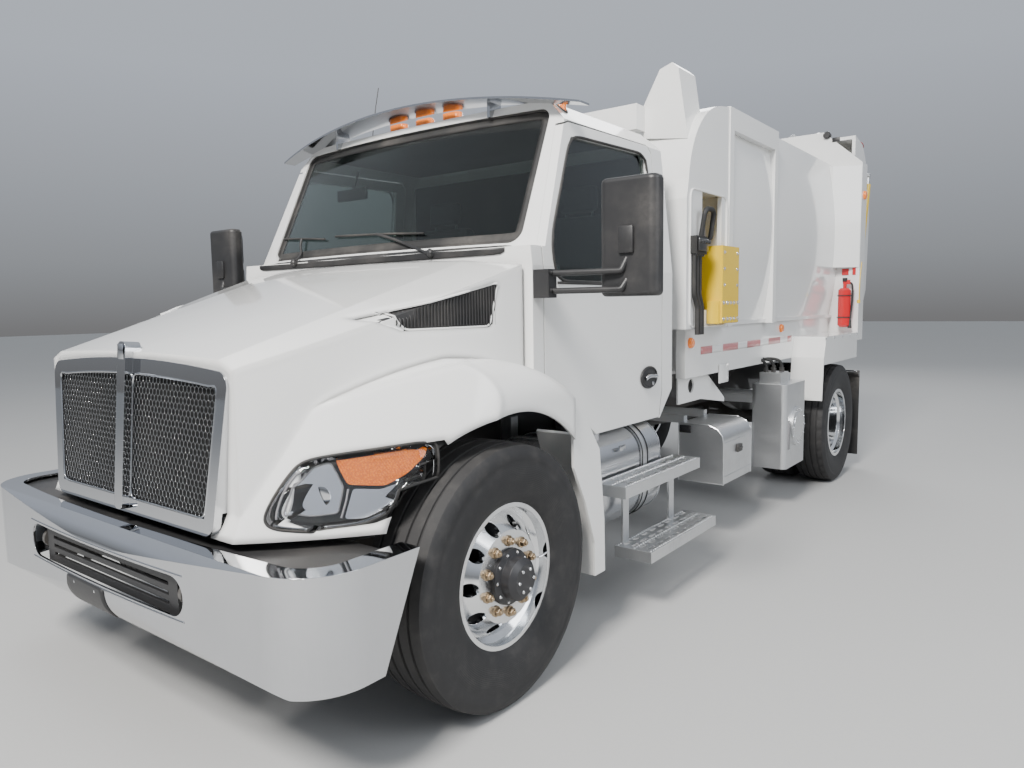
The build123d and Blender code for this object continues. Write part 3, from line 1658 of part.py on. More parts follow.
# Door mirrors on their arms
with BuildPart() as mirror_left:
    with BuildSketch(level(mirror_bottom)):
        with Locations((mirror_x, mirror_station)):
            RectangleRounded(260, 88, 34)
    extrude(amount=mirror_top - mirror_bottom)
    fillet(mirror_left.faces().filter_by(Axis.Z).edges(), 20)
    add(box(cab_half_width + seat_gap, cab_half_width + 80, 1395, 1455, 1620, 1740))
    for arm_low, arm_high in ((1648, 1700), (1722, 1790)):
        add(
            pipe(
                (
                    (cab_half_width + 40, 1425, arm_low),
                    (mirror_x - 20, 1470, arm_low),
                    (mirror_x, 1500, arm_high),
                ),
                14,
                arm_tube_radius,
            )
        )
with BuildPart() as mirrors:
    add(mirror_left.part)
    mirror(mirror_left.part, about=Plane.YZ)
mirrors.part.label = "mirrors"
export_step(mirrors.part, "parts/mirrors.step")

# Grab rails behind the cab's rear corners
with BuildPart() as grab_rail:
    add(
        pipe(
            (
                (950, cab_rear_station, 1230),
                (950, cab_rear_station + 42, 1230),
                (930, cab_rear_station + 42, 2400),
                (930, cab_rear_station - 2, 2400),
            ),
            24,
            rail_tube_radius,
        )
    )
    add(cab_outer, mode=Mode.SUBTRACT)
with BuildPart() as grab_rails:
    add(grab_rail.part)
    mirror(grab_rail.part, about=Plane.YZ)
grab_rails.part.label = "grab_rails"
export_step(grab_rails.part, "parts/grab_rails.step")

# Fender extensions behind the front wheels, under the cab
with BuildPart() as fender_extension:
    with BuildSketch(side(1156)):
        with BuildLine():
            Polyline(
                (1497, 1180),
                (1505, 880),
                (1600, 700),
                (1675, 500),
                (1675, 345),
                (1765, 345),
                (1760, 600),
                (1720, 930),
                (1600, 1100),
                close=True,
            )
        make_face()
    extrude(amount=14)
    with BuildSketch(side(905)):
        with BuildLine():
            Polyline(
                (1590, 1010),
                (1604, 1018),
                (1672, 860),
                (1692, 620),
                (1692, 345),
                (1676, 345),
                (1676, 620),
                (1656, 850),
                close=True,
            )
        make_face()
    extrude(amount=255)
    add(box(rail_outer, 925, 1664, 1704, 800, 840))
with BuildPart() as fender_extensions:
    add(fender_extension.part)
    mirror(fender_extension.part, about=Plane.YZ)
fender_extensions.part.label = "fender_extensions"
export_step(fender_extensions.part, "parts/fender_extensions.step")


def tank_outline(grow):
    """Rounded square outline of a fuel tank across the truck, grown outwards by grow."""
    with BuildSketch() as outline:
        with Locations(((tank_inner + tank_outer) / 2, (tank_bottom + tank_top) / 2)):
            RectangleRounded(
                tank_outer - tank_inner + 2 * grow, tank_top - tank_bottom + 2 * grow, tank_corner + grow
            )
    return outline.sketch


# Fuel tanks with their filler caps
with BuildPart() as fuel_tank:
    with BuildSketch(cross(tank_front_station)):
        add(tank_outline(0))
    extrude(amount=tank_front_station - tank_rear_station)
    fillet(fuel_tank.faces().filter_by(Axis.Y).edges(), 14)
    with BuildSketch(level(tank_top - 60)):
        with Locations((tank_outer - 120, tank_front_station + 300)):
            Circle(58)
    extrude(amount=72)
with BuildPart() as fuel_tanks:
    add(fuel_tank.part)
    mirror(fuel_tank.part, about=Plane.YZ)
fuel_tanks.part.label = "fuel_tanks"
export_step(fuel_tanks.part, "parts/fuel_tanks.step")

# Tank straps with the two cab steps that hang on them
with BuildPart() as step_frame:
    for station in strap_stations:
        with BuildSketch(cross(station)):
            add(tank_outline(strap_thickness + seat_gap))
            add(tank_outline(seat_gap), mode=Mode.SUBTRACT)
        extrude(amount=-strap_width)
        add(box(rail_outer + seat_gap, tank_inner - seat_gap - 1, station, station + strap_width, 620, 1000))
        add(box(tank_outer + 2, upper_step[0] + 10, station, station + strap_width, 652, 700))
    for x_low, x_high, station_low, station_high, top in (upper_step, lower_step):
        add(box(x_low, x_high, station_low, station_high, top - step_height, top))
        add(
            box(
                x_low + 14, x_high - 14, station_low + 14, station_high - 14, top - step_height - 1, top - 12,
            ),
            mode=Mode.SUBTRACT,
        )
        rows = 4
        pitch = (x_high - x_low - 28) / rows
        with BuildSketch(level(top - 13)):
            with Locations(((x_low + x_high) / 2, (station_low + station_high) / 2)):
                with GridLocations(pitch, 96, rows, 8):
                    SlotOverall(64, pitch * 0.42, rotation=90)
        extrude(amount=20, mode=Mode.SUBTRACT)
    for station in step_hanger_stations:
        add(box(upper_step[0] + 14, upper_step[0] + 28, station, station + 60, 340, 700))
with BuildPart() as steps:
    add(step_frame.part)
    mirror(step_frame.part, about=Plane.YZ)
steps.part.label = "steps"
export_step(steps.part, "parts/steps.step")

# Tool box on two bars from the left rail
with BuildPart() as tool_box:
    with BuildSketch(cross(tool_box_front_station)):
        with BuildLine():
            Polyline((1000, 800), (790, 800), (790, 420), (1100, 420), (1100, 690))
            ThreePointArc((1100, 690), (1070, 768), (1000, 800))
        make_face()
    extrude(amount=tool_box_front_station - tool_box_rear_station)
    for station in (tool_box_front_station + 60, tool_box_rear_station - 110):
        add(box(rail_outer, 800, station, station + 50, 790, 840))
tool_box.part.label = "tool_box"
export_step(tool_box.part, "parts/tool_box.step")

# Hydraulic tank with its round cover, filler and valve block, on two bars from the left rail
tank_middle = (hydraulic_front_station + hydraulic_rear_station) / 2
with BuildPart() as hydraulic_tank:
    with BuildSketch(level(335)):
        with Locations((1035, tank_middle)):
            RectangleRounded(270, hydraulic_rear_station - hydraulic_front_station, 40)
    extrude(amount=640)
    with BuildSketch(side(1169)):
        with Locations((tank_middle, 640)):
            Circle(150)
    extrude(amount=21)
    with BuildSketch(level(974)):
        with Locations((1035, tank_middle + 130)):
            Circle(45)
    extrude(amount=60)
    add(box(950, 1110, hydraulic_front_station + 40, hydraulic_front_station + 220, 970, 1060))
    for station in (hydraulic_front_station + 60, hydraulic_rear_station - 110):
        add(box(rail_outer, 910, station, station + 50, 820, 880))
hydraulic_tank.part.label = "hydraulic_tank"
export_step(hydraulic_tank.part, "parts/hydraulic_tank.step")


def body_section(inset):
    """Cross section of the tipping body drawn in by inset: upright sills, barrel sides, low roof."""
    low = body_rail_half_width - inset
    middle = barrel_half_width - inset
    top = barrel_top_half_width - inset
    roof = body_top - inset
    with BuildSketch() as section:
        with BuildLine():
            Polyline(
                (-low, body_rail_top),
                (-low, body_floor + inset),
                (low, body_floor + inset),
                (low, body_rail_top),
            )
            ThreePointArc((low, body_rail_top), (middle, barrel_mid_height), (top, roof))
            ThreePointArc((top, roof), (0, roof + roof_crown), (-top, roof))
            ThreePointArc((-top, roof), (-middle, barrel_mid_height), (-low, body_rail_top))
        make_face()
    return section.sketch


def housing_outline(inset):
    """Side outline of the front housing drawn in by inset: upright front and big round top edge."""
    with BuildSketch() as outline:
        with BuildLine():
            Polyline(
                (hopper_wall_station + 1, body_top - 6),
                (hopper_wall_station + 1, bay_floor),
                (body_front_station, bay_floor),
                (body_front_station, 2200),
                (2978, 2320),
            )
            ThreePointArc((2978, 2320), (3124, 2641), (3441, 2812))
            Line((3441, 2812), (hopper_wall_station + 1, body_top - 6))
        make_face()
        if inset:
            offset(amount=-inset, kind=Kind.INTERSECTION)
    return outline.sketch


# The open chute above the arm's bay, sloping back into the hopper
with BuildPart() as chute:
    with BuildSketch(side(0)):
        add(housing_outline(body_wall))
        with BuildLine():
            Polyline(
                (chute_front_station, bay_floor),
                (chute_front_station, chute_front_height),
                (hopper_wall_station + 2, chute_rear_height),
                (hopper_wall_station + 2, bay_floor),
                close=True,
            )
        make_face(mode=Mode.SUBTRACT)
        with Locations(((body_front_station + chute_front_station) / 2, 2000)):
            Rectangle(chute_front_station - body_front_station, 2000, mode=Mode.SUBTRACT)
    extrude(amount=panel_half_width - body_wall, both=True)
    add(
        box(
            -barrel_half_width + 60,
            barrel_half_width - 60,
            hopper_wall_station - body_wall,
            hopper_wall_station + 2 * body_wall,
            chute_rear_height + 20,
            body_top - body_wall,
        )
    )

# Tipping body: front housing, hopper, ribbed barrel sides, sills and floor
with BuildPart() as body_shell:
    with BuildSketch(cross(hopper_wall_station)):
        add(body_section(0))
    extrude(amount=hopper_wall_station - ring_station)
    for start in (hopper_wall_station, rib_station - rib_width / 2):
        add(box(-rib_half_width, rib_half_width, start, start + rib_width, body_rail_top - 30, body_top))
    add(box(-rib_half_width, rib_half_width, hopper_wall_station, rib_station, header_bottom, body_top))
    for low_station in (hopper_wall_station, rib_station):
        add(box(-985, 985, low_station, ring_station, body_rail_top - 26, body_rail_top))
    with BuildSketch(side(0)):
        add(housing_outline(0))
    extrude(amount=panel_half_width, both=True)
    add(
        box(
            -front_wall_half_width,
            front_wall_half_width,
            body_front_station + 5,
            chute_front_station + 10,
            chute_front_height - 60,
            front_wall_top,
        )
    )
    for hand in (-1, 1):
        with BuildSketch(cross(chute_front_station)):
            with BuildLine():
                Polyline(
                    (hand * 690, 2600),
                    (hand * 690, 2790),
                    (hand * 800, guard_top - 25),
                    (hand * 880, guard_top),
                    (hand * 920, guard_top - 35),
                    (hand * 985, 2560),
                    close=True,
                )
            make_face()
        extrude(amount=-240)
        with BuildSketch(level(1900)):
            with BuildLine():
                Polyline(
                    (hand * 930, ring_station - 150),
                    (hand * 1000, ring_station - 150),
                    (hand * (ring_half_width - 2), ring_station),
                    (hand * 930, ring_station),
                    close=True,
                )
            make_face()
        extrude(amount=ring_shoulder - 1900 - 30)
        add(
            box(
                min(hand * body_rail_half_width, hand * (body_rail_half_width - sill_depth)),
                max(hand * body_rail_half_width, hand * (body_rail_half_width - sill_depth)),
                sill_front,
                hopper_wall_station + 1,
                body_floor,
                body_rail_top,
            )
        )
        add(
            box(
                min(hand * rail_outer, hand * (rail_outer - rail_flange)),
                max(hand * rail_outer, hand * (rail_outer - rail_flange)),
                hopper_wall_station,
                subframe_rear_station,
                rail_top + rest_gap,
                body_floor + 1,
            )
        )
        with BuildSketch(side(hand * tip_tongue_x - tip_tongue_thickness / 2)):
            with Locations((tip_hinge_station, tip_hinge_height)):
                Circle(tip_ear_radius)
                Rectangle(
                    2 * tip_ear_radius, body_floor - tip_hinge_height + 1, align=(Align.CENTER, Align.MIN),
                )
        extrude(amount=tip_tongue_thickness)
        pin_half = tip_tongue_thickness / 2 + tip_ear_thickness + 2
        with BuildSketch(side(hand * tip_tongue_x - pin_half)):
            with Locations((tip_hinge_station, tip_hinge_height)):
                Circle(tip_pin_radius)
        extrude(amount=2 * pin_half)
        for lug_side in (-1, 1):
            lug_middle = hoist_eye_width / 2 + lug_gap + lug_thickness / 2
            with BuildSketch(side(hand * hoist_x + lug_side * lug_middle - lug_thickness / 2)):
                with Locations(hoist_eye):
                    Circle(hoist_eye_radius)
                    Rectangle(
                        2 * hoist_eye_radius, body_floor - hoist_eye[1] + 1, align=(Align.CENTER, Align.MIN),
                    )
            extrude(amount=lug_thickness)
    add(
        box(
            -barrel_half_width + 60,
            barrel_half_width - 60,
            ring_station - 1,
            ring_rear_station,
            body_floor,
            body_floor + 30,
        ),
    )
    with BuildSketch(cross(hopper_wall_station + body_wall)):
        add(body_section(body_wall))
    extrude(amount=hopper_wall_station + body_wall - ring_station - ring_depth - 1, mode=Mode.SUBTRACT)
    add(chute.part, mode=Mode.SUBTRACT)
    add(
        box(
            -panel_half_width - 1,
            panel_half_width - body_wall,
            bay_front_station,
            bay_rear_station,
            arm_bottom,
            bay_top,
        ),
        mode=Mode.SUBTRACT,
    )
    add(
        box(0, panel_half_width + 1, slot_front_station, slot_rear_station, slot_low, slot_high - 20),
        mode=Mode.SUBTRACT,
    )
    add(
        box(0, panel_half_width + 1, arm_front_station, arm_rear_station, arm_bottom, arm_top),
        mode=Mode.SUBTRACT,
    )
    add(
        box(
            -mouth_half_width,
            mouth_half_width,
            chute_front_station + 40,
            mouth_rear_station,
            header_bottom,
            guard_top + 50,
        ),
        mode=Mode.SUBTRACT,
    )
    with BuildSketch(side(body_rail_half_width - sill_depth)):
        with BuildLine():
            Polyline(
                (3110, 1180), (3110, 960), (3460, 960), (3860, 900), (3860, 930), (3460, 1180), close=True,
            )
        make_face()
        with Locations((3300, 1060)):
            Circle(45, mode=Mode.SUBTRACT)
    extrude(amount=12)
    add(box(-rib_half_width, -960, 3110, 3460, 1420, bay_floor))
body_shell.part.label = "body_shell"
export_step(body_shell.part, "parts/body_shell.step")

# Rear ring that carries the tailgate: chamfered frame, hinge ears and cylinder lugs
with BuildPart() as rear_ring:
    with BuildSketch(cross(ring_station)):
        with BuildLine():
            Polyline(
                (-ring_half_width, ring_bottom),
                (-ring_half_width, ring_shoulder),
                (-ring_top_half_width, ring_top),
                (ring_top_half_width, ring_top),
                (ring_half_width, ring_shoulder),
                (ring_half_width, ring_bottom),
                (ring_floor_half_width, ring_bottom),
                (ring_floor_half_width, body_floor + body_wall),
                (-ring_floor_half_width, body_floor + body_wall),
                (-ring_floor_half_width, ring_bottom),
                close=True,
            )
        make_face()
        add(body_section(body_wall), mode=Mode.SUBTRACT)
    extrude(amount=-ring_depth)
    for hand in (-1, 1):
        for ear_side in (-1, 1):
            ear_middle = hand * gate_ear_x + ear_side * (gate_ear_gap + gate_ear_thickness) / 2
            with BuildSketch(side(ear_middle - gate_ear_thickness / 2)):
                with BuildLine():
                    Polyline(
                        (gate_hinge_station, gate_hinge_height - gate_ear_radius),
                        (ring_rear_station - 1, gate_hinge_height - gate_ear_radius),
                        (ring_rear_station - 1, ring_top - 40),
                        (ring_rear_station - 120, ring_top - 40),
                        (ring_rear_station - 120, ring_top),
                        (gate_hinge_station - 30, gate_hinge_height + gate_ear_radius),
                        (gate_hinge_station, gate_hinge_height + gate_ear_radius),
                    )
                    ThreePointArc(
                        (gate_hinge_station, gate_hinge_height + gate_ear_radius),
                        (gate_hinge_station + gate_ear_radius, gate_hinge_height),
                        (gate_hinge_station, gate_hinge_height - gate_ear_radius),
                    )
                make_face()
                with Locations((gate_hinge_station, gate_hinge_height)):
                    Circle(gate_pin_radius + running_gap, mode=Mode.SUBTRACT)
            extrude(amount=gate_ear_thickness)
        for lug_x in (
            hand * gate_cylinder_x - gate_cylinder_eye_width / 2 - lug_gap - sheet,
            hand * gate_cylinder_x + gate_cylinder_eye_width / 2 + lug_gap,
        ):
            with BuildSketch(side(lug_x)):
                with Locations(gate_base):
                    Circle(gate_cylinder_eye_radius)
                    Rectangle(
                        gate_base[0] - ring_rear_station + 1,
                        2 * gate_cylinder_eye_radius,
                        align=(Align.MAX, Align.CENTER),
                    )
            extrude(amount=sheet)
        with BuildSketch(side(hand * gate_cylinder_x - gate_cylinder_eye_width / 2 - lug_gap - 1)):
            with Locations(gate_base):
                Circle(cylinder_pin_radius)
        extrude(amount=gate_cylinder_eye_width + 2 * lug_gap + 2)
rear_ring.part.label = "rear_ring"
export_step(rear_ring.part, "parts/rear_ring.step")


def gate_outline(inset):
    """Side outline of the bulging tailgate drawn in by inset, its front face left in place."""
    front = gate_front_station - (1 if inset else 0)
    bulge = gate_bulge_radius - inset
    centre = overall_length - gate_bulge_radius
    with BuildSketch() as outline:
        with BuildLine():
            Polyline(
                (front, 1240 + inset),
                (6750 - inset / 2, 1240 + inset),
                (7100 - inset, 1700 + inset / 2),
                (centre + bulge, gate_bulge_height),
            )
            ThreePointArc(
                (centre + bulge, gate_bulge_height),
                (
                    centre + bulge * cos(gate_bulge_sweep / 2),
                    gate_bulge_height + bulge * sin(gate_bulge_sweep / 2),
                ),
                (centre + bulge * cos(gate_bulge_sweep), gate_bulge_height + bulge * sin(gate_bulge_sweep)),
            )
            Polyline(
                (centre + bulge * cos(gate_bulge_sweep), gate_bulge_height + bulge * sin(gate_bulge_sweep)),
                (front, gate_front_top - inset),
                (front, 1240 + inset),
            )
        make_face()
    return outline.sketch


# Tailgate: a hollow shell, its hinge tongues with pins and the two cylinder bosses
with BuildPart() as tailgate:
    with BuildSketch(side(0)):
        add(gate_outline(0))
    extrude(amount=tailgate_half_width, both=True)
    with BuildSketch(side(0)):
        add(gate_outline(gate_wall))
    extrude(amount=tailgate_half_width - gate_wall, both=True, mode=Mode.SUBTRACT)
    for hand in (-1, 1):
        with BuildSketch(side(hand * gate_ear_x - gate_ear_gap / 2 + lug_gap)):
            with BuildLine():
                Polyline(
                    (gate_hinge_station, gate_hinge_height + gate_ear_radius),
                    (gate_hinge_station + 60, gate_hinge_height + gate_ear_radius),
                    (gate_hinge_station + 210, gate_front_top - 39),
                    (gate_hinge_station + 4, gate_front_top - 23),
                    (gate_hinge_station, gate_hinge_height - gate_ear_radius),
                )
                ThreePointArc(
                    (gate_hinge_station, gate_hinge_height - gate_ear_radius),
                    (gate_hinge_station - gate_ear_radius, gate_hinge_height),
                    (gate_hinge_station, gate_hinge_height + gate_ear_radius),
                )
            make_face()
        extrude(amount=gate_ear_gap - 2 * lug_gap)
        pin_half = gate_ear_gap / 2 + gate_ear_thickness
        with BuildSketch(side(hand * gate_ear_x - pin_half)):
            with Locations((gate_hinge_station, gate_hinge_height)):
                Circle(gate_pin_radius)
        extrude(amount=2 * pin_half)
        with BuildSketch(side(hand * (tailgate_half_width - 1))):
            with Locations(gate_eye):
                Circle(gate_cylinder_eye_radius + 14)
        extrude(
            amount=hand * (gate_cylinder_x - gate_cylinder_eye_width / 2 - lug_gap - tailgate_half_width + 1),
        )
tailgate.part.label = "tailgate"
export_step(tailgate.part, "parts/tailgate.step")


def cylinder_frame(x, base, eye):
    """Plane at a cylinder's base pivot whose normal points to its rod's eye."""
    return Plane(
        origin=(x, nose + base[0], base[1]), x_dir=(1, 0, 0), z_dir=(0, eye[0] - base[0], eye[1] - base[1]),
    )


def cylinder_barrel(x, base, eye, radii, eye_width):
    """Barrel with a bored base eye and a blind bore for the rod; radii are barrel, rod and eye."""
    outer, rod, eye_radius = radii
    reach = hypot(eye[0] - base[0], eye[1] - base[1])
    frame = cylinder_frame(x, base, eye)
    with BuildPart() as barrel:
        with BuildSketch(side(x - eye_width / 2)):
            with Locations(base):
                Circle(eye_radius)
        extrude(amount=eye_width)
        with BuildSketch(frame):
            Circle(rod)
        extrude(amount=cylinder_bottom)
        with BuildSketch(frame.offset(eye_radius + 8)):
            Circle(outer)
        extrude(amount=reach - cylinder_head_room - eye_radius - 8)
        with BuildSketch(frame.offset(cylinder_bottom)):
            Circle(rod + running_gap)
        extrude(amount=reach, mode=Mode.SUBTRACT)
        with BuildSketch(side(x - eye_width)):
            with Locations(base):
                Circle(cylinder_pin_radius + running_gap)
        extrude(amount=2 * eye_width, mode=Mode.SUBTRACT)
    return barrel.part


def cylinder_rod(x, base, eye, radii, eye_width):
    """Rod from the barrel's bore to its eye; radii are barrel, rod and eye."""
    rod, eye_radius = radii[1:]
    reach = hypot(eye[0] - base[0], eye[1] - base[1])
    with BuildPart() as bar:
        with BuildSketch(cylinder_frame(x, base, eye).offset(cylinder_bottom + 10)):
            Circle(rod)
        extrude(amount=reach - cylinder_bottom - 10)
        with BuildSketch(side(x - eye_width / 2)):
            with Locations(eye):
                Circle(eye_radius)
        extrude(amount=eye_width)
    return bar.part


hoist_radii = (hoist_barrel_radius, hoist_rod_radius, hoist_eye_radius)
gate_radii = (gate_barrel_radius, gate_rod_radius, gate_cylinder_eye_radius)
with BuildPart() as hoist_barrels:
    for x in (-hoist_x, hoist_x):
        add(cylinder_barrel(x, hoist_base, hoist_eye, hoist_radii, hoist_eye_width))
hoist_barrels.part.label = "hoist_barrels"
export_step(hoist_barrels.part, "parts/hoist_barrels.step")

with BuildPart() as hoist_rods:
    for x in (-hoist_x, hoist_x):
        add(cylinder_rod(x, hoist_base, hoist_eye, hoist_radii, hoist_eye_width))
hoist_rods.part.label = "hoist_rods"
export_step(hoist_rods.part, "parts/hoist_rods.step")

with BuildPart() as gate_barrels:
    for x in (-gate_cylinder_x, gate_cylinder_x):
        add(cylinder_barrel(x, gate_base, gate_eye, gate_radii, gate_cylinder_eye_width))
gate_barrels.part.label = "gate_barrels"
export_step(gate_barrels.part, "parts/gate_barrels.step")

with BuildPart() as gate_rods:
    for x in (-gate_cylinder_x, gate_cylinder_x):
        add(cylinder_rod(x, gate_base, gate_eye, gate_radii, gate_cylinder_eye_width))
gate_rods.part.label = "gate_rods"
export_step(gate_rods.part, "parts/gate_rods.step")

# Arm housing: a square tube across the body with its end frame
with BuildPart() as arm_housing:
    add(box(arm_right_end, arm_left_end, arm_front_station, arm_rear_station, arm_bottom, arm_top))
    add(
        box(
            arm_right_end - 1,
            arm_left_end - 40,
            arm_front_station + arm_wall,
            arm_rear_station - arm_wall,
            arm_bottom + arm_wall,
            arm_top - arm_wall,
        ),
        mode=Mode.SUBTRACT,
    )
    add(
        box(
            panel_half_width + 1,
            arm_left_end - 12,
            arm_front_station - 30,
            arm_rear_station + 8,
            arm_bottom - 4,
            1600,
        ),
    )
arm_housing.part.label = "arm_housing"
export_step(arm_housing.part, "parts/arm_housing.step")

# Arm slide: the beam inside the housing with the lift drum on its end plate
slide_inset = arm_wall + slide_clearance
with BuildPart() as arm_slide:
    add(
        box(
            arm_right_end - 10,
            slide_left_end,
            arm_front_station + slide_inset,
            arm_rear_station - slide_inset,
            arm_bottom + slide_inset,
            arm_top - slide_inset,
        )
    )
    add(
        box(
            arm_right_end - 11,
            slide_left_end + 1,
            arm_front_station + slide_inset + 20,
            arm_rear_station - slide_inset - 20,
            arm_bottom + slide_inset + 20,
            arm_top - slide_inset - 20,
        ),
        mode=Mode.SUBTRACT,
    )
    add(
        box(
            arm_right_end - 10 - slide_plate,
            arm_right_end - 10,
            arm_centre_station - drum_half_length,
            arm_centre_station + drum_half_length,
            arm_bottom + slide_inset,
            arm_top - slide_inset,
        )
    )
    add(box(lift_x, arm_right_end - 20, arm_centre_station - 90, arm_centre_station + 90, 1790, 1905))
    for runner_low, runner_high in (
        (arm_bottom + arm_wall + seat_gap, arm_bottom + slide_inset + 1),
        (arm_top - slide_inset - 1, arm_top - arm_wall - seat_gap),
    ):
        add(
            box(
                arm_right_end - 10,
                slide_left_end,
                arm_centre_station - 70,
                arm_centre_station + 70,
                runner_low,
                runner_high,
            )
        )
    with BuildSketch(cross(arm_centre_station - drum_half_length)):
        with Locations((lift_x, lift_height)):
            Circle(drum_outer)
    extrude(amount=-2 * drum_half_length)
    with BuildSketch(cross(arm_centre_station - drum_half_length - lift_plate - 5)):
        with Locations((lift_x, lift_height)):
            Circle(lift_shaft_radius)
    extrude(amount=-2 * (drum_half_length + lift_plate + 5))
arm_slide.part.label = "arm_slide"
export_step(arm_slide.part, "parts/arm_slide.step")

# Lift arm: two plates on the drum's shaft, the hanging beam and the gripper's cross bar
plate_front = arm_centre_station - drum_half_length - lift_plate - 5
plate_rear = arm_centre_station + drum_half_length + 5
with BuildPart() as lift_arm:
    for station in (plate_front, plate_rear):
        with BuildSketch(cross(station)):
            with Locations((lift_x, lift_height)):
                Circle(lift_plate_radius)
            with BuildLine():
                Polyline(
                    (lift_x - 80, lift_height),
                    (lift_x - 60, 1560),
                    (lift_x - beam_half_depth, gripper_height),
                    (lift_x + beam_half_depth, gripper_height),
                    (lift_x + 60, 1560),
                    (lift_x + 80, lift_height),
                    close=True,
                )
            make_face()
            with Locations((lift_x, lift_height)):
                Circle(lift_shaft_radius + running_gap, mode=Mode.SUBTRACT)
        extrude(amount=-lift_plate)
    add(box(lift_x - 26, lift_x + 26, plate_front + 1, plate_rear + lift_plate - 1, 1240, 1700))
    add(box(lift_x - 26, lift_x + 26, plate_front + 1, plate_rear + lift_plate - 1, 800, 980))
    add(
        box(
            lift_x - beam_half_depth,
            lift_x + beam_half_depth,
            arm_centre_station - gripper_half_length,
            arm_centre_station + gripper_half_length,
            gripper_height - gripper_half_height,
            gripper_height + gripper_half_height,
        )
    )
    for hand in (-1, 1):
        pivot_station = arm_centre_station + hand * finger_spacing
        for lug_low in (
            gripper_height - finger_half_height - 5 - finger_lug,
            gripper_height + finger_half_height + 5,
        ):
            with BuildSketch(level(lug_low)):
                with Locations((finger_x, pivot_station)):
                    Circle(finger_eye_radius)
                with Locations(((finger_x + lift_x) / 2, pivot_station)):
                    Rectangle(lift_x - finger_x + 20, 2 * finger_eye_radius)
            extrude(amount=finger_lug)
        add(
            box(
                lift_x - beam_half_depth + 4,
                lift_x + beam_half_depth - 4,
                pivot_station - finger_eye_radius,
                pivot_station + finger_eye_radius,
                gripper_height - finger_half_height - 5 - finger_lug,
                gripper_height + finger_half_height + 5 + finger_lug,
            )
        )
        with BuildSketch(level(gripper_height - finger_half_height - 6)):
            with Locations((finger_x, pivot_station)):
                Circle(finger_pin_radius)
        extrude(amount=2 * finger_half_height + 12)
lift_arm.part.label = "lift_arm"
export_step(lift_arm.part, "parts/lift_arm.step")

# Gripper fingers: an eye on an upright pin, a long bow and a hooked tip
for hand, name in ((-1, "front"), (1, "rear")):
    pivot_station = arm_centre_station + hand * finger_spacing
    tip_station = pivot_station + hand * finger_length
    half = finger_thickness / 2
    with BuildPart() as finger:
        with BuildSketch(level(gripper_height - finger_half_height)):
            with Locations((finger_x, pivot_station)):
                Circle(finger_eye_radius - 4)
            with BuildLine():
                Polyline(
                    (finger_x + half, pivot_station),
                    (finger_x + half, tip_station - hand * 60),
                    (finger_x - finger_hook + 12, tip_station),
                    (finger_x - finger_hook, tip_station - hand * 26),
                    (finger_x - half, tip_station - hand * 84),
                    (finger_x - half, pivot_station),
                    close=True,
                )
            make_face()
            with Locations((finger_x, pivot_station)):
                Circle(finger_pin_radius + running_gap, mode=Mode.SUBTRACT)
        extrude(amount=2 * finger_half_height)
    finger.part.label = f"finger_{name}"
    export_step(finger.part, f"parts/finger_{name}.step")

# Packer blade inside the hopper
with BuildPart() as packer_blade:
    with BuildSketch(side(-blade_half_width)):
        with BuildLine():
            Polyline(
                (blade_front_station, blade_bottom),
                (blade_front_station, blade_top),
                (blade_front_station + 40, blade_top),
                (blade_front_station + blade_depth, blade_top - 160),
                (blade_front_station + blade_depth, blade_bottom),
                close=True,
            )
        make_face()
    extrude(amount=2 * blade_half_width)
    add(
        box(
            -blade_half_width + 40,
            blade_half_width - 40,
            blade_front_station - 1,
            blade_front_station + blade_depth - 30,
            blade_bottom + 60,
            blade_top - 220,
        ),
        mode=Mode.SUBTRACT,
    )
    for skid_x in (-560, 460):
        add(
            box(
                skid_x,
                skid_x + 100,
                blade_front_station,
                blade_front_station + blade_depth,
                body_floor + body_wall + seat_gap,
                blade_bottom + 1,
            )
        )
packer_blade.part.label = "packer_blade"
export_step(packer_blade.part, "parts/packer_blade.step")

# Rear fenders on the body's sills
with BuildPart() as rear_fender:
    with BuildSketch(side(rear_fender_inner + seat_gap)):
        with BuildLine():
            Polyline(
                (rear_fender_front_station - 30, rear_fender_skirt),
                (rear_fender_front_station, rear_fender_bottom + 60),
                (rear_fender_front_station + 60, rear_fender_top),
                (rear_fender_rear_station, rear_fender_top),
                (rear_fender_rear_station, rear_fender_bottom),
                (rear_fender_rear_station - sheet, rear_fender_bottom),
                (rear_fender_rear_station - sheet, rear_fender_top - sheet),
                (rear_fender_front_station + 66, rear_fender_top - sheet),
                (rear_fender_front_station + sheet, rear_fender_bottom + 58),
                (rear_fender_front_station - 18, rear_fender_skirt),
                close=True,
            )
        make_face()
    extrude(amount=rear_fender_outer - rear_fender_inner - seat_gap)
    with BuildSketch(side(rear_fender_outer - sheet)):
        with BuildLine():
            Polyline(
                (rear_fender_front_station - 4, rear_fender_bottom),
                (rear_fender_front_station, rear_fender_bottom + 60),
                (rear_fender_front_station + 60, rear_fender_top),
                (rear_fender_rear_station, rear_fender_top),
                (rear_fender_rear_station, rear_fender_bottom),
                close=True,
            )
        make_face()
    extrude(amount=sheet)
with BuildPart() as rear_fenders:
    add(rear_fender.part)
    mirror(rear_fender.part, about=Plane.YZ)
rear_fenders.part.label = "rear_fenders"
export_step(rear_fenders.part, "parts/rear_fenders.step")

# Mud flaps behind the rear wheels
with BuildPart() as mudflaps:
    for hand in (-1, 1):
        with BuildSketch(cross(flap_station)):
            with Locations((hand * (flap_inner + flap_outer) / 2, (flap_bottom + flap_top) / 2)):
                Rectangle(flap_outer - flap_inner, flap_top - flap_bottom)
        extrude(amount=-8)
mudflaps.part.label = "mudflaps"
export_step(mudflaps.part, "parts/mudflaps.step")

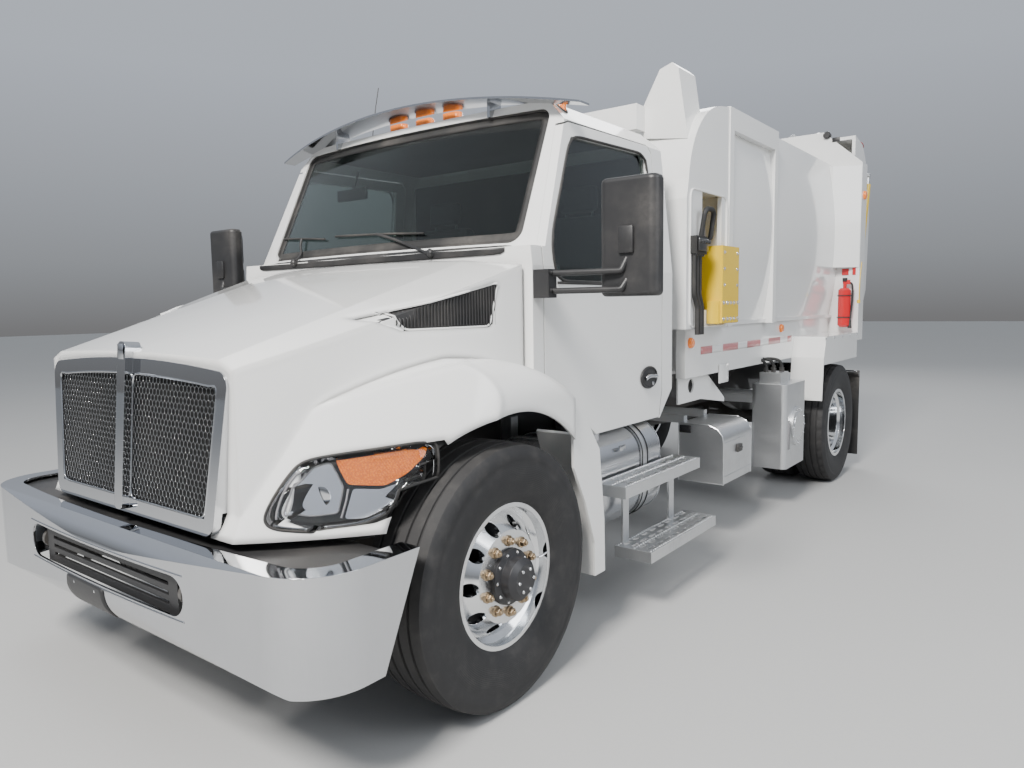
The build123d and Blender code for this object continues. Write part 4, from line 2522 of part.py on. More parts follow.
# Rear lamps in the rear bar
with BuildPart() as rear_lamps:
    for lamp_x in (-730, -560, 560, 730):
        with BuildSketch(cross(rear_bar_station + 30)):
            with Locations((lamp_x, (rear_bar_bottom + rear_bar_top) / 2)):
                Circle(52)
        extrude(amount=-14)
rear_lamps.part.label = "rear_lamps"
export_step(rear_lamps.part, "parts/rear_lamps.step")

# Fire extinguisher on the front face of the ring
with BuildPart() as fire_extinguisher:
    with BuildSketch(level(1350)):
        with Locations((1112, ring_station - 64)):
            Circle(56)
    extrude(amount=360)
    chamfer(fire_extinguisher.faces().filter_by(Axis.Z).edges(), 18)
    with BuildSketch(level(1700)):
        with Locations((1112, ring_station - 64)):
            Circle(16)
    extrude(amount=70)
    add(box(1096, 1160, ring_station - 74, ring_station - 54, 1745, 1785))
    add(box(1082, 1142, ring_station - 30, ring_station, 1420, 1660))
fire_extinguisher.part.label = "fire_extinguisher"
export_step(fire_extinguisher.part, "parts/fire_extinguisher.step")

# Valve block and hoses on the front housing's left side
hose_x = panel_half_width + 22
with BuildPart() as hoses:
    add(box(panel_half_width, panel_half_width + 46, 2990, 3140, 1880, 1985))
    add(box(panel_half_width, panel_half_width + 30, 3092, 3140, 1405, 1450))
    for start, drop, radius in ((3010, 3060, 13), (3050, 3098, 13), (3090, 3132, 13)):
        add(
            pipe(
                (
                    (hose_x, start, 1890),
                    (hose_x, start, 1640),
                    (hose_x, drop, 1560),
                    (hose_x, drop, 1400),
                ),
                60,
                radius,
            )
        )
    add(
        pipe(
            (
                (hose_x, 3100, 1970),
                (hose_x + 30, 3100, 2150),
                (hose_x + 30, 3230, 2150),
                (hose_x + 4, 3240, 1990),
                (panel_half_width - 40, 3240, 1900),
            ),
            40,
            15,
        )
    )
hoses.part.label = "hoses"
export_step(hoses.part, "parts/hoses.step")
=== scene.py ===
"""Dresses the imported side-loading garbage truck: finishes, trim, lamps, tyres, hoses and studio."""

import logging
import math
from dataclasses import dataclass
from enum import Enum
from typing import Callable, Iterable, Iterator, Sequence

import bmesh
import bpy
from mathutils import Matrix, Vector
from mathutils.bvhtree import BVHTree


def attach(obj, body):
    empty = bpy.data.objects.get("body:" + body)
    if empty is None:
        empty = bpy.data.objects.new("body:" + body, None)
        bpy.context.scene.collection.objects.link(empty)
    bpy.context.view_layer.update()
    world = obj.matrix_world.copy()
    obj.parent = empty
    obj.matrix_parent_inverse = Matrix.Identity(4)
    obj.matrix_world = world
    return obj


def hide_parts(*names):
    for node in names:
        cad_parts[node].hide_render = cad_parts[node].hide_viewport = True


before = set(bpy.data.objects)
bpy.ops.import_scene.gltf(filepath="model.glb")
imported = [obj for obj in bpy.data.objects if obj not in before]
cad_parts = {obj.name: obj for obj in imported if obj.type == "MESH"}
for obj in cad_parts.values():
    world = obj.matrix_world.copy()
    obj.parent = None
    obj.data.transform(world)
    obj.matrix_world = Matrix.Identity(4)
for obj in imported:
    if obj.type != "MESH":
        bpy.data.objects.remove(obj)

log = logging.getLogger("truck")
NOSE = -3.575
Colour = tuple[float, float, float]
Flat = tuple[float, float]
Place = tuple[float, float, float]
OUT, UP, AHEAD, BACK = Vector((1, 0, 0)), Vector((0, 0, 1)), Vector((0, -1, 0)), Vector((0, 1, 0))
HANDS = (1, -1)


def at(x: float, station: float, height: float) -> Vector:
    """A point in metres from x, the distance behind the bumper and the height, in millimetres."""
    return Vector((x / 1000, station / 1000 + NOSE, height / 1000))


def path(*points: Place) -> list[Vector]:
    """Points in metres from places in millimetres."""
    return [at(*p) for p in points]


def circle(count: int, start: float = 0.0) -> list[Flat]:
    """Cosine and sine at even steps of a turn; start is a share of one step."""
    turns = [2 * math.pi * (i + start) / count for i in range(count)]
    return [(math.cos(t), math.sin(t)) for t in turns]


def _operator(operation: str, flipped: bool = False) -> Callable[["Wire", object], "Wire"]:
    """An operator that adds one Math node; flipped puts the other value first.

    Args:
        operation: the Math node's operation.
        flipped: put the other value first.

    Returns:
        The operator.
    """

    def act(wire: "Wire", other: object) -> "Wire":
        """Add the node."""
        values = {0: other, 1: wire} if flipped else {0: wire, 1: other}
        return wire.graph.node("ShaderNodeMath", {"operation": operation}, values)

    return act


class Wire:
    """A shader socket; expressions on it add Math nodes."""

    __add__, __radd__ = _operator("ADD"), _operator("ADD", True)
    __sub__, __rsub__ = _operator("SUBTRACT"), _operator("SUBTRACT", True)
    __mul__, __rmul__ = _operator("MULTIPLY"), _operator("MULTIPLY", True)
    __pow__, __rpow__ = _operator("POWER"), _operator("POWER", True)
    __mod__, __rmod__ = _operator("FLOORED_MODULO"), _operator("FLOORED_MODULO", True)
    __lt__, __gt__ = _operator("LESS_THAN"), _operator("GREATER_THAN")

    def __init__(self, graph: "Graph", socket: bpy.types.NodeSocket) -> None:
        """Keep the socket and the graph it belongs to."""
        self.graph = graph
        self.socket = socket

    def band(self, low: float, high: float) -> "Wire":
        """Nought below low, one above high and a smooth step between."""
        settings = {"interpolation_type": "SMOOTHSTEP"}
        return self.graph.node("ShaderNodeMapRange", settings, {0: self, 1: low, 2: high})


class Graph:
    """Node tree of one material with its Principled shader."""

    def __init__(self, name: str) -> None:
        """Make the material and its output.

        Args:
            name: the material's name.
        """
        self.material = bpy.data.materials.new(name)
        self.material.use_nodes = True
        self.tree = self.material.node_tree
        self.tree.nodes.clear()
        self.shader = self.tree.nodes.new("ShaderNodeBsdfPrincipled")
        output = self.tree.nodes.new("ShaderNodeOutputMaterial")
        self.tree.links.new(self.shader.outputs[0], output.inputs[0])

    def node(self, kind: str, settings: dict, sockets: dict, out: int | str = 0) -> Wire:
        """Add a node.

        Args:
            kind: the node's type name.
            settings: its properties, and "stops" for a colour ramp.
            sockets: values or wires for its inputs by name or index.
            out: which output is wanted.

        Returns:
            The output as a wire.
        """
        made = self.tree.nodes.new(kind)
        for key, value in settings.items():
            if key == "stops":
                self._stops(made.color_ramp, value)
            else:
                setattr(made, key, value)
        for key, value in sockets.items():
            self.feed(made.inputs[key], value)
        return Wire(self, made.outputs[out])

    @staticmethod
    def _stops(ramp: bpy.types.ColorRamp, stops: Sequence[tuple[float, Colour]]) -> None:
        """Set a ramp's stops.

        Args:
            ramp: the colour ramp.
            stops: place and colour of each stop.
        """
        while len(ramp.elements) < len(stops):
            ramp.elements.new(0.5)
        for element, (place, colour) in zip(ramp.elements, stops):
            element.position = place
            element.color = (*colour, 1)

    def feed(self, socket: bpy.types.NodeSocket, value: object) -> None:
        """Link a wire to a socket, or set the socket's own value.

        Args:
            socket: an input of a node.
            value: a wire, number, colour or vector.
        """
        if isinstance(value, Wire):
            self.tree.links.new(value.socket, socket)
        elif isinstance(value, tuple) and len(value) == 3 and socket.type == "RGBA":
            socket.default_value = (*value, 1)
        else:
            socket.default_value = value

    def place(self) -> Wire:
        """The point on the piece, in metres in the truck's frame at rest."""
        return self.node("ShaderNodeTexCoord", {}, {}, "Object")

    def parts(self, vector: Wire) -> tuple[Wire, Wire, Wire]:
        """The three parts of a vector.

        Args:
            vector: the wire to split.

        Returns:
            Its x, y and z.
        """
        split = self.node("ShaderNodeSeparateXYZ", {}, {0: vector})
        outputs = split.socket.node.outputs
        return Wire(self, outputs[0]), Wire(self, outputs[1]), Wire(self, outputs[2])

    @staticmethod
    def reach(y: Wire, z: Wire, station: float, height: float) -> Wire:
        """Distance in metres from an axle given in millimetres.

        Args:
            y: the point's y.
            z: the point's z.
            station: the axle's distance behind the bumper.
            height: the axle's height.

        Returns:
            The distance as a wire.
        """
        run = y - (station / 1000 + NOSE)
        rise = z - height / 1000
        return (run * run + rise * rise) ** 0.5

    def stretch(self, vector: Wire, scale: Colour) -> Wire:
        """The vector times a scale for each axis."""
        return self.node("ShaderNodeVectorMath", {"operation": "MULTIPLY"}, {0: vector, 1: scale})

    def noise(self, vector: Wire, scale: float, detail: float = 3.0, rough: float = 0.5) -> Wire:
        """Fractal noise from nought to one."""
        sockets = {"Vector": vector, "Scale": scale, "Detail": detail, "Roughness": rough}
        return self.node("ShaderNodeTexNoise", {}, sockets)

    def sine(self, value: Wire) -> Wire:
        """Sine of a value in radians."""
        return self.node("ShaderNodeMath", {"operation": "SINE"}, {0: value})

    def spots(self, vector: Wire, scale: float) -> Wire:
        """Distance to the nearest point of a scattered set."""
        return self.node("ShaderNodeTexVoronoi", {}, {"Vector": vector, "Scale": scale})

    def mix(self, share: object, first: object, second: object) -> Wire:
        """Colour mix by a share."""
        return self.node("ShaderNodeMix", {"data_type": "RGBA"}, {0: share, 6: first, 7: second}, 2)

    def bump(self, height: Wire, strength: float, depth: float, base: Wire | None = None) -> Wire:
        """Normal from a height.

        Args:
            height: the relief.
            strength: its share.
            depth: its depth in metres.
            base: the normal it starts from.

        Returns:
            The normal as a wire.
        """
        sockets = {"Height": height, "Strength": strength, "Distance": depth}
        if base is not None:
            sockets["Normal"] = base
        return self.node("ShaderNodeBump", {}, sockets)

    def soften(self, radius: float) -> Wire:
        """Normal that rounds sharp edges over a radius in metres."""
        return self.node("ShaderNodeBevel", {"samples": 4}, {"Radius": radius})

    def shade(self, **sockets: object) -> bpy.types.Material:
        """Feed the Principled shader and hand back the material.

        Args:
            **sockets: values by socket name, with _ for each space.

        Returns:
            The finished material.
        """
        for key, value in sockets.items():
            self.feed(self.shader.inputs[key.replace("_", " ")], value)
        return self.material


class Finish:
    """A named look that builds its own material."""

    name: str

    def make(self) -> bpy.types.Material:
        """Build the material."""
        g = Graph(self.name)
        return self.paint(g, g.place())

    def paint(self, g: Graph, spot: Wire) -> bpy.types.Material:
        """Feed the shader.

        Args:
            g: the material's graph.
            spot: the point on the piece.

        Returns:
            The finished material.
        """
        raise NotImplementedError


class Grain(Enum):
    """How a bare metal is worked."""

    MIRROR = "mirror"
    BRUSHED = "brushed"
    CAST = "cast"


@dataclass(frozen=True)
class Paint(Finish):
    """Glossy sprayed paint with road film low down and in broad patches."""

    name: str
    colour: Colour
    gloss: float = 0.16
    film: float = 0.5
    soft_edge: float = 0.004
    chips: float = 0.0

    def paint(self, g: Graph, spot: Wire) -> bpy.types.Material:
        """Feed the shader.

        Args:
            g: the material's graph.
            spot: the point on the piece.

        Returns:
            The finished material.
        """
        _, _, height = g.parts(spot)
        broad = g.noise(spot, 1.7, 4.0, 0.6)
        fine = g.noise(spot, 26.0, 3.0, 0.6)
        low = 1 - height.band(0.3, 1.25)
        film = (low * 0.7 + broad.band(0.55, 0.8) * 0.25) * (0.45 + fine * 0.55) * self.film
        dust = tuple(0.55 * c + 0.45 * d for c, d in zip(self.colour, (0.42, 0.38, 0.33)))
        shade = g.mix(broad * 0.12, self.colour, tuple(c * 0.9 for c in self.colour))
        base = g.mix(film, shade, dust)
        rough = self.gloss + film * 0.45 + fine * 0.03
        if self.chips:
            chip = g.noise(g.stretch(spot, (1.0, 1.0, 0.6)), 38.0, 5.0, 0.7).band(0.68, 0.7) * self.chips
            base = g.mix(chip, base, (0.16, 0.09, 0.05))
            rough = rough + chip * 0.5
        peel = g.bump(g.noise(spot, 240.0, 2.0), 0.05, 0.0006, g.soften(self.soft_edge))
        coat = 0.75 - film * 0.75
        return g.shade(
            Base_Color=base, Roughness=rough, Coat_Weight=coat, Coat_Roughness=0.04, Normal=peel, Metallic=0.0
        )


@dataclass(frozen=True)
class Metal(Finish):
    """Bare or plated metal, smudged and worked by its grain."""

    name: str
    colour: Colour
    rough: float
    grain: Grain = Grain.MIRROR
    dull: float = 0.12
    run: Colour = (1.0, 30.0, 1.0)

    def paint(self, g: Graph, spot: Wire) -> bpy.types.Material:
        """Feed the shader.

        Args:
            g: the material's graph.
            spot: the point on the piece.

        Returns:
            The finished material.
        """
        broad = g.noise(spot, 4.0, 5.0, 0.65)
        smear = g.noise(g.stretch(spot, self.run), 7.0, 4.0, 0.6)
        _, _, height = g.parts(spot)
        low = (1 - height.band(0.25, 0.9)) * 0.5
        stain = (broad.band(0.45, 0.75) * 0.6 + low) * smear
        base = g.mix(stain * self.dull * 3.0, self.colour, tuple(c * 0.62 for c in self.colour))
        rough = self.rough + stain * self.dull
        edge = g.soften(0.002)
        if self.grain is Grain.MIRROR:
            normal = g.bump(g.noise(spot, 9.0, 1.0), 0.04, 0.004, edge)
        elif self.grain is Grain.BRUSHED:
            lines = g.noise(g.stretch(spot, tuple(c * 12 for c in self.run)), 22.0, 3.0, 0.7)
            normal = g.bump(lines, 0.22, 0.0006, edge)
            rough = rough + lines * 0.12
        else:
            normal = g.bump(g.noise(spot, 160.0, 4.0, 0.7), 0.35, 0.001, edge)
        return g.shade(Base_Color=base, Roughness=rough, Metallic=1.0, Normal=normal)


@dataclass(frozen=True)
class Plastic(Finish):
    """Moulded plastic, rubber or dull black paint with a pebbled grain and grey dust."""

    name: str
    colour: Colour
    rough: float = 0.45
    pebble: float = 420.0
    depth: float = 0.25
    dust: float = 0.2

    def paint(self, g: Graph, spot: Wire) -> bpy.types.Material:
        """Feed the shader.

        Args:
            g: the material's graph.
            spot: the point on the piece.

        Returns:
            The finished material.
        """
        broad = g.noise(spot, 3.0, 5.0, 0.6)
        grit = g.noise(spot, 55.0, 4.0, 0.7)
        dust = broad.band(0.4, 0.75) * grit * self.dust
        base = g.mix(dust, self.colour, (0.33, 0.30, 0.27))
        skin = g.bump(g.noise(spot, self.pebble, 2.0), self.depth, 0.0007, g.soften(0.002))
        rough = self.rough + dust * 0.8 + grit * 0.06
        return g.shade(Base_Color=base, Roughness=rough, Normal=skin)


@dataclass(frozen=True)
class Clear(Finish):
    """Clear or tinted glass with a faint film of dust."""

    name: str
    tint: Colour
    rough: float = 0.0

    def paint(self, g: Graph, spot: Wire) -> bpy.types.Material:
        """Feed the shader.

        Args:
            g: the material's graph.
            spot: the point on the piece.

        Returns:
            The finished material.
        """
        haze = g.noise(spot, 5.0, 5.0, 0.7).band(0.5, 0.9)
        rough = self.rough + haze * 0.05
        return g.shade(
            Base_Color=self.tint, Roughness=rough, Transmission_Weight=1.0, IOR=1.45, Metallic=0.0
        )


@dataclass(frozen=True)
class Lens(Finish):
    """Moulded coloured lamp lens with ribbed optics inside."""

    name: str
    colour: Colour
    deep: Colour
    pitch: float = 300.0
    glow: float = 0.0

    def paint(self, g: Graph, spot: Wire) -> bpy.types.Material:
        """Feed the shader.

        Args:
            g: the material's graph.
            spot: the point on the piece.

        Returns:
            The finished material.
        """
        x, y, z = g.parts(spot)
        cells = g.spots(spot, self.pitch / 3)
        ribs = g.sine((x + y) * self.pitch)
        rows = g.sine(z * self.pitch)
        relief = ribs * rows
        base = g.mix(cells.band(0.1, 0.7), self.colour, self.deep)
        normal = g.bump(relief, 0.5, 0.002)
        return g.shade(
            Base_Color=base,
            Roughness=0.12 + cells * 0.08,
            Coat_Weight=1.0,
            Coat_Roughness=0.03,
            Normal=normal,
            Emission_Color=base,
            Emission_Strength=self.glow,
        )


@dataclass(frozen=True)
class Weave(Finish):
    """Woven seat cloth."""

    name: str
    colour: Colour

    def paint(self, g: Graph, spot: Wire) -> bpy.types.Material:
        """Feed the shader.

        Args:
            g: the material's graph.
            spot: the point on the piece.

        Returns:
            The finished material.
        """
        x, y, z = g.parts(spot)
        warp = g.sine(x * 2600.0)
        weft = g.sine((y + z) * 2600.0)
        fuzz = g.noise(spot, 90.0, 4.0, 0.7)
        cloth = warp * weft
        base = g.mix(fuzz * 0.6, self.colour, tuple(c * 1.9 for c in self.colour))
        return g.shade(
            Base_Color=base, Roughness=0.85 + fuzz * 0.1, Normal=g.bump(cloth, 0.4, 0.0008), Sheen_Weight=0.25
        )


@dataclass(frozen=True)
class Tape(Finish):
    """Reflective tape in red and white lengths."""

    name: str
    across: bool = False
    red_run: float = 0.28
    white_run: float = 0.18

    def paint(self, g: Graph, spot: Wire) -> bpy.types.Material:
        """Feed the shader.

        Args:
            g: the material's graph.
            spot: the point on the piece.

        Returns:
            The finished material.
        """
        x, y, _ = g.parts(spot)
        pitch = self.red_run + self.white_run
        red = (((x if self.across else y) - 0.12) % pitch) < self.red_run
        cells = g.spots(spot, 420.0)
        base = g.mix(red, (0.72, 0.73, 0.72), (0.42, 0.025, 0.03))
        base = g.mix(cells * 0.3, base, (0.9, 0.88, 0.86))
        return g.shade(
            Base_Color=base, Roughness=0.25 + cells * 0.2, Normal=g.bump(cells, 0.25, 0.0006), Coat_Weight=0.6
        )


@dataclass(frozen=True)
class Tread(Finish):
    """Tyre rubber: dark tread, duller sidewall with fine rings and road dust."""

    name: str
    station: float
    height: float

    def paint(self, g: Graph, spot: Wire) -> bpy.types.Material:
        """Feed the shader.

        Args:
            g: the material's graph.
            spot: the point on the piece.

        Returns:
            The finished material.
        """
        _, y, z = g.parts(spot)
        reach = g.reach(y, z, self.station, self.height)
        rings = g.sine(reach * 900.0)
        worn = g.noise(spot, 14.0, 5.0, 0.65)
        fine = g.noise(spot, 190.0, 3.0, 0.7)
        tread = reach.band(self.height / 1000 - 0.02, self.height / 1000 - 0.004)
        dust = worn.band(0.42, 0.78) * 0.35 + tread * 0.25
        base = g.mix(dust * (0.4 + fine * 0.6), (0.013, 0.013, 0.014), (0.085, 0.08, 0.075))
        side = rings * (1 - tread) * reach.band(0.33, 0.36) * (1 - reach.band(0.43, 0.46))
        normal = g.bump(side * 0.4 + fine * 0.6, 0.35, 0.0009)
        return g.shade(Base_Color=base, Roughness=0.62 + dust * 0.25 + fine * 0.06, Normal=normal)


@dataclass(frozen=True)
class WheelMetal(Finish):
    """Polished forged aluminium wheel with a black hub at its middle."""

    name: str
    station: float
    height: float
    hub_reach: float = 0.112
    hub_side: float = 1.0
    hub_from: float = 1.152

    def paint(self, g: Graph, spot: Wire) -> bpy.types.Material:
        """Feed the shader.

        Args:
            g: the material's graph.
            spot: the point on the piece.

        Returns:
            The finished material.
        """
        x, y, z = g.parts(spot)
        reach = g.reach(y, z, self.station, self.height)
        turned = g.sine(reach * 2400.0)
        broad = g.noise(spot, 8.0, 5.0, 0.6)
        grime = broad.band(0.5, 0.75) * 0.3 + (1 - reach.band(0.1, 0.17)) * 0.35
        inner = (x * self.hub_side) < (self.hub_from - 0.045)
        hub = (reach < self.hub_reach) * (1 - inner)
        black = (inner * (reach < 0.225)) + hub
        metal = g.mix(grime, (0.80, 0.81, 0.82), (0.42, 0.40, 0.38))
        base = g.mix(black, metal, (0.02, 0.02, 0.022))
        rough = (0.09 + grime * 0.22) * (1 - black) + black * 0.42
        normal = g.bump(turned * (1 - black), 0.06, 0.0005, g.soften(0.003))
        return g.shade(Base_Color=base, Roughness=rough, Metallic=1 - black, Normal=normal)


class Shape:
    """A mesh under construction, in metres in the truck's frame."""

    def __init__(self) -> None:
        """Start empty."""
        self.bm = bmesh.new()

    def grid(
        self, rows: Sequence[Sequence[Vector]], round_rows: bool = False, round_loop: bool = False
    ) -> "Shape":
        """Skin a grid of points with quads.

        Args:
            rows: rows of equal length.
            round_rows: join the last row to the first.
            round_loop: join the ends of each row.

        Returns:
            The shape itself, as every method that adds to it does.
        """
        made = [[self.bm.verts.new(p) for p in row] for row in rows]
        count, length = len(made), len(made[0])
        for i in range(count if round_rows else count - 1):
            for j in range(length if round_loop else length - 1):
                a, b = made[i], made[(i + 1) % count]
                k = (j + 1) % length
                self.bm.faces.new((a[j], a[k], b[k], b[j]))
        return self

    def box(self, low: Vector, high: Vector, edge: float, turn: Matrix | None = None) -> "Shape":
        """Add a block between two corners, its edges rounded, turned about its middle.

        Args:
            low: one corner.
            high: the opposite corner.
            edge: rounding in metres.
            turn: rotation about its middle.

        Returns:
            The shape itself.
        """
        middle = (low + high) / 2
        size = high - low
        made = bmesh.ops.create_cube(self.bm, size=1.0)["verts"]
        bmesh.ops.scale(self.bm, vec=[abs(s) for s in size], verts=made)
        lines = list(dict.fromkeys(e for v in made for e in v.link_edges))
        made = bmesh.ops.bevel(
            self.bm, geom=lines, offset=edge, segments=2, profile=0.5, affect="EDGES", clamp_overlap=True
        )["verts"]
        if turn is not None:
            bmesh.ops.transform(self.bm, matrix=turn.to_4x4(), verts=made)
        bmesh.ops.translate(self.bm, vec=middle, verts=made)
        return self

    def boxes(self, *blocks: tuple[Place, Place, float]) -> "Shape":
        """Add blocks, each by two corners in millimetres and its rounding in metres.

        Args:
            *blocks: two corners and the rounding of each.

        Returns:
            The shape itself.
        """
        for low, high, edge in blocks:
            self.box(at(*low), at(*high), edge)
        return self

    def lathe(self, profile: Sequence[Flat], base: Vector, axis: Vector, steps: int = 24) -> "Shape":
        """Turn a profile of (along, out) points, in metres, about an axis through base.

        Args:
            profile: (along, out) points in metres.
            base: where the axis starts.
            axis: its direction.
            steps: steps of a turn.

        Returns:
            The shape itself.
        """
        along = axis.normalized()
        side = along.orthogonal().normalized()
        other = along.cross(side)
        rows = []
        for c, s in circle(steps):
            out = side * c + other * s
            rows.append([base + along * a + out * r for a, r in profile])
        return self.grid(rows, round_rows=True)

    def prism(self, outline: Sequence[Vector], push: Vector) -> "Shape":
        """Extrude a flat closed outline by a vector.

        Args:
            outline: corners of the first face.
            push: the way to the second face.

        Returns:
            The shape itself.
        """
        first = [self.bm.verts.new(p) for p in outline]
        second = [self.bm.verts.new(p + push) for p in outline]
        self.bm.faces.new(first)
        self.bm.faces.new(list(reversed(second)))
        for i, p in enumerate(first):
            j = (i + 1) % len(first)
            self.bm.faces.new((first[j], p, second[i], second[j]))
        return self

    def tube(self, points: Sequence[Vector], radius: float, sides: int = 10, steps: int = 5) -> "Shape":
        """Sweep a round section along a smooth line through points.

        Args:
            points: points that the line passes.
            radius: radius in metres.
            sides: sides of the section.
            steps: steps between two points.

        Returns:
            The shape itself.
        """
        line = smooth_line(points, steps)
        normal = (line[1] - line[0]).orthogonal().normalized()
        rows = []
        for i, p in enumerate(line):
            ahead = (line[min(i + 1, len(line) - 1)] - line[max(i - 1, 0)]).normalized()
            normal = (normal - ahead * normal.dot(ahead)).normalized()
            other = ahead.cross(normal)
            rows.append([p + (normal * c + other * s) * radius for c, s in circle(sides)])
        first = [self.bm.verts.new(p) for p in rows[0]]
        last = [self.bm.verts.new(p) for p in rows[-1]]
        self.bm.faces.new(list(reversed(first)))
        self.bm.faces.new(last)
        return self.grid(rows, round_loop=True)

    def loop(self, points: Sequence[Vector], radius: float, sides: int = 8) -> "Shape":
        """Sweep a round section along a closed line."""
        return self.tube([*points, points[0]], radius, sides, 1)

    def nut(self, base: Vector, axis: Vector, size: float, height: float, washer: float = 0.0) -> "Shape":
        """Add a six-sided nut or bolt head with a stud end and a washer.

        Args:
            base: middle of its foot.
            axis: the way it points.
            size: distance of its corners from the middle.
            height: its height.
            washer: the washer's radius, nought for none.

        Returns:
            The shape itself.
        """
        if washer:
            self.lathe([(0, 0), (0, washer), (height * 0.22, washer), (height * 0.3, size)], base, axis, 20)
        flat, stud, tip = size - size * 0.18, size * 0.52, height * 1.32
        head = [(0, size), (height - size * 0.18, size), (height, flat), (height, size * 0.55)]
        self.lathe(head, base, axis, 6)
        end = [(height * 0.9, stud), (height * 1.25, stud), (tip, size * 0.4), (tip, 0)]
        return self.lathe(end, base, axis, 12)

    def nut_ring(self, face: float, middle: Flat, ring: Flat, start: float, *nut: float) -> "Shape":
        """Add nuts about an axis along X.

        Args:
            face: where they sit across the truck, in millimetres.
            middle: station and height of the axis.
            ring: radius and number of the nuts.
            start: share of a step by which the first is turned.
            *nut: size, height and washer as in nut().

        Returns:
            The shape itself.
        """
        for c, s in circle(int(ring[1]), start):
            self.nut(at(face, middle[0] + ring[0] * c, middle[1] + ring[0] * s), OUT, *nut)
        return self


def smooth_line(points: Sequence[Vector], steps: int) -> list[Vector]:
    """Points on a smooth line through the given ones.

    Args:
        points: points that it passes.
        steps: steps between two of them.

    Returns:
        The points of the line.
    """
    if len(points) < 3 or steps < 2:
        return list(points)
    line = []
    for i in range(len(points) - 1):
        p0, p3 = points[max(i - 1, 0)], points[min(i + 2, len(points) - 1)]
        p1, p2 = points[i], points[i + 1]
        slope, bend, twist = p2 - p0, 2 * p0 - 5 * p1 + 4 * p2 - p3, 3 * p1 - p0 - 3 * p2 + p3
        for t in (k / steps for k in range(steps)):
            line.append(0.5 * (2 * p1 + slope * t + bend * t * t + twist * t * t * t))
    line.append(points[-1])
    return line


def resample(outline: Sequence[Flat], count: int) -> list[Flat]:
    """Even points round a closed outline, its corners eased.

    Args:
        outline: its corners.
        count: number of points.

    Returns:
        The points, from the first corner on.
    """
    size = len(outline)
    lengths = [math.dist(outline[i], outline[(i + 1) % size]) for i in range(size)]
    total = sum(lengths)
    made = []
    for k in range(count):
        left = total * k / count
        i = 0
        while left > lengths[i]:
            left -= lengths[i]
            i += 1
        (x0, y0), (x1, y1) = outline[i], outline[(i + 1) % size]
        t = left / lengths[i]
        made.append((x0 + (x1 - x0) * t, y0 + (y1 - y0) * t))
    for _ in range(2):
        made = [
            tuple((a + 2 * b + c) / 4 for a, b, c in zip(made[i - 1], made[i], made[(i + 1) % count]))
            for i in range(count)
        ]
    return made


def shrink(outline: Sequence[Flat], distance: float) -> list[Flat]:
    """The outline moved inwards by a distance.

    Args:
        outline: its points in order.
        distance: the distance, negative for outwards.

    Returns:
        The moved points.
    """
    count = len(outline)
    area = sum(a * d - c * b for (a, b), (c, d) in zip(outline, [*outline[1:], outline[0]]))
    hand = 1.0 if area > 0 else -1.0
    made = []
    for i in range(count):
        (x0, y0), (x1, y1) = outline[i - 1], outline[(i + 1) % count]
        run = math.hypot(x1 - x0, y1 - y0) or 1.0
        nx, ny = -(y1 - y0) / run * hand, (x1 - x0) / run * hand
        made.append((outline[i][0] + nx * distance, outline[i][1] + ny * distance))
    return made


class View(Enum):
    """The direction in which a flat outline is laid on the truck."""

    LEFT = (-1.0, 0.0, 0.0)
    FRONT = (0.0, 1.0, 0.0)
    TOP = (0.0, 0.0, -1.0)
    REAR = (0.0, -1.0, 0.0)

    def start(self, point: Flat) -> Vector:
        """Point well outside the truck over a flat point: (station, z), (x, z) or (x, station).

        Args:
            point: the flat point.

        Returns:
            The point in metres.
        """
        a, b = point
        places = {View.LEFT: (2200, a, b), View.FRONT: (a, -600, b), View.REAR: (a, 7800, b), View.TOP: (a, b, 4000)}
        return at(*places[self])


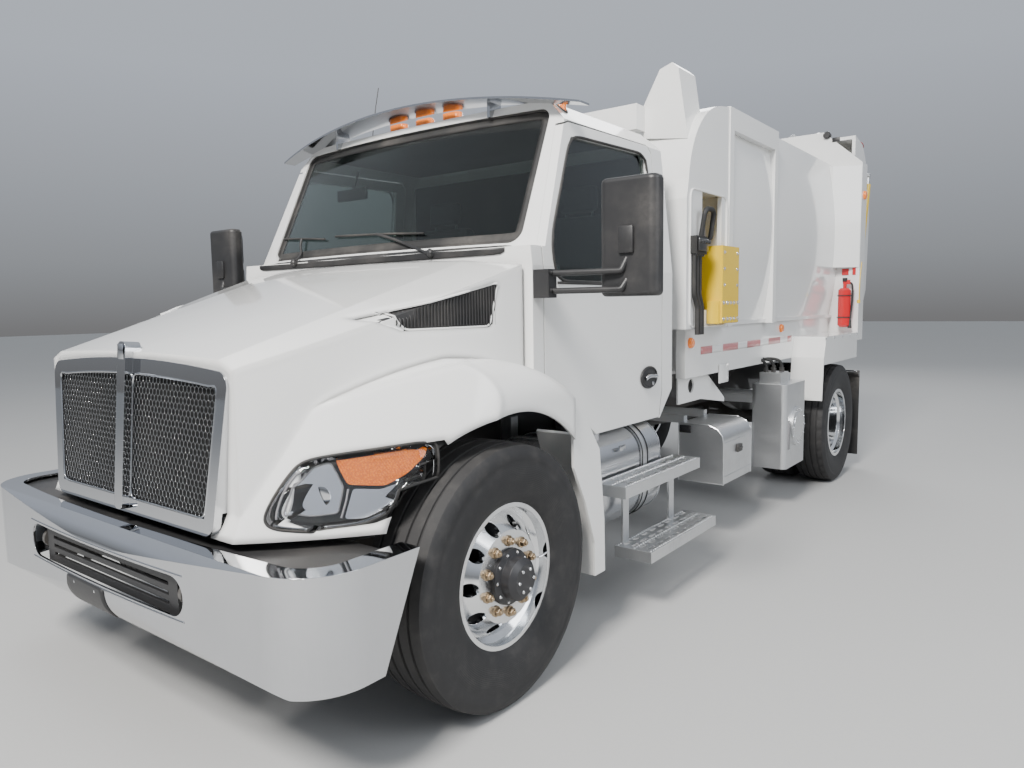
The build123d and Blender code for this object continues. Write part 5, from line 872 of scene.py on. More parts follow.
class Skin:
    """Surface of some CAD nodes seen from one side, on which thin pieces are laid.

    Outlines are in millimetres; lifts off the surface and radii are in metres.
    """

    def __init__(self, view: View, *nodes: str) -> None:
        """Gather the nodes' triangles.

        Args:
            view: the direction of looking.
            *nodes: names of CAD nodes.
        """
        self.view = view
        points, faces = [], []
        for name in nodes:
            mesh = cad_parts[name].data
            start = len(points)
            points += [v.co.copy() for v in mesh.vertices]
            faces += [[start + i for i in p.vertices] for p in mesh.polygons]
        self.tree = BVHTree.FromPolygons(points, faces)

    def laid(self, points: Sequence[Flat], lift: float) -> list[Vector]:
        """Lay flat points on the surface; one that misses it takes its nearest neighbour's depth.

        Args:
            points: flat points.
            lift: distance above the surface.

        Returns:
            Points in metres.
        """
        way = Vector(self.view.value)
        starts = [self.view.start(p) for p in points]
        hits = [self.tree.ray_cast(start, way)[0] for start in starts]
        good = [k for k, hit in enumerate(hits) if hit is not None]
        made = []
        for point, start, hit in zip(points, starts, hits):
            if hit is None:
                near = hits[min(good, key=lambda k: math.dist(points[k], point))] - way * lift
                made.append(start + way * (near - start).dot(way))
            else:
                made.append(hit - way * lift)
        return made

    def spot(self, point: Flat, lift: float) -> Vector:
        """Lay one flat point on the surface."""
        return self.laid([point], lift)[0]

    def filled(self, outline: Sequence[Flat], lift: float, count: int = 56, rings: int = 5) -> Shape:
        """Skin over a closed outline.

        Args:
            outline: its corners.
            lift: distance above the surface.
            count: points round the edge.
            rings: loops from the edge to the middle.

        Returns:
            The open shape.
        """
        edge = resample(outline, count)
        a = sum(p[0] for p in edge) / count
        b = sum(p[1] for p in edge) / count
        flat = [(p + (a - p) * i / rings, q + (b - q) * i / rings) for i in range(rings + 1) for p, q in edge]
        spots = self.laid(flat, lift)
        return Shape().grid([spots[i : i + count] for i in range(0, len(spots), count)], round_loop=True)

    def border(self, outline: Sequence[Flat], width: float, lift: float, count: int) -> Shape:
        """Flat band inside a closed outline."""
        edge = resample(outline, count)
        return Shape().grid([self.laid(shrink(edge, width * k / 3), lift) for k in range(4)], round_loop=True)

    def bead(self, outline: Sequence[Flat], radius: float, lift: float, count: int) -> Shape:
        """Round beading along a closed outline."""
        return Shape().loop(self.laid(resample(outline, count), lift), radius)


class Workshop:
    """Makes finishes once and turns shapes into pieces of the truck."""

    def __init__(self) -> None:
        """Start with no finishes and nothing mirrored."""
        self.finishes: dict[str, bpy.types.Material] = {}
        self.count = 0
        self.mirrored = False
        self.tag = ""

    def sides(self) -> Iterator[str]:
        """Yield "left", then "right" with all pieces mirrored; either word ends the pieces' names.

        Returns:
            The words, one at a time.
        """
        for self.mirrored, side in ((False, "left"), (True, "right")):
            self.tag = f"_{side}"
            yield side
        self.mirrored, self.tag = False, ""

    def finish(self, finish: Finish) -> bpy.types.Material:
        """The material of a finish, built the first time.

        Args:
            finish: the finish.

        Returns:
            Its material.
        """
        if finish.name not in self.finishes:
            self.finishes[finish.name] = finish.make()
        return self.finishes[finish.name]

    def dress(self, finish: Finish, *nodes: str) -> None:
        """Give CAD nodes a finish.

        Args:
            finish: the finish.
            *nodes: names of CAD nodes.
        """
        material = self.finish(finish)
        for name in nodes:
            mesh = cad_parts[name].data
            mesh.materials.clear()
            mesh.materials.append(material)
            log.info("dressed %s in %s", name, finish.name)

    def piece(
        self,
        name: str,
        shape: Shape,
        finish: Finish,
        body: str,
        replaces: Iterable[str] = (),
        smooth: float = 35.0,
        layers: int = 0,
        thick: float = 0.0,
        slot: str | None = None,
    ) -> bpy.types.Object:
        """Turn a shape into a piece of the truck.

        Args:
            name: the piece's name, without its side.
            shape: its mesh.
            finish: its finish.
            body: the body it rides on.
            replaces: CAD nodes it stands for.
            smooth: angle in degrees under which faces blend.
            layers: levels of subdivision.
            thick: thickness given to an open skin, in metres.
            slot: not used.

        Returns:
            The new object.
        """
        name += self.tag
        if self.mirrored:
            bmesh.ops.scale(shape.bm, vec=(-1, 1, 1), verts=shape.bm.verts)
        bmesh.ops.remove_doubles(shape.bm, verts=shape.bm.verts, dist=1e-6)
        bmesh.ops.recalc_face_normals(shape.bm, faces=shape.bm.faces)
        mesh = bpy.data.meshes.new(name)
        shape.bm.to_mesh(mesh)
        shape.bm.free()
        made = bpy.data.objects.new(name, mesh)
        bpy.context.scene.collection.objects.link(made)
        mesh.materials.append(self.finish(finish))
        mesh.shade_smooth()
        mesh.set_sharp_from_angle(angle=math.radians(smooth))
        if thick:
            skin = made.modifiers.new("thickness", "SOLIDIFY")
            skin.thickness = thick
            skin.offset = 0.0
        if layers:
            made.modifiers.new("smooth", "SUBSURF").levels = layers
            made.modifiers["smooth"].render_levels = layers
        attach(made, body)
        if replaces:
            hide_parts(*replaces)
        self.count += 1
        log.info("made %s on %s, %d faces", name, body, len(mesh.polygons))
        return made

    def pieces(self, body: str, **shapes: tuple[Shape, Finish]) -> None:
        """Turn plain shapes into pieces of one body, in order; each by its name, mesh and finish."""
        for name, (shape, finish) in shapes.items():
            self.piece(name, shape, finish, body)


WHITE = Paint("white_paint", (0.80, 0.80, 0.785), 0.14, 0.35)
HOOD_WHITE = Paint("hood_paint", (0.80, 0.80, 0.785), 0.13, 0.35, 0.04)
WORN_WHITE = Paint("worn_white_paint", (0.70, 0.70, 0.67), 0.3, 0.8, 0.004, 1.0)
BLACK_PAINT = Paint("black_paint", (0.018, 0.018, 0.019), 0.34, 0.8)
GREY_ENGINE = Paint("grey_engine", (0.16, 0.165, 0.17), 0.4, 0.7)
YELLOW = Paint("yellow_paint", (0.80, 0.53, 0.02), 0.22, 0.5, 0.004, 0.35)
RED_PAINT = Paint("red_paint", (0.52, 0.012, 0.016), 0.18, 0.3)
CHROME = Metal("chrome", (0.62, 0.63, 0.65), 0.045, Grain.MIRROR, 0.1)
VISOR_STEEL = Metal("visor_steel", (0.50, 0.51, 0.53), 0.1, Grain.MIRROR, 0.16)
POLISHED = Metal("polished_aluminium", (0.66, 0.67, 0.69), 0.12, Grain.BRUSHED, 0.16, (1.0, 1.0, 18.0))
ALUMINIUM = Metal("aluminium", (0.72, 0.73, 0.74), 0.26, Grain.BRUSHED, 0.25, (1.0, 24.0, 1.0))
SCREEN_STEEL = Metal("screen_steel", (0.40, 0.405, 0.41), 0.16, Grain.MIRROR, 0.2)
ROD_STEEL = Metal("steel_rod", (0.74, 0.75, 0.76), 0.12, Grain.BRUSHED, 0.12, (1.0, 1.0, 20.0))
NUT_STEEL = Metal("nut_steel", (0.46, 0.35, 0.23), 0.3, Grain.CAST, 0.3)
RADIATOR_METAL = Metal("radiator_metal", (0.12, 0.12, 0.125), 0.45, Grain.BRUSHED, 0.3, (30.0, 1.0, 1.0))
LAMP_BOWL = Metal("lamp_bowl", (0.9, 0.9, 0.91), 0.1, Grain.BRUSHED, 0.05, (6.0, 1.0, 1.0))
BLACK_PLASTIC = Plastic("black_plastic", (0.02, 0.02, 0.021), 0.4)
GREY_PLASTIC = Plastic("grey_plastic", (0.19, 0.19, 0.2), 0.5)
BLACK_RUBBER = Plastic("black_rubber", (0.014, 0.014, 0.014), 0.6, 300.0, 0.35, 0.3)
# Near black: the headlamps' dark body, and behind the grille mesh a sheet of painted shade.
DARK_BODY_AND_SHADE = Plastic("dark_body_and_painted_shade", (0.006, 0.006, 0.006), 0.8, 200.0, 0.1, 0.05)
FLAP_RUBBER = Plastic("flap_rubber", (0.02, 0.02, 0.02), 0.65, 90.0, 0.5, 0.8)
GLASS = Clear("glass", (0.40, 0.46, 0.44))
LAMP_GLASS = Clear("lamp_glass", (0.97, 0.98, 0.99))
MIRROR_GLASS = Metal("mirror_glass", (0.9, 0.92, 0.93), 0.01, Grain.MIRROR, 0.04)
AMBER = Lens("amber_lens", (0.95, 0.25, 0.004), (0.78, 0.16, 0.002), 420.0, 0.16)
RED_LENS = Lens("red_lens", (0.6, 0.01, 0.012), (0.25, 0.004, 0.006), 420.0, 0.03)
SEAT_CLOTH = Weave("seat_fabric", (0.035, 0.037, 0.042))
TAPE = Tape("marker_tape")
REAR_TAPE = Tape("rear_marker_tape", True)


class Sky(Graph):
    """Soft studio surround."""

    def __init__(self) -> None:
        """Make the world and its gradient."""
        self.world = bpy.data.worlds.new("studio")
        bpy.context.scene.world = self.world
        self.world.use_nodes = True
        self.tree = self.world.node_tree
        self.tree.nodes.clear()

    def make(self, strength: float) -> None:
        """Grade the surround from a grey horizon to a bright top.

        Args:
            strength: brightness of the surround.
        """
        way = self.node("ShaderNodeTexCoord", {}, {}, "Generated")
        _, _, rise = self.parts(way)
        stops = (
            (0.0, (0.16, 0.16, 0.16)),
            (0.49, (0.24, 0.24, 0.245)),
            (0.53, (0.38, 0.40, 0.43)),
            (0.64, (0.66, 0.71, 0.80)),
            (1.0, (0.90, 0.95, 1.0)),
        )
        shade = self.node("ShaderNodeValToRGB", {"stops": stops}, {0: rise * 0.5 + 0.5})
        light = self.node("ShaderNodeBackground", {}, {"Color": shade, "Strength": strength})
        output = self.tree.nodes.new("ShaderNodeOutputWorld")
        self.tree.links.new(light.socket, output.inputs[0])


@dataclass
class Studio:
    """Camera at the photograph's angle, pale floor and soft lights."""

    eye: tuple[float, float, float] = (2.913, -4.783, 1.584)
    yaw: float = 37.45
    pitch: float = 5.86
    roll: float = -0.91
    lens: float = 26.37
    floor_half: float = 60.0
    aim: Colour = (0.0, 0.0, 1.3)
    sky_strength: float = 0.75
    lights = (
        ("key", (2.5, -9.5, 9.0), 2.6, 2500.0, (1.0, 0.97, 0.93)),
        ("fill", (9.0, -1.0, 6.0), 6.0, 480.0, (0.93, 0.96, 1.0)),
        ("back", (-4.0, 10.0, 8.0), 6.0, 500.0, (1.0, 1.0, 1.0)),
    )

    def build(self) -> None:
        """Set up the camera, the lights and the floor."""
        self.camera()
        for light in self.lights:
            self.light(*light)
        Sky().make(self.sky_strength)
        self.floor()

    def camera(self) -> None:
        """Place the camera."""
        yaw, pitch, roll = (math.radians(a) for a in (self.yaw, self.pitch, self.roll))
        ahead = Vector((-math.sin(yaw) * math.cos(pitch), math.cos(yaw) * math.cos(pitch), -math.sin(pitch)))
        right = ahead.cross(Vector((0, 0, 1))).normalized()
        up = right.cross(ahead)
        across = right * math.cos(roll) + up * math.sin(roll)
        over = up * math.cos(roll) - right * math.sin(roll)
        data = bpy.data.cameras.new("camera")
        data.lens = self.lens
        data.sensor_width = 36.0
        data.clip_start = 0.05
        data.clip_end = 300.0
        made = bpy.data.objects.new("camera", data)
        turn = Matrix((across, over, -ahead)).transposed().to_4x4()
        made.matrix_world = Matrix.Translation(Vector(self.eye)) @ turn
        bpy.context.scene.collection.objects.link(made)
        bpy.context.scene.camera = made

    def light(self, name: str, place: Colour, size: float, power: float, colour: Colour) -> None:
        """Add a square soft light aimed at the truck's middle.

        Args:
            name: its name.
            place: its place in metres.
            size: its side in metres.
            power: its power in watts.
            colour: its colour.
        """
        data = bpy.data.lights.new(name, "AREA")
        data.size = size
        data.energy = power
        data.color = colour
        made = bpy.data.objects.new(name, data)
        made.location = place
        made.rotation_euler = (Vector(self.aim) - Vector(place)).to_track_quat("-Z", "Y").to_euler()
        bpy.context.scene.collection.objects.link(made)

    def floor(self) -> None:
        """Lay the pale floor."""
        shape = Shape()
        half = self.floor_half
        shape.grid([[Vector((x, y, 0.0)) for x in (-half, half)] for y in (-half, half)])
        mesh = bpy.data.meshes.new("floor")
        shape.bm.to_mesh(mesh)
        shape.bm.free()
        made = bpy.data.objects.new("floor", mesh)
        bpy.context.scene.collection.objects.link(made)
        g = Graph("pale_floor")
        grain = g.noise(g.place(), 60.0, 6.0, 0.7)
        broad = g.noise(g.place(), 0.6, 3.0, 0.5)
        base = g.mix(grain * 0.3 + broad * 0.2, (0.44, 0.44, 0.435), (0.36, 0.36, 0.355))
        mesh.materials.append(g.shade(Base_Color=base, Roughness=0.75 + grain * 0.15, Normal=g.bump(grain, 0.2, 0.002)))


@dataclass(frozen=True)
class Axle:
    """One axle's wheels on the left side, in millimetres."""

    name: str
    plural: str
    middle: Flat
    centres: tuple[float, ...]
    width: float
    disc: float
    blocks: bool
    rubber: str
    slot: str | None
    bolts: tuple[tuple[float, Flat], ...]
    valve: tuple[Place, ...]


AXLES = (
    Axle(
        "front", "", (1050, 530), (1034,), 312, 1152, False, "tyre", None,
        ((1168, (97, 10)), (1236, (46, 6))), ((1150, 1240, 552), (1166, 1246, 556), (1172, 1290, 566)),
    ),
    Axle(
        "rear", "s", (5780, 520), (746, 1076), 278, 933, True, "rear_tyre", "tyre",
        ((1085, (60, 8)),), ((931, 5970, 542), (946, 5985, 545), (1010, 5990, 548)),
    ),
)


@dataclass
class Running:
    """Tyres, wheel nuts, hub bolts, valves and the finishes of axles and frame."""

    shop: Workshop
    steps: int = 180
    nut_ring: Flat = (143.0, 10)
    groove_depth: float = 0.011
    groove_half: float = 0.034
    groove_lip: float = 0.012
    grooves = (0.56, 0.20)
    crown: float = 0.0045
    block_steps: int = 5
    hub_reach: float = 0.112

    def tread(self, radius: float, half: float, blocks: bool) -> list[list[Flat]]:
        """Profiles of a tyre from step to step.

        Args:
            radius: outer radius in metres.
            half: half of the width in metres.
            blocks: cut the shoulders into blocks.

        Returns:
            A closed profile of (along, out) points in metres for each step.
        """
        side = [
            (0.60, 0.2865), (0.73, 0.2865), (0.79, 0.300), (0.83, 0.306), (0.90, 0.338), (0.965, 0.372),
            (1.0, 0.412), (0.998, 0.440), (0.975, 0.462), (0.985, 0.466), (0.955, radius - 0.040),
            (0.915, radius - 0.022), (0.865, radius - 0.011),
        ]
        low, wide, lip = radius - self.groove_depth, self.groove_half, self.groove_lip
        for g in self.grooves:
            side += [
                (g + wide + lip, radius - self.crown * (g + 0.4)), (g + wide, low), (g - wide, low),
                (g - wide - lip, radius - self.crown * (g + 0.3)),
            ]
        cut = [(a, r - self.groove_depth * 0.8 if a > 0.6 and r > low else r) for a, r in side]
        profiles = []
        for i in range(self.steps):
            shape = cut if blocks and i % self.block_steps == 0 else side
            right = [(a * half, r) for a, r in shape]
            profiles.append(right + [(-a, r) for a, r in reversed(right)])
        return profiles

    def tyre(self, shape: Shape, centre: float, axle: Axle) -> None:
        """Add one of an axle's tyres to a shape.

        Args:
            shape: the shape.
            centre: the tyre's middle across the truck.
            axle: its axle.
        """
        station, radius = axle.middle
        base = at(centre, station, radius)
        profiles = self.tread((radius - 0.6) / 1000, axle.width / 2000, axle.blocks)
        rows = []
        for (c, s), profile in zip(circle(self.steps), profiles):
            out = Vector((0, c, s))
            rows.append([base + OUT * a + out * r for a, r in profile])
        shape.grid(rows, round_rows=True, round_loop=True)

    def wheels(self, axle: Axle, side: str) -> None:
        """Build an axle's tyres, nuts, bolts and valve on one side.

        Args:
            axle: the axle.
            side: "left" or "right".
        """
        shop, name, s = self.shop, axle.name, axle.plural
        body = f"{name}_{side}_wheel{s}"
        hub_side = -1.0 if shop.mirrored else 1.0
        metal = WheelMetal(f"{name}_wheel_metal_{side}", *axle.middle, self.hub_reach, hub_side, axle.disc / 1000)
        shop.dress(metal, f"{name}_wheel{s}_{side}")
        rubber = Shape()
        for centre in axle.centres:
            self.tyre(rubber, centre, axle)
        finish = Tread(axle.rubber, *axle.middle)
        shop.piece(f"{name}_tread{s}", rubber, finish, body, (f"{name}_tyre{s}_{side}",), slot=axle.slot)
        nuts = Shape().nut_ring(axle.disc, axle.middle, self.nut_ring, 0.5, 0.0165, 0.024, 0.022)
        shop.piece(f"{name}_nuts", nuts, NUT_STEEL, body, smooth=30, slot="steel_rod")
        hub = Shape()
        for face, ring in axle.bolts:
            hub.nut_ring(face, axle.middle, ring, 0.0, 0.0075, 0.008)
        shop.piece(f"{name}_hub_bolts", hub.tube(path(*axle.valve), 0.004, 8), ROD_STEEL, body, smooth=30)

    def build(self) -> None:
        """Build both axles' wheels and dress the running gear."""
        shop = self.shop
        shop.dress(BLACK_PAINT, "chassis_frame", "front_brackets", "front_axle", "leaf_springs", "rear_axle")
        shop.dress(BLACK_PAINT, "tie_rod", "steering_knuckle_left", "steering_knuckle_right", "hoist_barrels")
        shop.dress(GREY_ENGINE, "engine_block")
        shop.dress(RADIATOR_METAL, "radiator")
        shop.dress(ROD_STEEL, "hoist_rods", "gate_rods", "grab_rails")
        for side in shop.sides():
            for axle in AXLES:
                self.wheels(axle, side)


@dataclass
class Grille:
    """Fine bright mesh, its bezel, a near-black sheet behind it as painted shade, and the cap on the centre bar."""

    shop: Workshop
    pitch: float = 25.0
    wire: float = 2.8
    tilt: float = 5.0
    bottom: float = 822.0
    station: float = 130.0
    mesh_depth: float = -8.0
    shade_sheet_depth: Flat = (-24.0, -27.0)
    bezel_depth: float = -3.0
    cap = ((-21, 588, 30), (21, 646, 36))

    def spot(self, x: float, rise: float, proud: float) -> Vector:
        """A point on the leaning grille plane, in millimetres across, up and out of it.

        Args:
            x: distance across.
            rise: distance up the plane.
            proud: distance out of it.

        Returns:
            The point in metres.
        """
        lean = math.radians(self.tilt)
        station = self.station + rise * math.sin(lean) - proud * math.cos(lean)
        return at(x, station, self.bottom + rise * math.cos(lean) + proud * math.sin(lean))

    def panel(self, grow: float = 0.0) -> list[Flat]:
        """Outline of the left panel, grown outwards by a distance.

        Args:
            grow: the distance.

        Returns:
            Points across and up the grille plane.
        """
        half_bar = 31.0 - grow
        rows = [58.0 - grow + k * 25.0 for k in range(19)]
        outer = [(544.0 + 70.0 * v / 560.0 + grow, v) for v in rows]
        across = [580.0 - k * (580.0 - half_bar) / 12 for k in range(13)]
        top = [(x, 536.0 + grow - 34.0 * (x / 672.0) ** 2) for x in across]
        return [(half_bar, 58.0 - grow)] + outer + [(604.0 + grow, 528.0 + grow * 0.5)] + top

    @staticmethod
    def inside(point: Flat, outline: Sequence[Flat]) -> bool:
        """Tell whether a flat point is inside a closed outline.

        Args:
            point: the flat point.
            outline: its corners in order.

        Returns:
            True when it is inside.
        """
        x, y = point
        hit = False
        for i in range(len(outline)):
            (x0, y0), (x1, y1) = outline[i - 1], outline[i]
            if (y0 > y) != (y1 > y) and x < (x1 - x0) * (y - y0) / (y1 - y0) + x0:
                hit = not hit
        return hit

    def strand(self, shape: Shape, a: Flat, b: Flat) -> None:
        """Add one thin bar of the mesh.

        Args:
            shape: the mesh.
            a: one end on the grille plane.
            b: the other end.
        """
        run = Vector((b[0] - a[0], b[1] - a[1])).normalized()
        nx, ny = -run.y * self.wire / 2, run.x * self.wire / 2
        section = [(share, self.mesh_depth - drop) for share, drop in ((1, 3), (0.4, 0), (-0.4, 0), (-1, 3))]
        rows = [[self.spot(x + nx * k, v + ny * k, proud) for k, proud in section] for x, v in (a, b)]
        shape.grid(rows, round_loop=True)

    def build(self) -> None:
        """Build the grille's pieces and dress its surround."""
        self.shop.dress(CHROME, "grille_surround")
        outline = self.panel()
        side = self.pitch / math.sqrt(3)
        mesh, backing, bezel = Shape(), Shape(), Shape()
        for hand in HANDS:
            for i in range(-1, 36):
                for j in range(40):
                    x = 31 + (i + 0.5 * (j % 2)) * self.pitch
                    v = 40 + j * side * 1.5
                    corners = [(x + side * s, v + side * c) for c, s in circle(6)[:4]]
                    for a, b in zip(corners, corners[1:]):
                        if self.inside(((a[0] + b[0]) / 2, (a[1] + b[1]) / 2), outline):
                            self.strand(mesh, (a[0] * hand, a[1]), (b[0] * hand, b[1]))
            # A near-black sheet just behind the mesh: painted shade for the dark inside of the grille.
            first, last = self.shade_sheet_depth
            edge = [self.spot(x * hand, v, first) for x, v in self.panel(2.0)]
            backing.prism(edge, self.spot(0, 0, last) - self.spot(0, 0, first))
            bezel.loop([self.spot(x * hand, v, self.bezel_depth) for x, v in resample(self.panel(0.5), 90)], 0.0045)
        low, high = (self.spot(*corner) for corner in self.cap)
        self.shop.piece("grille_screen", mesh, SCREEN_STEEL, "hood", ("grille_mesh",), 20, slot="chrome")
        # The black sheet behind the mesh is painted shade.
        self.shop.piece("grille_shade_sheet", backing, DARK_BODY_AND_SHADE, "hood", slot="black_plastic")
        self.shop.pieces("hood", grille_bezel=(bezel, CHROME), grille_cap=(Shape().box(low, high, 0.004), CHROME))


@dataclass
class HoodTrim:
    """Headlamps and side vents of the hood."""

    shop: Workshop
    rib_pitch: float = 15.0
    rib_first: float = 745.0
    rib_last: float = 1222.0
    rib_least: float = 12.0
    rib_gap: float = 8.0
    vent_nose: Flat = (648.0, 1550.0)
    vent_sill: Flat = (775.0, 1512.0)
    vent_rise: float = 136 / 585
    vent_drop: float = 46 / 127

    lamp = (
        (868, 838), (786, 852), (756, 866), (747, 895), (755, 950), (770, 1005), (792, 1062), (823, 1076), (868, 1084),
        (977, 1100), (1065, 1112), (1079, 1080), (1080, 1010), (1066, 950), (1028, 890), (964, 846),
    )
    amber = ((861, 1070), (959, 1087), (1054, 1099), (1055, 1060), (1028, 1004), (988, 968), (906, 980), (880, 1028))
    bowl = ((792, 898), (796, 1000), (817, 1044), (852, 1058), (875, 1018), (897, 974), (902, 888), (841, 884))
    fluted = ((919, 966), (981, 957), (1037, 985), (1034, 930), (999, 893), (964, 866), (919, 868))
    divider = ((779, 868), (773, 930), (782, 1000), (806, 1052))
    second_divider = ((911, 872), (912, 920), (909, 966))
    projector = ((0, 0.034), (0.001, 0.031), (0.0026, 0.014), (0.0030, 0))
    projector_spot = (855, 948)
    vent = ((733, 1556), (752, 1577), (1233, 1686), (1184, 1508), (780, 1504))
    vent_tip = ((638, 1551), (744, 1577), (731, 1553), (782, 1501), (760, 1501))

    def build(self) -> None:
        """Build both sides."""
        shop = self.shop
        shop.dress(HOOD_WHITE, "hood")
        shop.dress(BLACK_PLASTIC, "hood_vents")
        lamp_skin = Skin(View.FRONT, "hood", "headlamps")
        vent_skin = Skin(View.LEFT, "hood_vents")
        for _ in shop.sides():
            self.headlamp(lamp_skin)
            self.side_vent(vent_skin)
        shop.dress(DARK_BODY_AND_SHADE, "headlamps")

    def headlamp(self, skin: Skin) -> None:
        """Build one headlamp in front of its dark sealed body.

        Args:
            skin: the hood's front with the lamp bodies.
        """
        outline = resample(self.lamp, 96)
        glass = shrink(resample(outline, 72), 3)
        line = shrink(resample(outline, 96), 9)
        edges = skin.bead(self.bowl, 0.0028, 0.0030, 64)
        edges.tube(skin.laid(resample(self.divider, 16)[:12], 0.003), 0.0045, 8, 1)
        edges.tube(skin.laid(self.second_divider, 0.003), 0.004, 8, 4)
        middle = skin.spot(self.projector_spot, 0.0024)
        glow = Shape().lathe(self.projector, middle, Vector((0.25, -1, 0)), 28)
        for name, shape, finish, smooth, thick, slot in (
            ("backing", skin.filled(outline, 0.0008, 96), DARK_BODY_AND_SHADE, 60, 0, "black_plastic"),
            ("lens", skin.filled(glass, 0.0060, 72), LAMP_GLASS, 60, 0.0014, None),
            ("rubber", skin.bead(outline, 0.0055, 0.001, 96), BLACK_RUBBER, 35, 0, None),
            ("bright_line", skin.bead(line, 0.0024, 0.0016, 96), CHROME, 35, 0, None),
            ("fluted_part", skin.filled(self.fluted, 0.0022, 64), LAMP_BOWL, 60, 0, "chrome"),
            ("amber", skin.filled(self.amber, 0.0034, 64), AMBER, 60, 0, None),
            ("bowl", skin.filled(self.bowl, 0.0022, 64), LAMP_BOWL, 60, 0, "chrome"),
            ("bowl_edge", edges, GREY_PLASTIC, 35, 0, None),
            ("projector", glow, CHROME, 35, 0, None),
        ):
            self.shop.piece(f"headlamp_{name}", shape, finish, "hood", smooth=smooth, thick=thick, slot=slot)

    def side_vent(self, skin: Skin) -> None:
        """Build one side vent's ribs and rim.

        Args:
            skin: the vent's face.
        """
        ribs = Shape()
        (nose, height), (sill_from, sill) = self.vent_nose, self.vent_sill
        station = self.rib_first
        while station < self.rib_last:
            run = station - nose
            top = height + run * self.vent_rise - self.rib_gap
            low = sill if station > sill_from else height - run * self.vent_drop + self.rib_gap
            if top - low > self.rib_least:
                ribs.tube(skin.laid([(station, z) for z in (low, (low + top) / 2, top)], 0.003), 0.0032, 6, 2)
            station += self.rib_pitch
        self.shop.piece("vent_ribs", ribs, BLACK_PLASTIC, "hood")
        hood = Skin(View.LEFT, "hood", "hood_vents")
        self.shop.piece("vent_rim", hood.bead(self.vent, 0.0045, 0.001, 80), WHITE, "hood")
        self.shop.piece("vent_tip", hood.filled(self.vent_tip, 0.0012, 40), WHITE, "hood", smooth=60)


@dataclass
class BumperTrim:
    """Plate bracket, slot lips, screws and top cover of the bumper."""

    shop: Workshop
    plate_low: Flat = (-250.0, 437.0)
    plate_high: Flat = (62.0, 566.0)
    screw_inset: Flat = (70.0, 22.0)
    slot_half: int = 600
    slot_lips = (566, 724)
    cover_half: int = 1184
    cover_height: float = 778.0
    cover_rear: float = 470.0

    def build(self) -> None:
        """Build the trim and dress the bumper."""
        shop = self.shop
        shop.dress(CHROME, "bumper")
        shop.dress(BLACK_PLASTIC, "bumper_slats")
        skin = Skin(View.FRONT, "bumper")
        (a, c), (b, d) = self.plate_low, self.plate_high
        outline = ((a, c), (b, c), (b, d), (a, d))
        shop.piece("plate_bracket", skin.filled(outline, 0.0015, 64, 6), BLACK_PLASTIC, "truck", thick=0.005)
        shop.piece("plate_bracket_rim", skin.bead(outline, 0.003, 0.0005, 64), BLACK_PLASTIC, "truck")
        screws, lip = Shape(), Shape()
        for x in (a + self.screw_inset[0], b - self.screw_inset[0]):
            screws.nut(skin.spot((x, d - self.screw_inset[1]), 0.001), AHEAD, 0.008, 0.003)
        shop.piece("plate_screws", screws, ROD_STEEL, "truck")
        for height in self.slot_lips:
            across = range(-self.slot_half, self.slot_half + 1, 60)
            lip.tube(skin.laid([(x, height) for x in across], -0.002), 0.005, 8, 2)
        shop.piece("slot_lips", lip, CHROME, "truck")
        across = range(-self.cover_half, self.cover_half + 1, 37)
        line = skin.laid([(x, self.cover_height) for x in across], -0.012)
        rear = [Vector((p.x, self.cover_rear / 1000 + NOSE, p.z)) for p in line]
        cover = Shape().grid([[p + (q - p) * k / 4 for p, q in zip(line, rear)] for k in range(5)])
        shop.piece("bumper_cover", cover, BLACK_PLASTIC, "truck", thick=0.004)


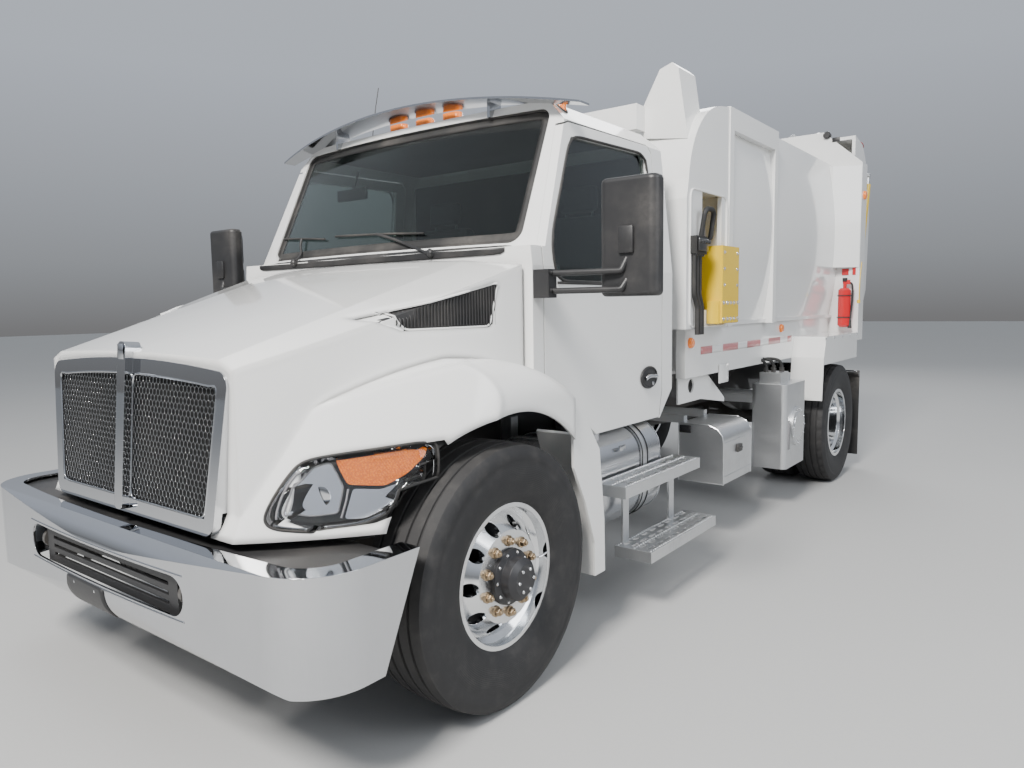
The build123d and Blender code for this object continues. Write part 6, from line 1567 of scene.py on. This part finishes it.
@dataclass
class CabTrim:
    """Glass borders, wipers, handles, mirror glass, visor bolts, lamps, seats, and a black inner lining painted as
    shade.
    """

    shop: Workshop
    frit: float = 44.0
    seat: float = 520.0
    mirror: float = 1440.0
    mirror_half: float = 104.0
    mirror_face: float = 1570.0
    mirror_heights = ((1650, 1858), (1874, 2068))
    pivot_face: float = 1120.5

    screen = ((-903, 1870), (903, 1870), (885, 2503), (-885, 2503))
    cowl = ((-915, 1812), (915, 1812), (905, 1858), (-905, 1858))
    window = ((1562, 1725), (1562, 1883), (1800, 2364), (2538, 2386), (2538, 1702), (1600, 1702))
    blades = (
        ((-326, 1977), (-100, 1968), (120, 1958), (341, 1945)),
        ((-880, 2004), (-740, 1994), (-580, 1982), (-420, 1968)),
    )
    arms = (
        ((462, 1836), (330, 1872), (170, 1925), (20, 1964)),
        ((-566, 1840), (-600, 1890), (-640, 1950), (-650, 1986)),
    )
    pivot = ((0, 0), (0, 0.020), (0.022, 0.017), (0.028, 0.010), (0.028, 0))
    # Black sheets on the cab's back wall, roof and floor: inner lining made near black as painted shade for the inside
    # seen through the glass.
    lining = (
        ((-900, 2680, 1150), (900, 2697, 2420), 0.008),
        ((-850, 1850, 2488), (850, 2680, 2504), 0.007),
        ((-930, 1560, 1129), (930, 2690, 1141), 0.005),
    )
    inner_mirror = ((-500, 1650, 2185), (-260, 1668, 2250), 0.008)
    inner_stem = ((-380, 1664, 2240), (-380, 1690, 2300), (-380, 1712, 2350))
    cup_middle: Flat = (2452, 1194)
    cup_half: Flat = (92, 56)
    handle = ((2388, 1192), (2440, 1202), (2512, 1196))
    lock_spot = (2490, 1160)
    lock = ((0, 0), (0, 0.013), (0.008, 0.012), (0.010, 0))
    pads = (
        ("cushion", 240, (2125, 1432), (2500, 1560), 3),
        ("back", 235, (2490, 1520), (2590, 2100), -7),
        ("headrest", 128, (2545, 2120), (2608, 2275), -7),
    )
    lamp_places = (-850, -200, 0, 200, 850)
    bolt_places = (-780, -560, -280, 0, 280, 560, 780)
    aerial_foot = ((0, 0), (0, 0.018), (0.012, 0.016), (0.030, 0.006), (0.032, 0))
    aerial_line = ((0, 0, 0.02), (0, 0.03, 0.2), (0, 0.07, 0.38))
    wheel_middle = (520, 1990, 1640)
    wheel_axis = (0, 0.55, 0.83)
    wheel_radius: float = 0.215
    boss = ((0.01, 0), (0.01, 0.045), (-0.03, 0.055), (-0.045, 0.03), (-0.045, 0))

    def build(self) -> None:
        """Build the cab's trim."""
        shop = self.shop
        shop.dress(WHITE, "cab_shell", "door_left", "door_right", "fender_extensions")
        shop.dress(GLASS, "cab_glass", "door_glass_left", "door_glass_right")
        shop.dress(GREY_PLASTIC, "dashboard")
        shop.dress(VISOR_STEEL, "sun_visor")
        shop.dress(AMBER, "roof_lamps")
        shop.dress(BLACK_PLASTIC, "mirrors")
        self.windscreen()
        for side in shop.sides():
            self.door(f"door_{side}")
        self.mirror_faces()
        self.seating()
        self.roof()
        self.controls()

    def windscreen(self) -> None:
        """Build the dark border, cowl band, wipers, the black inner lining of painted shade and the inside mirror."""
        shop = self.shop
        glass = Skin(View.FRONT, "cab_glass")
        rim = glass.border(self.screen, self.frit, 0.0012, 120)
        shop.piece("screen_border", rim, BLACK_RUBBER, "truck", smooth=60, thick=0.0012)
        shop.piece("screen_seal", glass.bead(self.screen, 0.007, 0.004, 120), BLACK_RUBBER, "truck")
        band = Skin(View.FRONT, "cab_shell").filled(self.cowl, 0.003, 96, 4)
        shop.piece("cowl_band", band, BLACK_PLASTIC, "truck", smooth=60, thick=0.004)
        both = Skin(View.FRONT, "cab_glass", "cab_shell")
        rubber, arms = Shape(), Shape()
        for blade, arm in zip(self.blades, self.arms):
            rubber.tube(both.laid(blade, 0.010), 0.006, 8, 4)
            arms.tube(both.laid(arm, 0.020), 0.007, 8, 4)
            arms.lathe(self.pivot, both.spot(arm[0], 0.002), Vector((0, -1, 0.5)), 16)
        # The black sheets inside the cab stand in for the shade of its inside.
        shop.pieces(
            "truck", wiper_rubbers=(rubber, BLACK_RUBBER), wiper_arms=(arms, BLACK_PLASTIC),
            cab_lining=(Shape().boxes(*self.lining), BLACK_PLASTIC),
        )
        inner = Shape().boxes(self.inner_mirror).tube(path(*self.inner_stem), 0.006, 8)
        shop.piece("inside_mirror", inner, BLACK_PLASTIC, "truck")

    def door(self, body: str) -> None:
        """Build the window seals and the handle of one door.

        Args:
            body: the door's body.
        """
        skin = Skin(View.LEFT, "door_left")
        seal = skin.bead(shrink(resample(self.window, 96), -7), 0.007, 0.0015, 96)
        strip = Shape().tube(skin.laid([(s, 1688) for s in range(1580, 2541, 80)], 0.003), 0.006, 8, 2)
        (a, b), (wide, tall) = self.cup_middle, self.cup_half
        oval = [(a + wide * c, b + tall * s) for c, s in circle(24)]
        lever = Shape().tube(skin.laid(self.handle, 0.020), 0.011, 10, 4)
        lever.lathe(self.lock, skin.spot(self.lock_spot, 0.004), OUT, 18)
        for name, shape, finish, thick in (
            ("window_seal", seal, BLACK_RUBBER, 0),
            ("window_sill_strip", strip, BLACK_RUBBER, 0),
            ("handle_cup", skin.filled(oval, 0.004, 40, 4), BLACK_PLASTIC, 0.006),
            ("handle_ring", skin.bead(oval, 0.006, 0.006, 40), BLACK_PLASTIC, 0),
            ("handle_lever", lever, CHROME, 0),
        ):
            self.shop.piece(name, shape, finish, body, thick=thick)

    def mirror_faces(self) -> None:
        """Build the mirror glasses, their rims and the pivot blocks."""
        shop = self.shop
        glass, rim, pivot = Shape(), Shape(), Shape()
        for hand in HANDS:
            middle = hand * self.mirror
            for low, high in self.mirror_heights:
                half = self.mirror_half
                outline = resample([(-half, low), (half, low), (half, high), (-half, high)], 48)
                points = [at(middle + x, self.mirror_face, z) for x, z in outline]
                glass.prism(points, Vector((0, 0.0015, 0)))
                rim.loop(points, 0.004)
            pivot.boxes(((middle - 34, 1466, 1790), (middle + 34, 1484, 1900), 0.008))
            for height in (1652, 1726):
                for station in (1408, 1442):
                    pivot.nut(at(hand * self.pivot_face, station, height), OUT * hand, 0.008, 0.007)
        shop.piece("mirror_glasses", glass, MIRROR_GLASS, "truck", slot="chrome")
        shop.pieces("truck", mirror_rims=(rim, BLACK_PLASTIC), mirror_pivots=(pivot, BLACK_PLASTIC))

    def seating(self) -> None:
        """Build the cushions, backs and headrests over their stands."""
        shop = self.shop
        stands = Shape()
        for hand in HANDS:
            middle = hand * self.seat
            stands.boxes(((middle - 188, 2192, 998), (middle + 188, 2518, 1436), 0.02))
            for x in (middle - 90, middle + 90):
                stands.tube(path((x, 2580, 2060), (x, 2582, 2160)), 0.008, 8)
        shop.piece("seat_stands", stands, GREY_PLASTIC, "truck", ("seats",))
        for hand, side in zip(HANDS, ("left", "right")):
            middle = hand * self.seat
            for name, half, low, high, lean in self.pads:
                turn = Matrix.Rotation(math.radians(lean), 3, "X")
                shape = Shape().box(at(middle - half, *low), at(middle + half, *high), 0.034, turn)
                bmesh.ops.subdivide_edges(shape.bm, edges=shape.bm.edges[:], cuts=2, use_grid_fill=True)
                made = shop.piece(f"seat_{name}_{side}", shape, SEAT_CLOTH, "truck", smooth=80, layers=1)

    def roof(self) -> None:
        """Build the lamp feet, the visor's bolts and the aerial."""
        shop = self.shop
        shell, visor = Skin(View.TOP, "cab_shell"), Skin(View.TOP, "sun_visor")
        feet, bolts = Shape(), Shape()
        for x in self.lamp_places:
            feet.loop(shell.laid([(x + 66 * c, 1856 + 34 * s) for c, s in circle(24)], 0.003), 0.005)
        for x in self.bolt_places:
            bolts.nut(visor.spot((x, 1788), 0.0), UP, 0.007, 0.006, 0.010)
        start = shell.spot((-640, 2050), 0.0)
        aerial = Shape().lathe(self.aerial_foot, start, UP, 16)
        aerial.tube([start + Vector(step) for step in self.aerial_line], 0.003)
        shop.pieces(
            "truck", roof_lamp_feet=(feet, BLACK_RUBBER), visor_bolts=(bolts, ROD_STEEL),
            aerial=(aerial, BLACK_PLASTIC),
        )

    def controls(self) -> None:
        """Build the steering wheel and column."""
        centre = at(*self.wheel_middle)
        axis = Vector(self.wheel_axis).normalized()
        other = axis.cross(OUT)
        wheel = Shape().loop([centre + (OUT * c + other * s) * self.wheel_radius for c, s in circle(32)], 0.014, 10)
        for c, s in circle(3, 0.75):
            out = OUT * c + other * s
            wheel.tube([centre - axis * 0.02, centre + out * 0.1, centre + out * 0.21], 0.010, 8, 3)
        wheel.lathe(self.boss, centre, axis, 20)
        wheel.tube([centre - axis * 0.03, centre - axis * 0.28], 0.026, 12, 1)
        self.shop.piece("steering_wheel", wheel, BLACK_PLASTIC, "truck")


@dataclass
class SideGear:
    """Tank straps and caps, step teeth, tool box latch and hydraulic fittings."""

    shop: Workshop
    strap_middle: Flat = (750, 665)
    strap_flats: Flat = (80, 95)
    strap_radius: float = 170
    strap_edges = (1930, 1990, 2450, 2510)
    tank_ends = (1806, 2674)
    cap = ((0, 0.055), (0.006, 0.062), (0.034, 0.062), (0.040, 0.055), (0.042, 0.02), (0.042, 0))
    cap_bar = ((-0.05, 0, 0.046), (0, 0, 0.058), (0.05, 0, 0.046))
    treads = ((1020, 1190, 1930, 2800, 710), (1030, 1240, 2100, 2920, 350))
    tooth = ((0, 0.006), (0.004, 0.004), (0.0045, 0))
    tooth_pitch: float = 24.0
    tooth_inset: float = 12.0
    tooth_margins: Flat = (20.0, 10.0)
    box_section = ((1000, 800), (790, 800), (790, 420), (1100, 420), (1100, 690), (1090, 735), (1060, 776))
    cover = ((0, 0.112), (0.004, 0.108), (0.005, 0.02), (0.005, 0))
    cover_middle = (4660, 640)
    union = ((0, 0.020), (0.03, 0.020), (0.034, 0.014), (0.05, 0.014), (0.05, 0))
    red_fitting = ((0, 0.024), (0.02, 0.028), (0.05, 0.028), (0.06, 0.012), (0.06, 0))
    hose_ends = ((985, 4500), (1030, 4540), (1075, 4590))

    def build(self) -> None:
        """Build the fittings between the axles."""
        shop = self.shop
        shop.dress(POLISHED, "fuel_tanks")
        shop.dress(ALUMINIUM, "steps", "tool_box", "hydraulic_tank")
        self.tanks()
        self.step_teeth()
        self.tool_box()
        self.hydraulic_tank()

    def tanks(self) -> None:
        """Build strap edges, filler caps, latches and tank end seams."""
        edges, caps, seams = Shape(), Shape(), Shape()
        (x, z), (half, rise), radius = self.strap_middle, self.strap_flats, self.strap_radius
        ring = [
            (x + (half if c > 0 else -half) + radius * c, z + (rise if s > 0 else -rise) + radius * s)
            for c, s in circle(64)
        ]
        for hand in HANDS:
            for shape, stations, inset, wire in (
                (edges, self.strap_edges, -8.5, 0.0035), (seams, self.tank_ends, -1.0, 0.003),
            ):
                for station in stations:
                    shape.loop([at(hand * x, station, z) for x, z in shrink(ring, inset)], wire, 6)
            base = at(hand * 880, 2090, 940)
            caps.lathe(self.cap, base, UP, 32).tube([base + Vector(step) for step in self.cap_bar], 0.006)
            caps.boxes(((hand * 1003 - 6, 2200, 824), (hand * 1003 + 6, 2260, 852), 0.003))
        self.shop.pieces(
            "truck", strap_edges=(edges, BLACK_RUBBER), tank_seams=(seams, POLISHED), tank_caps=(caps, CHROME),
        )

    def step_teeth(self) -> None:
        """Build raised teeth round the slots of both steps."""
        teeth = Shape()
        for hand in HANDS:
            for x_low, x_high, first, last, top in self.treads:
                for x in (x_low + self.tooth_inset, (x_low + x_high) / 2, x_high - self.tooth_inset):
                    station = first + self.tooth_margins[0]
                    while station < last - self.tooth_margins[1]:
                        teeth.lathe(self.tooth, at(hand * x, station, top - 0.5), UP, 6)
                        station += self.tooth_pitch
        self.shop.piece("step_teeth", teeth, ALUMINIUM, "truck")

    def tool_box(self) -> None:
        """Build the tool box's lid edge, latch and hinges."""
        edge = Shape()
        for station in (3381, 3879):
            edge.loop([at(x, station, z) for x, z in self.box_section], 0.0045, 6)
        for z in (470, 690):
            edge.tube(path((1101, 3400, z), (1101, 3860, z)), 0.003, 6, 1)
        latch = Shape().boxes(((1100, 3600, 600), (1116, 3680, 650), 0.004))
        latch.tube(path((1116, 3610, 625), (1122, 3640, 625), (1116, 3670, 625)), 0.006, 8)
        latch.boxes(((800, 3368, 740), (880, 3380, 790), 0.004))
        self.shop.pieces("truck", tool_box_welds=(edge, ALUMINIUM), tool_box_latches=(latch, BLACK_PLASTIC))

    def hydraulic_tank(self) -> None:
        """Build the tank's bolted cover, hoses, red fitting and sight glass."""
        shop = self.shop
        bolts = Shape().nut_ring(1190, self.cover_middle, (132, 12), 0.0, 0.008, 0.007, 0.011)
        bolts.lathe(self.cover, at(1190, *self.cover_middle), OUT, 40)
        hoses = Shape()
        for x, station in self.hose_ends:
            hoses.lathe(self.union, at(x, station, 1060), UP, 6)
            bends = ((0, 0, 1105), (20, 30, 1150), (120, 40, 1155), (330, 40, 1100), (420, 40, 1000))
            hoses.tube([at(x - inwards, station - ahead, z) for inwards, ahead, z in bends], 0.012, 10)
        red = Shape().lathe(self.red_fitting, at(940, 4522, 900), Vector((-1, 0, 0.1)), 20)
        sight = Shape().boxes(((1168, 4470, 480), (1176, 4500, 700), 0.003))
        shop.pieces(
            "truck", tank_cover_bolts=(bolts, ROD_STEEL), tank_hoses=(hoses, BLACK_RUBBER),
            tank_red_fitting=(red, RED_PAINT), tank_sight_glass=(sight, GREY_PLASTIC),
        )


def drum(radius: float, face: float, height: float, tip: float) -> list[Flat]:
    """Profile of a small round lamp, in metres: straight side, slanted shoulder and flat face."""
    return [(0, radius), (height, radius), (tip, face), (tip + 0.002, 0)]


@dataclass
class BodyTrim:
    """Tape, lamps, bolts, rod, eyes and fittings of the tipping body, its ring and the tailgate."""

    shop: Workshop
    bay = ((2995, 1446), (3552, 1446), (3552, 2262), (2995, 2262))
    bay_face: float = 1.033
    housing_bolts = (
        ((3300, 3360, 3415, 3470, 3530), (1490, 1590), (0.009, 0.008, 0.013)),
        ((3310, 3520), (1700, 1800, 1900), (0.007, 0.006, 0.011)),
    )
    port = ((0, 0.012), (0.012, 0.012), (0.016, 0.006), (0.016, 0))
    plug = ((0, 0.017), (0.02, 0.017), (0.02, 0))
    prop = ((1216, 6322, 1598), (1216, 6330, 1780), (1214, 6388, 1950))
    prop_foot = ((0, 0.016), (0.03, 0.016), (0.03, 0))
    beacon = ((0, 0.030), (0.05, 0.034), (0.06, 0.026), (0.06, 0))
    signs = (((1068, 6302, 1830), (1128, 6310, 1890), 0.003), ((1160, 6302, 1830), (1190, 6310, 1920), 0.003))
    lamp_ring = ((0, 0.062), (0.010, 0.062), (0.016, 0.055), (0.010, 0.051), (0.0, 0.051))
    ring_places = (-730, -560, 560, 730)
    clamp_places = (830, 940, 1060, 1180)
    seam_half: int = 1010
    seam_heights = (1400, 2210, 3020)
    bottle: Flat = (1112, 6246)
    bottle_hose = ((1130, 6250, 1762), (1176, 6246, 1740), (1180, 6246, 1600), (1172, 6240, 1480), (1166, 6236, 1420))
    horn = ((0, 0.012), (0.05, 0.015), (0.08, 0.018), (0.08, 0))
    gauge = ((0, 0.022), (0.03, 0.022), (0.034, 0.014), (0.034, 0))

    def build(self) -> None:
        """Build the body's pieces."""
        shop = self.shop
        shop.dress(WHITE, "body_shell", "rear_ring", "rear_fenders", "tailgate")
        shop.dress(WORN_WHITE, "packer_blade")
        shop.dress(YELLOW, "arm_housing", "arm_slide", "lift_arm", "finger_front", "finger_rear", "gate_barrels")
        shop.dress(FLAP_RUBBER, "mudflaps")
        shop.dress(RED_LENS, "rear_lamps")
        shop.dress(RED_PAINT, "fire_extinguisher")
        shop.dress(BLACK_RUBBER, "hoses")
        for _ in shop.sides():
            self.tape()
        self.arm_bay()
        self.ring()
        self.rear_bar()
        self.tailgate()
        self.extinguisher()

    def tape(self) -> None:
        """Build one side's marking tape and lamps."""
        skin = Skin(View.LEFT, "body_shell")
        rows = [skin.laid([(s, z) for s in range(3330, 5191, 60)], 0.0012) for z in (1262, 1280, 1312)]
        self.shop.piece("side_tape", Shape().grid(rows), TAPE, "tipping_body", thick=0.0012, slot="red_lens")
        lamps = Shape()
        for place in ((3167, 1344), (4900, 1380)):
            lamps.lathe(drum(0.034, 0.026, 0.012, 0.022), skin.spot(place, 0.0), OUT)
        self.shop.piece("side_lamps", lamps, AMBER, "tipping_body")

    def arm_bay(self) -> None:
        """Build bolts, lips and pipes round the arm's housing."""
        shop = self.shop
        bolts, lines, block = Shape(), Shape(), Shape()
        for stations, heights, nut in self.housing_bolts:
            for station in stations:
                for height in heights:
                    bolts.nut(at(1120, station, height), OUT, *nut)
        line = Skin(View.LEFT, "body_shell", "arm_housing").laid(resample(self.bay, 80), 0.002)
        lip = Shape().loop([Vector((self.bay_face, p.y, p.z)) for p in line], 0.006)
        for k, z in enumerate((2040, 2085, 2130)):
            bends = path((1000, 3000, z), (1006, 3120, z + 12), (1004, 3230, z - 8), (1000, 3270, z - 60 - 30 * k))
            lines.tube(bends, 0.010, 10)
        shop.pieces(
            "tipping_body", housing_bolts=(bolts, ROD_STEEL), bay_lip=(lip, WHITE), bay_pipes=(lines, GREY_PLASTIC),
        )
        block.boxes(((1077, 3000, 1896), (1092, 3130, 1970), 0.004))
        for station in (3015, 3050, 3085, 3118):
            block.lathe(self.port, at(1092, station, 1950), OUT, 6)
            block.lathe(self.plug, at(1055, station, 1868), UP, 6)
        shop.piece("valve_block", block, BLACK_PAINT, "tipping_body")
        plate = Shape().boxes(((962, 3620, 1050), (972, 3780, 1178), 0.004))
        shop.piece("bracket_plate", plate, WHITE, "tipping_body")

    def ring(self) -> None:
        """Build the ring's lamps, prop rod, sign plates and lifting eyes."""
        shop = self.shop
        rod = Shape().tube(path(*self.prop), 0.010, 10).lathe(self.prop_foot, at(1216, 6322, 1570), UP, 16)
        shop.piece("prop_rod", rod, YELLOW, "tipping_body")
        eyes, amber, black = Shape(), Shape(), Shape()
        for hand in HANDS:
            centre = at(hand * 560, 6400, 3150)
            eyes.tube([centre + Vector((0.045 * c, 0, 0.002 + 0.04 * s)) for c, s in circle(16)[:9]], 0.008, 8, 2)
            amber.lathe(drum(0.040, 0.030, 0.014, 0.026), at(hand * 1216, 6400, 2560), OUT * hand)
            black.boxes(((hand * 984 - 34, 6300, 3060), (hand * 984 + 34, 6312, 3100), 0.004))
            black.lathe(self.beacon, at(hand * 905, 6340, 3128), AHEAD)
        shop.pieces(
            "tipping_body", lifting_eyes=(eyes, ROD_STEEL), ring_side_lamps=(amber, AMBER),
            ring_top_lamps=(black, BLACK_PLASTIC), ring_sign_plates=(Shape().boxes(*self.signs), RED_PAINT),
        )

    def rear_bar(self) -> None:
        """Build the rear bar's lamp rings and the fenders' studs."""
        rings, studs = Shape(), Shape()
        for x in self.ring_places:
            rings.lathe(self.lamp_ring, at(x, 6521, 880), BACK, 32)
        self.shop.piece("rear_lamp_rings", rings, BLACK_RUBBER, "truck")
        for hand in HANDS:
            for station in range(5240, 6281, 260):
                studs.nut(at(hand * 1220, station, 1284), OUT * hand, 0.008, 0.006, 0.012)
        self.shop.piece("fender_studs", studs, ROD_STEEL, "tipping_body")

    def tailgate(self) -> None:
        """Build the tailgate's weld lines, tape and lamps, and the flaps' clamps."""
        shop = self.shop
        skin = Skin(View.REAR, "tailgate")
        seams, red, amber, clamps = Shape(), Shape(), Shape(), Shape()
        half = self.seam_half
        lines = [[(x, z) for z in range(1400, 3021, 60)] for x in (-half, -340, 340, half)]
        lines += [[(x, height) for x in range(-half, half + 1, 101)] for height in self.seam_heights]
        for line in lines:
            seams.tube(skin.laid(line, -0.003), 0.006, 8, 1)
        shop.piece("tailgate_seams", seams, WHITE, "tailgate")
        rows = [skin.laid([(x, z) for x in range(-990, 991, 60)], 0.0012) for z in (1330, 1350, 1380)]
        shop.piece("rear_tape", Shape().grid(rows), REAR_TAPE, "tailgate", thick=0.0012, slot="red_lens")
        for hand in HANDS:
            for x, shape in ((1060, red), (930, amber)):
                base = skin.spot((hand * x, 3080), 0.0)
                shape.lathe(drum(0.050, 0.036, 0.014, 0.024), base, Vector((0, 1, 0.6)), 28)
        shop.pieces("tailgate", tailgate_red_lamps=(red, RED_LENS), tailgate_amber_lamps=(amber, AMBER))
        for hand in HANDS:
            for x in self.clamp_places:
                clamps.boxes(((hand * x - 14, 6452, 895), (hand * x + 14, 6462, 930), 0.003))
        shop.piece("flap_clamps", clamps, ROD_STEEL, "truck")

    def extinguisher(self) -> None:
        """Build the extinguisher's hose, straps and gauge."""
        x, station = self.bottle
        hose = Shape().tube(path(*self.bottle_hose), 0.009, 10)
        hose.lathe(self.horn, at(*self.bottle_hose[-1]), Vector((0, 0, -1)), 16)
        hose.lathe(self.gauge, at(x, station, 1770), UP, 20)
        straps = Shape()
        for height in (1440, 1640):
            straps.loop([at(x + 59 * c, station + 59 * s, height) for c, s in circle(24)], 0.005)
        self.shop.pieces(
            "tipping_body", extinguisher_hose=(hose, BLACK_RUBBER), extinguisher_straps=(straps, BLACK_PLASTIC),
        )


def main() -> None:
    """Build the studio, then the truck's pieces in order, and update the scene."""
    logging.basicConfig(level=logging.INFO, format="%(message)s")
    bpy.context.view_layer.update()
    shop = Workshop()
    Studio().build()
    for part in (Running, Grille, HoodTrim, BumperTrim, CabTrim, SideGear, BodyTrim):
        part(shop).build()
        log.info("finished %s", part.__name__)
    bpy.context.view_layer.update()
    log.info("made %d pieces", shop.count)


if __name__ == "__main__":
    main()
